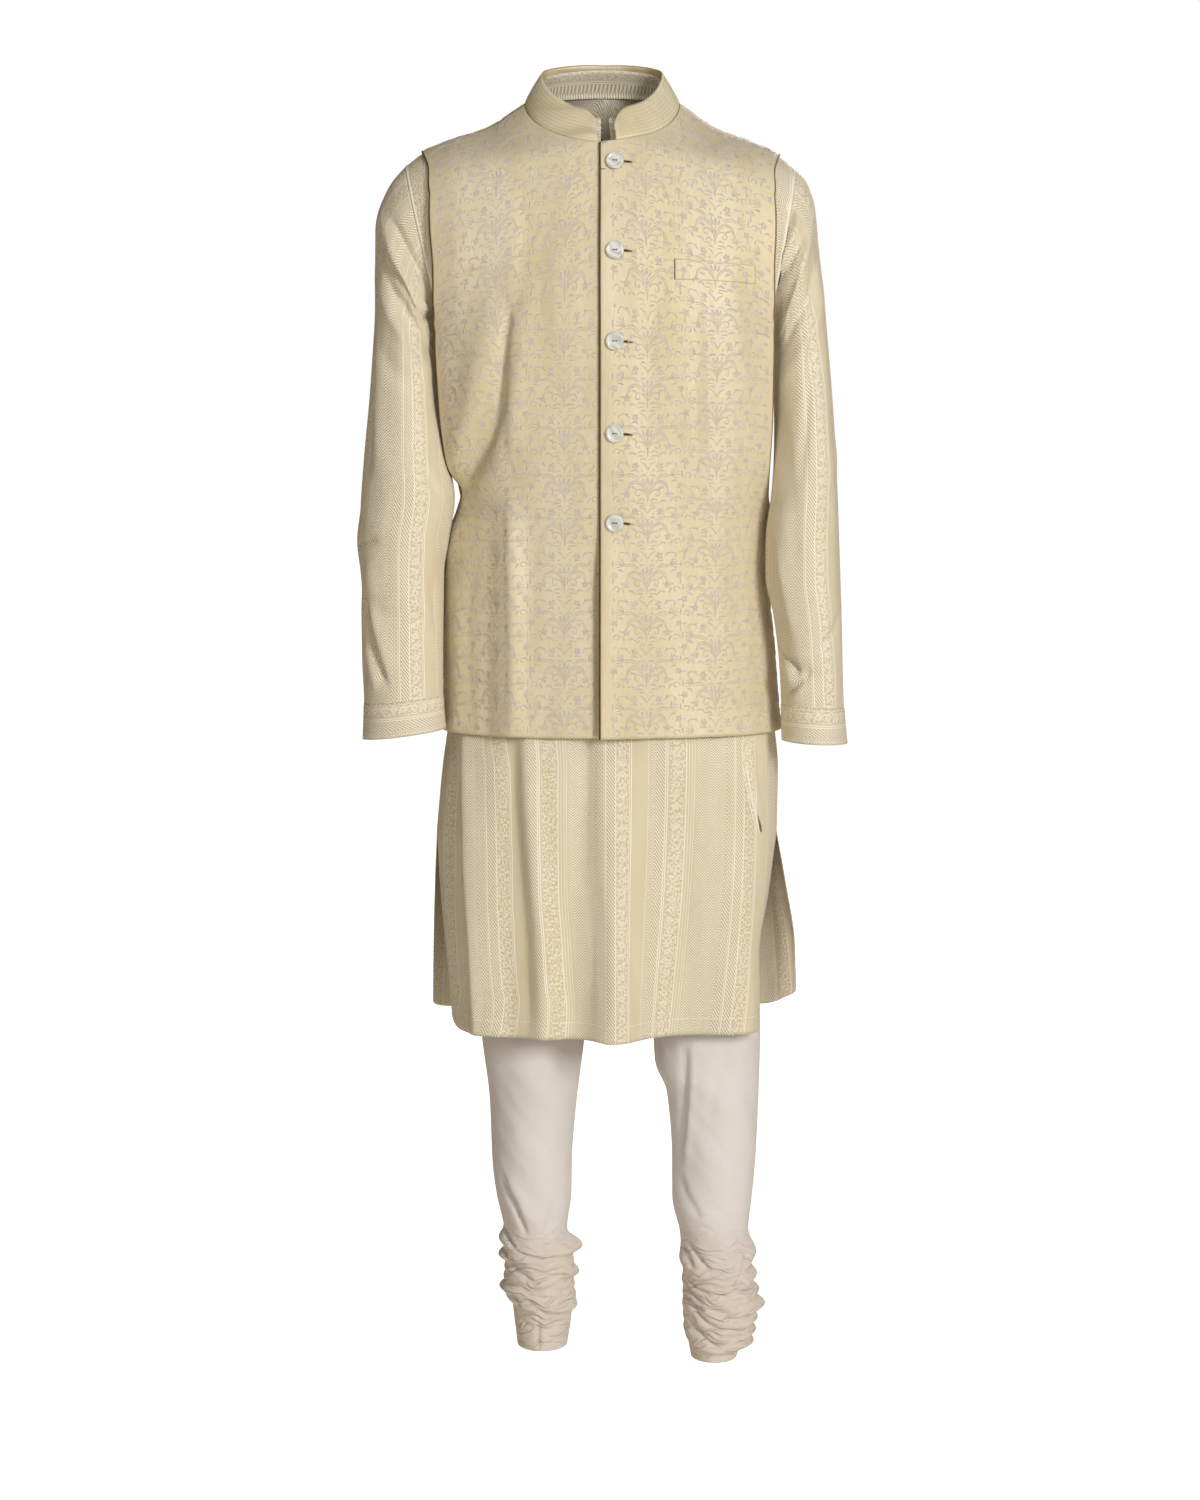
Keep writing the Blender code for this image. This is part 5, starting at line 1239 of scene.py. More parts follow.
class Nodes:
    """Short ways to add shader nodes to a material or to the room."""

    def __init__(self, tree):
        self.tree = tree

    def put(self, socket, value):
        if isinstance(value, bpy.types.NodeSocket):
            self.tree.links.new(value, socket)
        elif socket.type == "RGBA":
            socket.default_value = (*value[:3], 1.0)
        else:
            socket.default_value = value

    def node(self, kind, values=(), **options):
        """A new node with its options, and with its named or numbered sockets filled."""
        node = self.tree.nodes.new("ShaderNode" + kind)
        for name, value in options.items():
            setattr(node, name, value)
        for name, value in dict(values).items():
            self.put(node.inputs[name], value)
        return node

    def math(self, kind, *values):
        return self.node("Math", enumerate(values), operation=kind).outputs[0]

    def times(self, first, second):
        return self.math("MULTIPLY", first, second)

    def plus(self, first, second):
        return self.math("ADD", first, second)

    def scaled(self, value, size, more):
        """A value times a size, and more."""
        return self.math("MULTIPLY_ADD", value, size, more)

    def either_way(self, value, size):
        """A value from 0 to 1 as one that swings by half the size to either side of 0."""
        return self.scaled(value, size, -size / 2)

    def apart(self, first, second):
        return self.math("ABSOLUTE", self.math("SUBTRACT", first, second))

    def most(self, first, *others):
        for other in others:
            first = self.math("MAXIMUM", first, other)
        return first

    def wave(self, value, pitch):
        return self.math("SINE", self.times(value, 2 * math.pi / pitch))

    def parts(self, vector):
        return self.node("SeparateXYZ", {0: vector}).outputs

    def flat(self):
        """Lengths across and up the cloth, in metres."""
        across, up, _ = self.parts(self.node("UVMap", uv_map=WEAVE_MAP).outputs[0])
        return across, up

    def place(self):
        return self.node("TexCoord").outputs["Object"]

    def join(self, x, y, z=0.0):
        return self.node("CombineXYZ", enumerate((x, y, z))).outputs[0]

    def noise(self, vector, scale, detail=2.0):
        return self.node("TexNoise", {"Vector": vector, "Scale": scale, "Detail": detail}).outputs["Fac"]

    def streaks(self, across, up, wide, high, detail):
        """Noise with so many spots to the metre across and up the cloth."""
        return self.noise(self.join(self.times(across, wide), self.times(up, high)), 1.0, detail)

    def blend(self, factor, first, second):
        return self.node("Mix", {"Factor": factor, 6: first, 7: second}, data_type="RGBA").outputs[2]

    def span(self, value, low, high, first=0.0, last=1.0):
        """Turns a value from low to high into one from first to last."""
        values = {"Value": value, "From Min": low, "From Max": high, "To Min": first, "To Max": last}
        return self.node("MapRange", values, interpolation_type="SMOOTHSTEP").outputs["Result"]

    def bands(self, value, repeat, spans):
        """1 inside the given spans and 0 outside them, in every repeat; the spans are for STRIPE_REPEAT."""
        share = self.math("FRACT", self.math("DIVIDE", value, repeat))
        node = self.node("ValToRGB", {0: share})
        stops = node.color_ramp.elements
        node.color_ramp.interpolation = "CONSTANT"
        stops[0].position = 0.0
        stops[0].color = (0, 0, 0, 1)
        stops.remove(stops[1])
        for low, high in spans:
            for edge, tone in ((low, 1.0), (high, 0.0)):
                stops.new(min(edge / STRIPE_REPEAT, 1.0)).color = (tone, tone, tone, 1)
        return node.outputs[0]


# What the finishes of the whole set share
COMMON_FINISH = {"Sheen Roughness": 0.4, "Specular IOR Level": 0.3}
PIPING_FINISH = {"pitch": 0.0011, "roughness": 0.5}


class Look(Nodes):
    """A material with a finish, given as values of its shader."""

    def __init__(self, name, finish):
        self.material = bpy.data.materials.new(name)
        self.material.use_nodes = True
        super().__init__(self.material.node_tree)
        for socket, value in {**COMMON_FINISH, **finish}.items():
            self.give(socket, value)

    def give(self, socket, value):
        self.put(self.tree.nodes["Principled BSDF"].inputs[socket], value)

    def relief(self, height, distance, strength):
        """Raises the surface by the height times a distance in metres."""
        bump = self.node("Bump", {"Strength": strength, "Distance": distance, "Height": height})
        self.give("Normal", bump.outputs[0])


# Figures of the jacquard
TURNED_START = 0.0475
HERRINGBONE_HALF = 0.0085
ROPE_SLANT = 1.5
CHAIN_MIDDLE = 0.0180
CHAIN_SPACING = 0.0305
VINE_SWING = 0.0030
VINE_TONE = 0.6
LEAF_SLANT = 0.4
LEAF_STRETCH = 0.6
WORN_STRETCH = 3.0
FINE_HEIGHT = 0.16


def leaf_chain(look, across, up):
    """A winding vine between small leaves, as tones."""
    swing = look.times(look.wave(up, pitch=0.0120), VINE_SWING)
    middle = look.math("PINGPONG", look.math("SUBTRACT", across, CHAIN_MIDDLE), CHAIN_SPACING)
    vine = look.span(look.apart(middle, swing), low=0.0022, high=0.0012)
    places = look.join(look.scaled(up, LEAF_SLANT, more=across), look.times(up, LEAF_STRETCH))
    leaves = look.span(look.noise(places, 560.0, detail=1.0), low=0.44, high=0.58, first=0.15, last=0.75)
    return look.most(look.times(vine, VINE_TONE), leaves)


def jacquard_look(chosen, name="kurta_jacquard", turned=False):
    """Stripes of herringbone, rope and leaf chains in cream thread; turned runs them across the piece."""
    look = Look(name, {"Roughness": 0.55, "Sheen Weight": 0.04})
    across, up = look.flat()
    if turned:
        across, up = look.plus(up, TURNED_START), across
    lines, ropes, chains, herring = [
        look.bands(across, chosen.stripe_repeat, spans)
        for spans in (LINE_BANDS, ROPE_BANDS, CHAIN_BANDS, HERRINGBONE_BANDS)]

    zigzag = look.math("PINGPONG", across, HERRINGBONE_HALF)
    twill = look.span(look.wave(look.plus(up, zigzag), pitch=0.0031), low=-0.6, high=0.5)
    twist = look.plus(up, look.times(across, ROPE_SLANT))
    rope = look.span(look.wave(twist, pitch=0.0046), low=-0.5, high=0.6)
    chain = leaf_chain(look, across, up)
    pattern = look.most(look.times(herring, twill), look.times(ropes, rope), look.times(chains, chain), lines)

    fine = look.wave(across, pitch=0.0011)
    wander = look.noise(look.join(look.times(across, WORN_STRETCH), up), 9.0)
    woven = look.most(look.plus(herring, ropes), look.plus(chains, lines))
    worn = look.scaled(fine, 0.07, more=look.either_way(wander, 0.24))
    ground = look.plus(look.scaled(woven, -0.30, more=0.46), worn)
    tone = look.scaled(pattern, 0.88, more=ground)
    look.give("Base Color", look.blend(tone, chosen.ground, chosen.thread))
    height = look.scaled(pattern, 2.0, more=look.times(fine, FINE_HEIGHT))
    ripple = look.streaks(across, up, wide=26.0, high=5.0, detail=1.0)
    look.relief(look.scaled(ripple, 26.0, more=height), distance=0.00022, strength=0.8)
    return look.material


SILK_THREAD = 0.0009


def silk_look(name, colour, shade):
    """Plain slubbed silk, with the slubs up the cloth and painted soft zones of sheen and shade."""
    look = Look(name, {"Roughness": 0.55, "Sheen Weight": 0.06, "Metallic": 0.10})
    across, up = look.flat()
    slub = look.streaks(across, up, wide=950.0, high=55.0, detail=3.0)
    cloud = look.noise(look.join(across, up), 14.0, detail=3.0)
    sheen_streaks = look.streaks(across, up, wide=17.0, high=3.0, detail=1.0)
    # Painted sheen and shade: cloud and the upright sheen streaks lighten and darken soft zones down the
    # silk, as satin shows under light; slub adds the slubs' own darker tone.
    tone = look.scaled(cloud, 0.7, more=look.scaled(sheen_streaks, 1.7, more=-1.45))
    look.give("Base Color", look.blend(look.scaled(slub, 1.3, more=tone), shade, colour))
    weave = look.times(look.wave(across, SILK_THREAD), look.wave(up, SILK_THREAD))
    ripple = look.streaks(across, up, wide=24.0, high=4.0, detail=1.0)
    height = look.scaled(ripple, 80.0, more=look.scaled(weave, 0.25, more=slub))
    look.relief(height, distance=0.00012, strength=0.7)
    return look.material


COTTON_THREAD = 0.0007
GATHERED_HEIGHTS = (-1.350, -1.255)
GATHERS_ACROSS = 16.0
GATHERS_UP = 75.0
GATHERS_BEND = 3.2
SOFT_ACROSS = 20.0
SOFT_UP = 9.0


def cotton_look(chosen):
    """Fine matt cotton, warmer where it is gathered at the ankles: partly the layered cloth, partly painted
    shade among the gathers.
    """
    look = Look("churidar_cotton", {"Roughness": 0.85, "Sheen Weight": 0.04})
    across, up = look.flat()
    low = look.span(look.parts(look.place())[2], *GATHERED_HEIGHTS, first=1.0, last=0.0)
    cloud = look.noise(look.join(across, up), 22.0, detail=3.0)
    # The gathers' warmer colour is partly the layered cloth and partly painted shade.
    warm = look.plus(low, look.either_way(cloud, 0.36))
    look.give("Base Color", look.blend(warm, chosen.cotton, chosen.gather_layers_and_shade))
    weave = look.times(look.wave(across, COTTON_THREAD), look.wave(up, COTTON_THREAD))
    slub = look.streaks(across, up, wide=60.0, high=700.0, detail=2.0)
    fine = look.scaled(weave, 0.3, more=slub)
    bend = look.times(look.noise(look.join(across, up), 24.0, detail=1.0), GATHERS_BEND)
    run = look.plus(look.times(up, GATHERS_UP), bend)
    folds = look.noise(look.join(look.times(across, GATHERS_ACROSS), run), 1.0)
    folds = look.span(look.apart(folds, 0.5), low=0.0, high=0.14)
    slant = look.scaled(up, 14.0, more=look.times(across, SOFT_ACROSS))
    soft = look.noise(look.join(slant, look.times(up, SOFT_UP)), 1.0, detail=1.5)
    height = look.scaled(look.times(folds, low), 30.0, more=fine)
    look.relief(look.scaled(soft, 110.0, more=height), distance=0.00008, strength=0.8)
    return look.material


THREAD_SLANT = 0.0007


def thread_look(name, colour, shade, pitch=0.0006, roughness=0.42, metallic=0.0):
    """Satin-stitched thread, ridged across the strip that it makes. Its grooves turn towards the second
    colour, painted shade where that is darker, and random spots of tone mix the two.
    """
    look = Look(name, {"Roughness": roughness, "Sheen Weight": 0.1, "Metallic": metallic})
    across, along = look.flat()
    ridge = look.wave(look.plus(along, look.times(across, THREAD_SLANT)), pitch)
    cloud = look.scaled(look.noise(look.place(), 160.0), 0.8, more=0.1)
    look.give("Base Color", look.blend(look.scaled(ridge, 0.25, more=cloud), shade, colour))
    look.relief(ridge, distance=0.00010, strength=0.8)
    return look.material


PEARL_GREY_GREEN = (0.52, 0.56, 0.53)
PEARL_PINK = (0.93, 0.89, 0.87)
PINK_TONE = 0.75


def pearl_look(chosen):
    """Mother-of-pearl: pale, glossy, with drifting bands of pink and grey-green."""
    look = Look("mother_of_pearl", {
        "Roughness": 0.18, "Coat Weight": 0.6, "Thin Film Thickness": 320.0, "Thin Film IOR": 1.33})
    place = look.place()
    sockets = {"Vector": place, "Scale": 42.0, "Distortion": 7.0}
    wave = look.node("TexWave", sockets, bands_direction="DIAGONAL").outputs["Fac"]
    base = look.blend(look.noise(place, 110.0), chosen.pearl, PEARL_GREY_GREEN)
    look.give("Base Color", look.blend(look.times(wave, PINK_TONE), base, PEARL_PINK))
    return look.material


# Creases placed on the cloth, each as a line seen from the front; hidden sides get plainer ones
RIGHT_SLEEVE_CREASES = table(Crease, (
    (((-242, -137), (-229, -161), (-213, -190), (-198, -216)), -4.5, 5, 4),
    (((-246, -161), (-229, -190), (-211, -214), (-196, -234)), 3, 6, 6),
    (((-249, -188), (-231, -210), (-216, -229), (-203, -249)), -3.5, 5, 4),
    (((-227, -214), (-224, -251), (-216, -287), (-203, -329)), -3, 7, 5),
    (((-209, -234), (-198, -241), (-185, -238)), 3.5, 4, 4),
    (((-207, -251), (-196, -249), (-185, -251)), -3.5, 3, 4),
    (((-255, -227), (-256, -287), (-257, -364), (-256, -435)), 2.5, 10, 3),
    (((-260, -232), (-263, -287), (-265, -364), (-266, -444)), -4.5, 3, 7),
    (((-220, -378), (-210, -403), (-197, -429), (-189, -451)), -2.5, 3, 3),
    (((-200, -411), (-193, -431), (-185, -455)), -2, 3, 3),
    (((-207, -400), (-197, -420), (-187, -442)), 1.8, 4, 4),
    (((-282, -504), (-269, -500), (-253, -496)), -3, 3, 4),
    (((-267, -507), (-266, -554), (-260, -590), (-250, -622), (-238, -660)), 3, 9, 3),
    (((-274, -543), (-268, -579), (-258, -622), (-241, -667)), -6.5, 2.5, 5),
    (((-270, -610), (-264, -637), (-255, -669)), 2.5, 4, 5),
    (((-195, -534), (-193, -561), (-190, -601)), -2.2, 3, 4),
    (((-204, -550), (-201, -572), (-197, -597)), 1.8, 4, 3),
    (((-216, -572), (-209, -583), (-198, -590)), -1.8, 3, 3),
    (((-224, -520), (-218, -554), (-217, -581)), -2, 4, 4),
))
LEFT_SLEEVE_CREASES = table(Crease, (
    (((218, -135), (206, -166), (192, -194), (184, -210)), 3, 4, 4),
    (((224, -150), (212, -177), (196, -203), (184, -221)), -3.5, 3, 4),
    (((228, -166), (217, -190), (202, -210), (189, -225)), 2.2, 4, 4),
    (((210, -122), (203, -149), (192, -177)), -3, 4, 3),
    (((229, -161), (230, -232), (228, -298), (221, -378), (214, -453)), -3.5, 5, 5),
    (((238, -166), (242, -254), (248, -386), (256, -520)), 2, 5, 6),
    (((189, -320), (199, -398), (208, -476), (212, -554)), -2, 8, 8),
    (((177, -476), (184, -532), (197, -590), (204, -622)), -3, 6, 5),
    (((188, -498), (197, -554), (209, -610)), 2, 5, 5),
    (((265, -570), (254, -597), (237, -616), (218, -628)), -2.8, 5, 4),
    (((191, -622), (205, -631), (217, -646)), -6, 3, 3),
    (((194, -678), (207, -664), (222, -651), (227, -635)), -5, 3, 3),
    (((196, -637), (206, -649), (205, -660)), 3, 4, 4),
    (((225, -642), (218, -660), (207, -676)), 2.5, 4, 4),
))
JACKET_CREASES = table(Crease, (
    (((-105, -229), (-109, -266), (-114, -309), (-117, -348), (-123, -377)), -3.5, 5, 5),
    (((-117, -359), (-128, -391), (-144, -417), (-162, -450)), -5.5, 3, 4),
    (((-99, -233), (-104, -287), (-105, -353), (-104, -419)), 3, 14, 5),
    (((-108, -430), (-107, -518), (-106, -607), (-106, -719)), 3, 12, 4),
    (((-151, -518), (-156, -585), (-154, -674), (-152, -725)), -2.5, 8, 8),
    (((-94, -92), (-88, -157), (-93, -233)), -1.5, 8, 8),
    (((37, -419), (42, -342), (48, -266), (59, -211)), -1.8, 8, 8),
    (((97, -298), (98, -364), (100, -430), (103, -518)), 2, 6, 12),
    (((109, -200), (112, -277), (117, -375), (122, -496)), -2.2, 10, 6),
    (((160, -233), (166, -298), (168, -386)), -1.5, 8, 8),
))
SKIRT_FRONT_CREASES = table(Crease, (
    (((-160, -662), (-161, -785), (-159, -875), (-154, -955), (-147, -1103)), 4, 12, 4),
    (((-171, -662), (-172, -785), (-170, -875), (-165, -955), (-158, -1103)), -9, 6, 24),
    (((-92, -662), (-88, -785), (-82, -864), (-75, -943), (-67, -1103)), 5, 14, 4),
    (((-106, -662), (-103, -785), (-97, -864), (-91, -943), (-85, -1103)), -6, 6, 12),
    (((-21, -662), (-20, -785), (-19, -875), (-17, -966), (-20, -1103)), -9, 6, 12),
    (((-10, -662), (-9, -763), (-8, -853), (-7, -932)), 4, 3, 3),
    (((-5, -691), (-4, -763), (-2, -853), (-1, -943)), -2.5, 2, 2),
    (((-38, -693), (-36, -785), (-35, -898)), -2, 6, 6),
    (((64, -696), (60, -785), (65, -898)), -1.5, 8, 8),
    (((111, -693), (109, -808), (105, -943), (103, -1069)), 1.5, 10, 8),
    (((153, -709), (159, -774), (169, -815)), -3, 3, 4),
    (((160, -718), (167, -774), (176, -812)), 2, 4, 3),
    (((-56, -1000), (-61, -1034), (-64, -1066)), -2.5, 2.5, 3),
    (((-33, -995), (-37, -1029), (-40, -1066)), -3, 2.5, 3),
    (((-47, -1000), (-51, -1034), (-52, -1066)), 2, 4, 4),
))
RIGHT_LEG_CREASES = table(Crease, (
    (((-124, -1229), (-115, -1248), (-105, -1267), (-97, -1288), (-90, -1305)), -5.5, 2.5, 3),
    (((-115, -1232), (-101, -1255), (-88, -1286)), 2.5, 6, 6),
    (((-106, -1232), (-85, -1222), (-62, -1211), (-46, -1197)), -1.5, 2, 3),
    (((-81, -1248), (-67, -1239), (-53, -1222)), -1.2, 2, 3),
    (((-58, -1253), (-62, -1281), (-73, -1305), (-83, -1317)), -2, 5, 6),
    (((-123, -1293), (-115, -1307), (-104, -1319)), -5, 2, 2.5),
    (((-113, -1317), (-95, -1324), (-72, -1330), (-53, -1325)), -3.5, 1.8, 2.5),
    (((-125, -1319), (-115, -1331), (-102, -1336), (-90, -1333)), -4, 1.8, 2.5),
    (((-118, -1333), (-102, -1343), (-83, -1347)), -3.5, 1.8, 2.5),
    (((-113, -1343), (-95, -1349), (-76, -1357)), -4, 1.8, 2.5),
    (((-76, -1345), (-58, -1349), (-35, -1350)), -3, 1.8, 2.5),
    (((-104, -1362), (-83, -1373), (-58, -1375), (-39, -1364)), -3, 1.8, 2.5),
    (((-67, -1359), (-53, -1357), (-39, -1357)), -3, 1.8, 2.5),
    (((-116, -1371), (-102, -1382), (-88, -1379), (-74, -1390), (-65, -1395)), -5.5, 2, 3),
    (((-65, -1390), (-53, -1384), (-38, -1381)), -4, 2, 3),
    (((-79, -1397), (-79, -1416), (-78, -1438)), -2, 2, 2),
    (((-73, -1397), (-73, -1416), (-72, -1438)), 1.6, 3, 3),
    (((-99, -1404), (-88, -1408), (-81, -1414)), -1.5, 2, 2),
    (((-68, -1404), (-58, -1411)), -1.8, 2, 2),
    (((-117, -1094), (-116, -1152), (-113, -1199)), -1.2, 10, 10),
))
LEFT_LEG_CREASES = table(Crease, (
    (((89, -1060), (91, -1102), (89, -1149), (86, -1207)), -4, 6, 5),
    (((96, -1067), (97, -1126), (93, -1184), (91, -1231)), 3, 5, 3),
    (((85, -1226), (92, -1249), (101, -1263), (110, -1278)), -3.5, 3, 5),
    (((108, -1285), (119, -1288), (129, -1296)), -1.5, 3, 3),
    (((108, -1247), (124, -1242), (142, -1240)), -1.2, 2, 3),
    (((90, -1301), (99, -1313), (110, -1327), (122, -1339)), -4.5, 2.5, 3),
    (((85, -1308), (94, -1322), (101, -1339)), -4, 2.5, 4),
    (((90, -1341), (108, -1346), (124, -1341), (140, -1332)), -2.5, 1.8, 2.5),
    (((163, -1315), (161, -1334), (152, -1353), (142, -1368)), -5.5, 2.5, 3),
    (((90, -1350), (104, -1358), (124, -1362), (143, -1367)), -4, 1.8, 2.5),
    (((87, -1353), (97, -1365), (113, -1376)), -4.5, 1.8, 2.5),
    (((88, -1369), (101, -1379), (113, -1384)), -5, 2, 2.5),
    (((115, -1381), (134, -1384), (152, -1388)), -3.5, 1.8, 2.5),
    (((92, -1374), (106, -1388), (118, -1398), (136, -1405), (154, -1405)), -5, 2, 2.5),
    (((131, -1391), (152, -1393), (168, -1388)), -3.5, 1.8, 2.5),
    (((150, -1407), (164, -1412), (175, -1407)), -4.5, 1.8, 2.5),
    (((92, -1393), (106, -1407), (122, -1421), (136, -1426)), -5, 2, 2.5),
    (((108, -1369), (127, -1372), (150, -1374)), 2, 4, 4),
    (((139, -1067), (135, -1102), (123, -1132), (114, -1172)), -1.5, 8, 8),
    (((155, -1074), (151, -1137), (133, -1195)), 1.4, 10, 10),
))
# Where the top front stands off the one under it, above the hem
FRONT_EDGE_LIFT = Crease(((-5, -470), (-7, -600), (-9, -860)), 8, 24, 24)
SLEEVE_BACK_CREASES = table(Crease, (
    (((196, -300), (215, -380), (238, -440)), -3, 8, 6),
    (((252, -330), (236, -420), (214, -490)), -2, 7, 7),
    (((262, -500), (244, -530), (216, -545)), -3, 5, 6),
    (((206, -580), (226, -610), (252, -620)), -2.2, 6, 5),
))
SKIRT_BACK_CREASES = table(Crease, (
    (((-60, -720), (-64, -880), (-62, -1070)), 3, 4, 8),
    (((24, -700), (28, -860), (20, -1070)), 2.6, 8, 4),
    (((118, -740), (126, -900), (132, -1060)), -3, 6, 5),
))
JACKET_BACK_CREASES = table(Crease, (
    (((-150, -240), (-100, -310), (-40, -350)), -2, 10, 8),
    (((145, -250), (90, -330), (30, -380)), -2.2, 8, 10),
    (((-30, -460), (-52, -580), (-50, -720)), 2, 6, 10),
))
LEG_BACK_CREASES = table(Crease, (
    (((70, -1130), (115, -1145), (160, -1130)), -2, 6, 4),
    (((85, -1290), (120, -1300), (160, -1292)), -3, 2, 3),
    (((88, -1320), (125, -1335), (165, -1325)), -3.5, 2, 3),
    (((90, -1355), (130, -1365), (165, -1360)), -3, 2, 3),
))


def tint(name, description, default):
    return bpy.props.FloatVectorProperty(
        name=name, description=description, subtype="COLOR", size=3, min=0, max=1, default=default)


def measure(name, description, default, low, high):
    return bpy.props.FloatProperty(
        name=name, description=description, unit="LENGTH", default=default, min=low, max=high)


def brightness(name, description, default, high):
    return bpy.props.FloatProperty(name=name, description=description, default=default, min=0, max=high)


class KurtaSetJacket(bpy.types.PropertyGroup):
    """Sizes and colours of the sleeveless jacket."""

    # The lit silk colour and its darker colour are lit and shaded copies of the silk: silk_look mixes them by
    # the slubs' own tone and by painted zones of sheen and shade.
    silk: tint("Silk", "Lit colour of the jacket's silk", (0.840, 0.768, 0.595))
    silk_shade: tint("Silk Slub and Shade", "Darker colour between the silk's slubs", (0.708, 0.612, 0.392))
    collar_silk: tint("Collar Silk", "Colour of the plain collar", (0.905, 0.842, 0.690))
    # The edge colour is painted shade: the rims of the cloth's walls and the left armhole's cord take it for
    # the darkening where the cloth turns away at its edges.
    edge: tint("Edge", "Colour of the turned edges and piping", (0.50, 0.37, 0.15))
    embroidery: tint("Embroidery", "Colour of the embroidery thread", (0.880, 0.805, 0.750))
    # This dark colour is partly painted shadow: the front edge's cord stands for its piping and the shadow
    # beside it, the right armhole's cord for the shadow between jacket and kurta, and the buttonhole slits'
    # painted shade is made from it.
    piping_and_shadow: tint("Piping", "Colour of the piped front edge and the buttonholes", (0.16, 0.085, 0.022))
    # The embroidery's darker colour is painted shade in the grooves between its stitches; random spots of
    # tone mix it in as well.
    embroidery_shade: tint(
        "Embroidery Shade", "Colour between the embroidery's threads", (0.600, 0.510, 0.440))
    pearl: tint("Pearl", "Colour of the buttons", (0.700, 0.705, 0.680))
    motif_width: measure("Motif Width", "Distance between columns of the embroidery", MOTIF_WIDTH, 0.03, 0.2)
    motif_height: measure("Motif Height", "Distance between rows of the embroidery", MOTIF_HEIGHT, 0.03, 0.3)


class KurtaSetKurta(bpy.types.PropertyGroup):
    """Sizes and colours of the kurta."""

    ground: tint("Ground", "Colour of the cloth behind the stripes", (0.555, 0.440, 0.215))
    thread: tint("Thread", "Colour of the stripes' thread", (0.975, 0.935, 0.825))
    stripe_repeat: measure("Stripe Repeat", "Width of one repeat of the stripes", STRIPE_REPEAT, 0.02, 0.4)


class KurtaSetChuridar(bpy.types.PropertyGroup):
    """Colours of the trousers."""

    cotton: tint("Cotton", "Colour of the cotton", (0.80, 0.768, 0.760))
    # The gathers' colour: partly the layered cloth, partly painted shade among them.
    gather_layers_and_shade: tint("Gathers", "Colour of the cotton where it is gathered", (0.760, 0.685, 0.605))


class KurtaSetStage(bpy.types.PropertyGroup):
    """Light and floor."""

    floor_height: measure("Floor Height", "Height of the floor under the set", -1.56, -3.0, -1.45)
    key_power: brightness("Key Light", "Power of the large soft light", 208.0, 1000)
    room_light: brightness("Room Light", "Brightness of the room around the set", 0.075, 2)


def settings(context, part):
    return getattr(context.scene, "kurta_set_" + part)


def mirrored(creases, hand):
    """Creases of the wearer's left side, turned round for the right one."""
    return [crease._replace(line=tuple((x * hand, z) for x, z in crease.line)) for crease in creases]


def beside(cloth, column, rows, inset):
    """Places and normals along an edge of a cloth, some way in from it."""
    across = cloth.across[rows, column]
    return cloth.lay(across - np.sign(across) * inset, cloth.up[rows])[:2]


# Sewing of the kurta
SEWING = (0.96, 0.91, 0.81)
SEWING_PITCH = 0.0012
SLIT_STITCH_INSETS = (0.0022, 0.0085)
HEM_STITCH_UP = 0.019
HEM_STITCH_ROW = 4
HEM_STITCH_SHARES = np.linspace(0.0, 0.97, 90)
CUFF_STITCH_ROWS = (1, 11, 12)

# The opening of the side pocket, down a line seen from the front; a strip of painted shade darkens its lower
# end
POCKET_OPENING = ((0.1567, -0.7501), (0.162, -0.776), (0.1676, -0.802), (0.1729, -0.8275))
OPENING_WIDTH = 0.0042
OPENING_TONE = 0.45
OPENING_SHADE = (0.13, 0.09, 0.04)


def pocket_line(cloth, line, out):
    """Places and normals on the cloth along a line seen from the front, moved sideways by out."""
    flat = curve([flat_spot(cloth, x + out, z) for x, z in line], step=0.003)
    return cloth.lay(*flat.T)[:2]


def kurta_sewing(name, halves, thread):
    """Seams and stitches along the front's armholes, slits and hem, and up the back's middle and neck."""
    threads = Threads()
    for half, hand in zip(halves, (RIGHT, LEFT)):
        column = outer_column(hand)
        armhole = np.arange(KURTA_ROWS[0], len(half.up) - 1)
        threads.add(*beside(half, column, armhole, inset=0.0022), 0.0028, rise=0.0009)
        slit = np.flatnonzero(half.points[:, column, 2] < SLIT_TOP)
        for inset in SLIT_STITCH_INSETS:
            threads.run(*beside(half, column, slit, inset), long=0.0030, gap=0.0008, width=0.0009)
        across = HEM_STITCH_SHARES * half.across[HEM_STITCH_ROW, column]
        hem = half.lay(across, np.full(len(across), HEM_STITCH_UP))[:2]
        threads.run(*hem, long=0.0034, gap=0.0012, width=0.0008)
    if name == "front":
        threads.add(*pocket_line(halves[1], POCKET_OPENING, out=0.0), 0.0020, rise=0.0008)
        threads.add(*pocket_line(halves[1], POCKET_OPENING, out=-0.0036), 0.0011, rise=0.0004)
    return threads.make(f"sewing_kurta_{name}", thread)


def pocket_hollow(cloth, shade):
    """A strip of painted shade for the dark gap at the lower end of the pocket's opening."""
    places, normals = pocket_line(cloth, POCKET_OPENING[-2:], out=0.0022)
    swell = np.sin(math.pi * np.linspace(0.06, 0.9, len(places)) ** 2)
    hollow = Threads()
    hollow.add(places, normals, OPENING_WIDTH * swell, rise=0.0001)
    return hollow.make("pocket_opening_shade", shade)


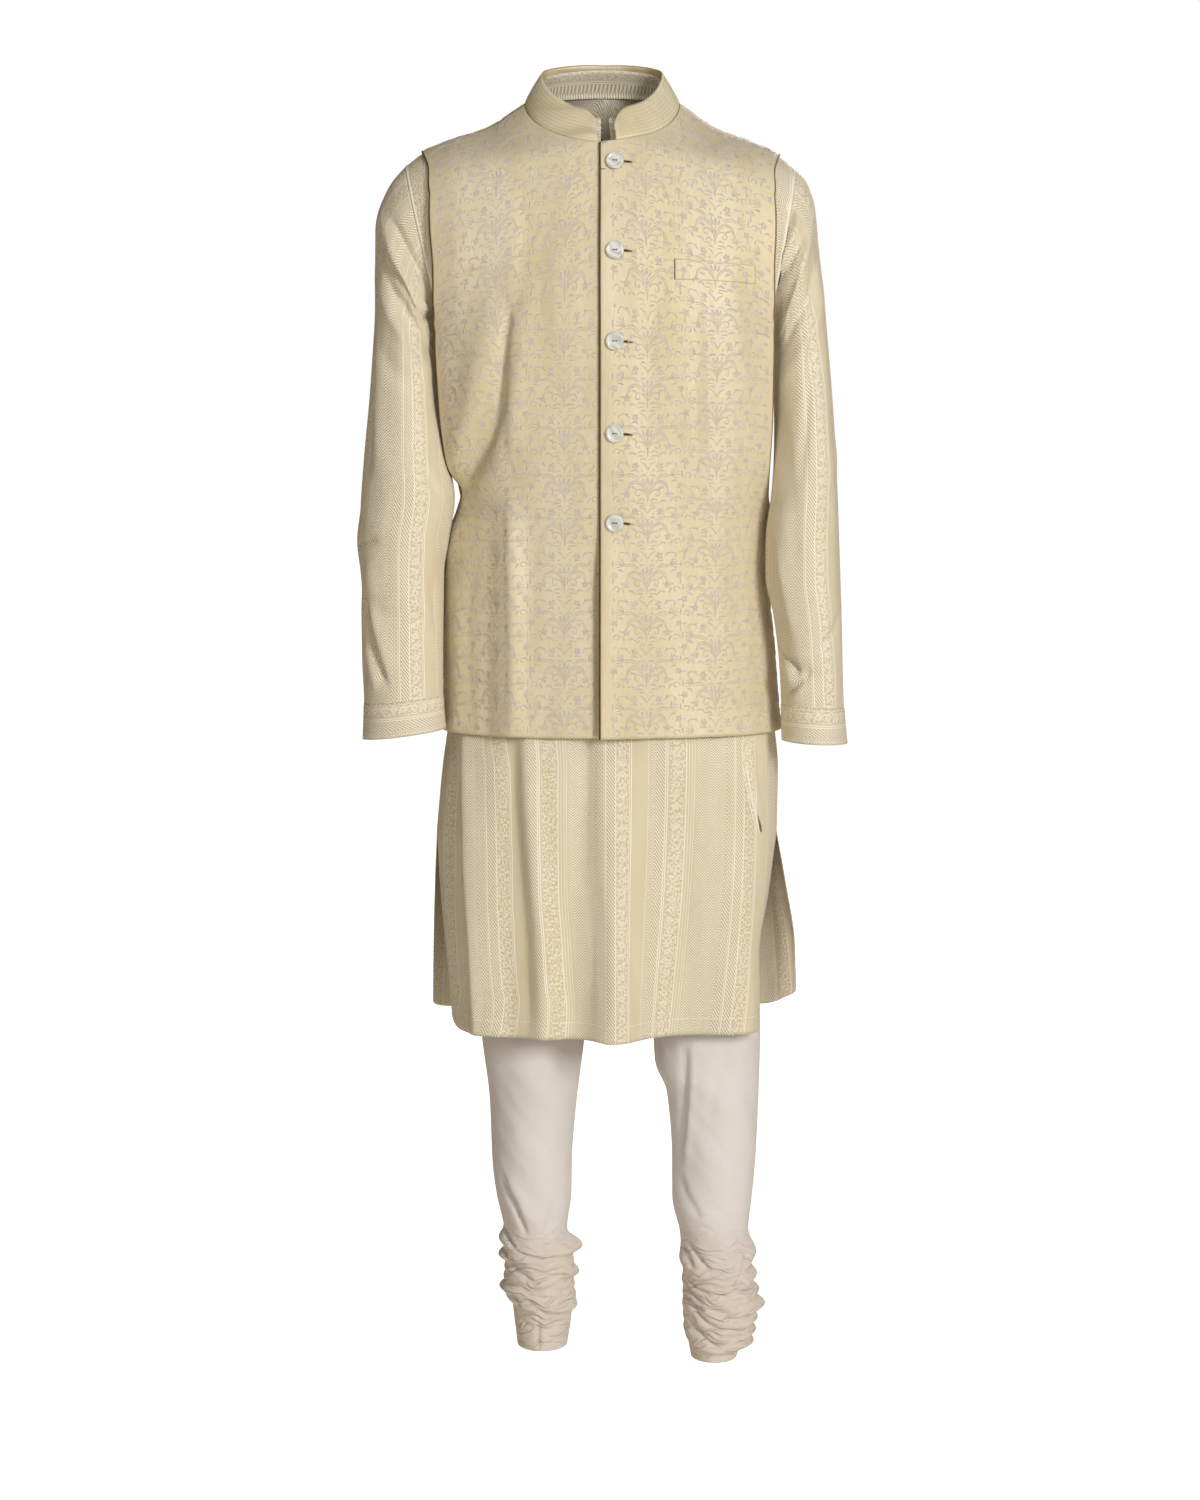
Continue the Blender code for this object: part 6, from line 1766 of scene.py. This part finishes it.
class KURTASET_OT_kurta_body(bpy.types.Operator):
    """Front and back of the kurta, with side slits and the opening of a side pocket"""

    bl_idname = "kurta_set.kurta_body"
    bl_label = "Kurta Front and Back"

    def execute(self, context):
        chosen = settings(context, "kurta")
        look = jacquard_look(chosen)
        thread = thread_look("kurta_sewing", SEWING, chosen.thread, SEWING_PITCH)
        opening = [OPENING_TONE * part for part in chosen.ground]
        shade = thread_look("pocket_opening", opening, OPENING_SHADE, pitch=0.002)
        for name, face, creases in (
            ("front", FRONT, SKIRT_FRONT_CREASES),
            ("back", BACK, SKIRT_BACK_CREASES),
        ):
            halves = kurta_panel(face, creases)
            sewn = [kurta_sewing(name, halves, thread)]
            if face == FRONT:
                sewn.append(pocket_hollow(halves[1], shade))
            dress(f"cloth_kurta_{name}", halves, KURTA_WALL, [look],
                  f"kurta_{name}")
        return {"FINISHED"}


CUFF_STEP = 0.006
CUFF_ROWS = np.linspace(CUFF_START, 1.0, 14)[::-1]
SLEEVE_ROWS = np.linspace(0.0, CUFF_START + 0.004, 180)[::-1]


class KURTASET_OT_kurta_sleeves(bpy.types.Operator):
    """Both sleeves with their cuff bands, and the band collar"""

    bl_idname = "kurta_set.kurta_sleeves"
    bl_label = "Kurta Sleeves and Collar"

    def execute(self, context):
        chosen = settings(context, "kurta")
        look = jacquard_look(chosen, "kurta_jacquard_sleeve")
        band_look = jacquard_look(chosen, "kurta_jacquard_band", turned=True)
        thread = thread_look("kurta_cuff_sewing", SEWING, chosen.thread, SEWING_PITCH)
        angles = np.linspace(0.0, 2 * math.pi, 89)
        for name, rings, bands, creases, hand in (
            ("right", RIGHT_SLEEVE, RIGHT_SLEEVE_BANDS, RIGHT_SLEEVE_CREASES, RIGHT),
            ("left", LEFT_SLEEVE, LEFT_SLEEVE_BANDS, LEFT_SLEEVE_CREASES, LEFT),
        ):
            def sleeve(angle, down, rings=rings, bands=bands):
                return sleeve_point(rings, bands, angle, down)

            def cuff(angle, down, rings=rings):
                proud = CUFF_PROUD * ramp((down - CUFF_START) / CUFF_STEP)
                return sleeve_point(rings, (), angle, down, proud)

            behind = mirrored(SLEEVE_BACK_CREASES, hand)
            cloth = tube(sleeve, angles, SLEEVE_ROWS, hand, ((FRONT, creases), (BACK, behind)))
            dress(f"cloth_sleeve_{name}", [cloth], KURTA_WALL, [look],
                  f"kurta_sleeve_{name}")
            cloth = tube(cuff, angles, CUFF_ROWS, hand)
            threads = Threads()
            normals = cloth.normals(closed=True)
            for row in CUFF_STITCH_ROWS:
                places = cloth.points[row] + normals[row] * THREAD_GAP
                threads.run(places, normals[row], long=0.0030, gap=0.0009, width=0.0008)
            sewn = [threads.make(f"sewing_cuff_{name}", thread)]
            dress(f"cloth_cuff_{name}", [cloth], KURTA_WALL, [band_look],
                  f"kurta_cuff_{name}")
        cloth = collar_cloth("kurta", BAND_COLLAR_ENDS, rows=8)
        dress("cloth_kurta_collar", [cloth], KURTA_WALL, [band_look],
              "kurta_collar")
        return {"FINISHED"}


LAP_COLUMNS = {LEFT: 4, RIGHT: 7}


def front_halves(hand):
    """The main cloth of one jacket front, and the strip that laps over the middle."""
    def surface(part, up):
        return jacket_point(FRONT, hand, part, up)

    on_top = hand == LEFT
    rows = body_rows(FRONT, hem_up(), JACKET_ROWS)
    creases = JACKET_CREASES + (FRONT_EDGE_LIFT,) if on_top else JACKET_CREASES
    main = panel_half(surface, FRONT, hand, np.linspace(0.0, 1.0, 74), rows, creases=creases)
    lap_rows = rows[rows <= NECK_UP[FRONT] + HAIR]
    beyond = np.linspace(0.0, 1.0, LAP_COLUMNS[hand])
    points = jacket_lap_point(hand, *np.meshgrid(beyond, lap_rows))
    points = even_out(points, lap_rows, np.zeros(len(beyond)))
    if on_top:
        points[..., 1] -= crease_depth((FRONT_EDGE_LIFT,), points[..., 0], points[..., 2])
    points[:, 0] = main.points[:len(lap_rows), inner_column(hand)]
    return main, Cloth(points, None, -hand, flip=on_top)


WELT_WALL = 0.0004
WELT_CORNERS = (
    ((WELT_INNER_X, WELT_BOTTOM[0]), (WELT_OUTER_X, WELT_BOTTOM[1])),
    ((WELT_INNER_X, WELT_TOP[0]), (WELT_OUTER_X, WELT_TOP[1])),
)


def welt_cloth(front):
    """The pocket welt, laid just proud of the front between its four corners."""
    below, above = [np.array([flat_spot(front, x, z) for x, z in edge]) for edge in WELT_CORNERS]
    wide, high = np.meshgrid(np.linspace(0.0, 1.0, 40), np.linspace(0.0, 1.0, 12))
    across, up = [mix(mix(below[0, i], below[1, i], wide), mix(above[0, i], above[1, i], wide), high)
                  for i in (0, 1)]
    cloth = Cloth(front.lay(across, up, proud=0.0006)[0])
    cloth.across = across
    cloth.up = up.mean(axis=1)
    return cloth


# Buttonholes run from their inner to their outer end, beside the buttons; their slits are dark strips of
# painted shade
BUTTONHOLE_START = (0.0150, 0.0)
BUTTONHOLE_END = (0.0290, -0.0014)
BUTTONHOLE_WIDTH = 0.0019
BUTTONHOLE_RIM_OFF = 0.0011
BUTTONHOLE_SHADE = (0.01, 0.005, 0.002)
BUTTONHOLE_TONE = 0.35
THREAD_LOOP = ((-0.0072, -0.0885), (-0.0045, -0.09), (-0.001, -0.0896))
LOOP_INNER_X = -0.0004
PIPING_OUT = np.array([-0.75, -0.66, 0.0])
PIPING_GAP = 0.0002


def buttonholes(holes, rims):
    """A slit of painted shade and two rims beside it at each button."""
    share = np.linspace(0.0, 1.0, 12)
    swell = np.sin(math.pi * mix(0.05, 0.95, share))
    x = mix(BUTTONHOLE_START[0], BUTTONHOLE_END[0], share)
    for at in BUTTON_HEIGHTS:
        z = at + mix(BUTTONHOLE_START[1], BUTTONHOLE_END[1], share)
        holes.add(*front_cloth(x, z, proud=0.0002), BUTTONHOLE_WIDTH * swell, rise=0.0002)
        for side in (-1, 1):
            line = z + side * BUTTONHOLE_RIM_OFF * swell
            rims.add(*front_cloth(x, line, proud=0.0001), 0.0010, rise=0.0004)


def front_sewing(lap, piping_and_shadow, edge, dark):
    """The top front's dark cord for its piping and the painted shadow beside its edge, its buttonholes and
    the loop of thread at the first button.
    """
    # The cord down the top front's edge is its piping and the painted shadow beside it.
    places = lap.points[:, 0] + PIPING_OUT * PIPING_GAP
    normals = np.tile(PIPING_OUT, (len(places), 1))
    piped = cord("piping_front", piping_and_shadow, places, normals, width=0.0030, rise=0.0006)
    holes = Threads()
    rims = Threads()
    buttonholes(holes, rims)
    x, z = curve(THREAD_LOOP, step=0.0006).T
    places, normals = front_cloth(np.maximum(x, LOOP_INNER_X), z, proud=0.0009)
    places[:, 0] = x
    holes.add(places, normals, 0.0007, rise=0.0003)
    return [piped, holes.make("buttonhole_slits", dark), rims.make("buttonhole_rims", edge)]


JACKET_ARMHOLE_ROW = 40
ARMHOLE_SHADE_OUT = 0.7


class KURTASET_OT_jacket_body(bpy.types.Operator):
    """Both fronts, the back and the breast pocket welt of the jacket"""

    bl_idname = "kurta_set.jacket_body"
    bl_label = "Jacket Fronts and Back"

    def execute(self, context):
        chosen = settings(context, "jacket")
        look = silk_look("jacket_silk", chosen.silk, chosen.silk_shade)
        # Painted edge shade, for the rims of the walls and the left armhole's cord; the buttonhole rims take
        # it too.
        edge = silk_look("jacket_edge", chosen.edge, chosen.edge)
        thread = thread_look("embroidery_thread", chosen.embroidery, chosen.embroidery_shade,
                             roughness=0.38, metallic=0.10)
        piping_and_shadow = thread_look("piping_thread", chosen.piping_and_shadow, chosen.piping_and_shadow, **PIPING_FINISH)
        deep = [BUTTONHOLE_TONE * part for part in chosen.piping_and_shadow]
        dark = thread_look("buttonhole_thread", deep, BUTTONHOLE_SHADE, **PIPING_FINISH)
        fronts = {}
        # Dark cords round the armholes: the right one is painted shadow of the gap between jacket and kurta,
        # the left one painted edge shade.
        for name, hand, armhole_shade in (("left", LEFT, edge), ("right", RIGHT, piping_and_shadow)):
            main, lap = front_halves(hand)
            fronts[hand] = main
            armhole = np.s_[JACKET_ARMHOLE_ROW:, outer_column(hand)]
            outward = main.normals()[armhole] + np.array([hand * ARMHOLE_SHADE_OUT, 0.0, 0.0])
            sewn = [
                embroider(f"embroidery_front_{name}", [main], chosen, thread),
                cord(f"binding_armhole_{name}", armhole_shade, main.points[armhole], outward,
                     width=0.0022, rise=0.0003),
            ]
            if hand == LEFT:
                sewn += front_sewing(lap, piping_and_shadow, edge, dark)
            dress(f"cloth_jacket_front_{name}", [main, lap], JACKET_WALL, [look, edge],
                  f"jacket_front_{name}", measured=[main])
        halves = []
        rows = body_rows(BACK, hem_up(), JACKET_ROWS)
        columns = np.linspace(0.0, 1.0, 50)
        for hand in (RIGHT, LEFT):
            def surface(part, up, hand=hand):
                return jacket_point(BACK, hand, part, up)

            halves.append(panel_half(surface, BACK, hand, columns, rows, creases=JACKET_BACK_CREASES))
        sewn = [embroider("embroidery_back", halves, chosen, thread)]
        dress("cloth_jacket_back", halves, JACKET_WALL, [look, edge],
              "jacket_back")

        cloth = welt_cloth(fronts[LEFT])
        ends = cloth.points[:, 0], cloth.normals()[:, 0]
        sewn = [
            embroider("embroidery_welt", [cloth], chosen, thread, margin=0.0006),
            cord("welt_end_stitch", piping_and_shadow, *ends, width=0.0008, rise=0.0002),
        ]
        dress("cloth_welt", [cloth], WELT_WALL, [look],
              "jacket_pocket_welt")
        return {"FINISHED"}


JACKET_COLLAR_ROWS = 12
COLLAR_STITCH_RISES = (0.10, 0.21, 0.32, 0.43, 0.54, 0.65, 0.76, 0.87)
COLLAR_STITCH_GAP = 0.0001
COLLAR_END_SHADE_OUT = np.array([-0.8, 0.0, 0.0])


class KURTASET_OT_jacket_collar(bpy.types.Operator):
    """Stand collar of the jacket, rounded at both front ends"""

    bl_idname = "kurta_set.jacket_collar"
    bl_label = "Jacket Collar"

    def execute(self, context):
        chosen = settings(context, "jacket")
        look = silk_look("jacket_collar_silk", chosen.collar_silk, chosen.silk_shade)
        # Painted edge shade, for the rims of the collar's wall.
        edge = silk_look("jacket_collar_edge", chosen.edge, chosen.edge)
        cloth = collar_cloth("jacket", JACKET_COLLAR_ENDS, JACKET_COLLAR_ROWS)
        thread = thread_look("topstitch_thread", chosen.silk_shade, chosen.edge, pitch=0.0008)
        piping_and_shadow = thread_look("collar_piping", chosen.edge, chosen.piping_and_shadow, **PIPING_FINISH)
        rows = Threads()
        normals = cloth.normals()
        for rise in COLLAR_STITCH_RISES:
            row = rise * (JACKET_COLLAR_ROWS - 1) + 1
            low = int(row)
            line = mix(cloth.points[low], cloth.points[low + 1], row - low)[4:-4]
            normal = normals[low, 4:-4]
            rows.run(line + normal * COLLAR_STITCH_GAP, normal, long=0.0024, gap=0.0010, width=0.0006)
        # The cord down the collar's end is painted edge shade.
        outward = normals[1:, 0] + COLLAR_END_SHADE_OUT
        ends = cloth.points[1:, 0], outward
        sewn = [
            cord("collar_end_piping", piping_and_shadow, *ends, width=0.0028, rise=0.0005),
            rows.make("collar_topstitching", thread),
        ]
        dress("cloth_jacket_collar", [cloth], COLLAR_WALL, [look, edge],
              "jacket_collar")
        return {"FINISHED"}


# A button's reach and height from the middle of its back round the rim, and the rings of its flat face
BUTTON_RIM = (
    (0.0000, 0.0000), (0.0070, 0.0000), (0.0088, 0.0004), (0.0098, 0.0012), (0.0100, 0.0018),
    (0.0097, 0.0026), (0.0090, 0.0032), (0.0082, 0.0034), (0.0074, 0.0032), (0.0066, 0.0028),
    (0.0058, 0.0026),
)
BUTTON_FACE = 0.0025
BUTTON_FACE_RINGS = (
    0.0050, 0.0042, 0.0036, 0.0031, 0.0027, 0.0023, 0.0019, 0.0015, 0.0011, 0.0006, 0.0000,
)
HOLE_X = (-0.0021, 0.0021)
HOLE_DEPTH = 0.0019
HOLE_RADIUS = 0.0012
HOLE_EDGE = 0.0006
HOLED_ABOVE = 0.002
THREAD_COLOURS = ((0.20, 0.17, 0.13), (0.10, 0.08, 0.06))
THREAD_REACH = np.linspace(-0.0023, 0.0023, 7)
THREAD_SUNK = 0.0012
THREAD_LEVEL = 0.0014
THREAD_BEND = 0.0009


def button_shape():
    """Rows and columns of a two-hole button, its back at height 0."""
    profile = np.array(BUTTON_RIM + tuple((reach, BUTTON_FACE) for reach in BUTTON_FACE_RINGS))
    turn, row = np.meshgrid(np.linspace(0.0, 2 * math.pi, 57), np.arange(len(profile)))
    reach, height = profile[row, 0], profile[row, 1]
    x, y = reach * np.cos(turn), reach * np.sin(turn)
    for hole_x in HOLE_X:
        off = np.hypot(x - hole_x, y)
        sunk = HOLE_DEPTH * ramp((HOLE_RADIUS - off) / HOLE_EDGE)
        height = height - np.where(height > HOLED_ABOVE, sunk, 0.0)
    return triple(x, y, height)


class KURTASET_OT_jacket_buttons(bpy.types.Operator):
    """Five two-hole buttons on the left front"""

    bl_idname = "kurta_set.jacket_buttons"
    bl_label = "Jacket Buttons"

    def execute(self, context):
        look = pearl_look(settings(context, "jacket"))
        shape = button_shape()
        sunk = THREAD_SUNK * ramp((np.abs(THREAD_REACH) - THREAD_LEVEL) / THREAD_BEND)
        stitch_line = triple(THREAD_REACH, 0.0, BUTTON_FACE - sunk)
        thread = thread_look("button_thread", *THREAD_COLOURS)
        for number, at in enumerate(BUTTON_HEIGHTS, start=1):
            middle, normal = front_cloth(BUTTON_X, at, SEAM_GAP)
            turned = np.array(Vector(normal.tolist()).to_track_quat("Z", "Y").to_matrix()).T
            mesh = bmesh.new()
            grid(mesh, shape @ turned + middle)
            bmesh.ops.remove_doubles(mesh, verts=mesh.verts, dist=JOIN_DISTANCE)
            bmesh.ops.recalc_face_normals(mesh, faces=mesh.faces)
            piece = add_piece(f"pearl_button_{number}", mesh, [look])
            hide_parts(f"jacket_button_{number}")
            line = stitch_line @ turned + middle, np.tile(normal, (len(THREAD_REACH), 1))
            stitch = cord(f"button_thread_{number}", thread, *line, width=0.0009, rise=0.0004)
        return {"FINISHED"}


LEG_STOPS = (GATHERS_TOP, CROTCH, WAIST)
LEG_ROWS = (140, 90, 30)


class KURTASET_OT_churidar(bpy.types.Operator):
    """Both trouser legs, gathered at the ankles, and the waistband"""

    bl_idname = "kurta_set.churidar"
    bl_label = "Churidar"

    def execute(self, context):
        look = cotton_look(settings(context, "churidar"))
        for name, hand, rows, creases in (
            ("right", RIGHT, RIGHT_LEG, RIGHT_LEG_CREASES),
            ("left", LEFT, LEFT_LEG, LEFT_LEG_CREASES),
        ):
            def leg(angle, z, hand=hand):
                return leg_point(hand, angle, z)

            angles = np.linspace(0.0, 2 * math.pi, 93)
            heights = stretches((rows[0].z, *LEG_STOPS), LEG_ROWS)
            behind = mirrored(LEG_BACK_CREASES, hand)
            cloth = tube(leg, angles, heights, hand, ((FRONT, creases), (BACK, behind)))
            dress(f"cloth_leg_{name}", [cloth], CHURIDAR_WALL, [look],
                  f"churidar_leg_{name}")
        turns = np.linspace(0.0, 2 * math.pi, 97)
        heights = np.linspace(WAIST + SEAM_GAP, WAISTBAND_TOP, 8)
        cloth = Cloth(waistband_point(*np.meshgrid(turns, heights)))
        dress("cloth_waistband", [cloth], CHURIDAR_WALL, [look],
              "churidar_waistband")
        return {"FINISHED"}


WHITE = (1.0, 1.0, 1.0)
FLOOR_COLOUR = (0.93, 0.85, 0.72)
FLOOR_GLOW = 0.08
ROOM_COLOUR = (1.0, 0.84, 0.58)

# Soft lights: place, aim, width and height in metres, power as a share of the key light's, colour
Lamp = namedtuple("Lamp", "name place aim size share colour")
STUDIO_LIGHTS = table(Lamp, (
    ("top", (0.4, -2.2, 3.0), (0.0, 0.0, -0.1), (1.8, 1.2), 0.10, (1.0, 0.98, 0.94)),
    ("key", (3.0, -4.9, 1.30), (0.0, 0.0, -0.6), (1.3, 1.9), 1.0, (1.0, 0.985, 0.96)),
    ("fill", (-2.4, -4.0, 1.2), (0.0, 0.0, -0.6), (1.6, 2.2), 0.14, (1.0, 0.94, 0.84)),
    ("back", (0.9, 4.6, 1.3), (0.0, 0.0, -0.6), (1.6, 2.2), 0.45, (1.0, 0.97, 0.92)),
))

CAMERA_PLACE = (-0.0069, -3.55, -0.35)
CAMERA_DOWN = 6.3


def add_floor(height):
    """A pale sheet of paper that glows a little, more where it is seen directly."""
    mesh = bmesh.new()
    bmesh.ops.create_grid(mesh, x_segments=1, y_segments=1, size=30.0)
    bmesh.ops.translate(mesh, verts=mesh.verts, vec=(0.0, 0.0, height))
    data = bpy.data.meshes.new("floor")
    mesh.to_mesh(data)
    mesh.free()
    look = Look("floor_paper", {"Roughness": 0.9})
    look.give("Base Color", FLOOR_COLOUR)
    look.give("Emission Color", WHITE)
    seen = look.node("LightPath").outputs["Is Camera Ray"]
    look.give("Emission Strength", look.scaled(seen, 0.94, more=FLOOR_GLOW))
    data.materials.append(look.material)
    add_object("floor", data)


def add_room(scene, strength):
    """Warm light from all sides, behind a white backdrop."""
    world = bpy.data.worlds.new("studio")
    scene.world = world
    world.use_nodes = True
    tree = Nodes(world.node_tree)
    room = world.node_tree.nodes["Background"]
    tree.put(room.inputs["Color"], ROOM_COLOUR)
    tree.put(room.inputs["Strength"], strength)
    backdrop = tree.node("Background", {"Color": WHITE, "Strength": 1.0})
    seen = tree.node("LightPath").outputs["Is Camera Ray"]
    choice = tree.node("MixShader", enumerate((seen, room.outputs[0], backdrop.outputs[0])))
    tree.put(world.node_tree.nodes["World Output"].inputs["Surface"], choice.outputs[0])


def add_lamp(lamp, key_power):
    light = bpy.data.lights.new(lamp.name, "AREA")
    light.shape = "RECTANGLE"
    light.size, light.size_y = lamp.size
    light.energy = lamp.share * key_power
    light.color = lamp.colour
    made = add_object(lamp.name, light)
    made.location = lamp.place
    made.rotation_mode = "QUATERNION"
    made.rotation_quaternion = (Vector(lamp.aim) - Vector(lamp.place)).to_track_quat("-Z", "Y")


def add_camera(scene):
    camera = bpy.data.cameras.new("camera")
    camera.lens = 74.52
    camera.sensor_width = 36.0
    eye = add_object("camera", camera)
    eye.location = CAMERA_PLACE
    eye.rotation_euler = (math.radians(90.0 - CAMERA_DOWN), 0.0, 0.0)
    scene.camera = eye


class KURTASET_OT_stage(bpy.types.Operator):
    """Pale floor, soft studio light and the camera"""

    bl_idname = "kurta_set.stage"
    bl_label = "Stage"

    def execute(self, context):
        chosen = settings(context, "stage")
        add_floor(chosen.floor_height)
        add_room(context.scene, chosen.room_light)
        for lamp in STUDIO_LIGHTS:
            add_lamp(lamp, chosen.key_power)
        add_camera(context.scene)
        context.scene.view_settings.view_transform = "Standard"
        return {"FINISHED"}


ORDER = (
    KURTASET_OT_kurta_body,
    KURTASET_OT_kurta_sleeves,
    KURTASET_OT_jacket_body,
    KURTASET_OT_jacket_collar,
    KURTASET_OT_jacket_buttons,
    KURTASET_OT_churidar,
    KURTASET_OT_stage,
)
GROUPS = (
    ("jacket", KurtaSetJacket),
    ("kurta", KurtaSetKurta),
    ("churidar", KurtaSetChuridar),
    ("stage", KurtaSetStage),
)


class KURTASET_PT_panel(bpy.types.Panel):
    """Settings and pieces of the kurta set"""

    bl_label = "Kurta Set"
    bl_space_type = "VIEW_3D"
    bl_region_type = "UI"
    bl_category = "Kurta Set"

    def draw(self, context):
        for title, kind in GROUPS:
            box = self.layout.box()
            box.label(text=title.capitalize())
            for name in kind.__annotations__:
                box.prop(settings(context, title), name)
        column = self.layout.column(align=True)
        for operator in ORDER:
            column.operator(operator.bl_idname)


CLASSES = tuple(kind for _, kind in GROUPS) + ORDER + (KURTASET_PT_panel,)


def register():
    for kind in CLASSES:
        bpy.utils.register_class(kind)
    for title, kind in GROUPS:
        setattr(bpy.types.Scene, "kurta_set_" + title, bpy.props.PointerProperty(type=kind))


def unregister():
    for title, _ in GROUPS:
        delattr(bpy.types.Scene, "kurta_set_" + title)
    for kind in reversed(CLASSES):
        bpy.utils.unregister_class(kind)


def main():
    register()
    for operator in ORDER:
        group, name = operator.bl_idname.split(".")
        getattr(getattr(bpy.ops, group), name)()
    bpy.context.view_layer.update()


if __name__ == "__main__":
    main()
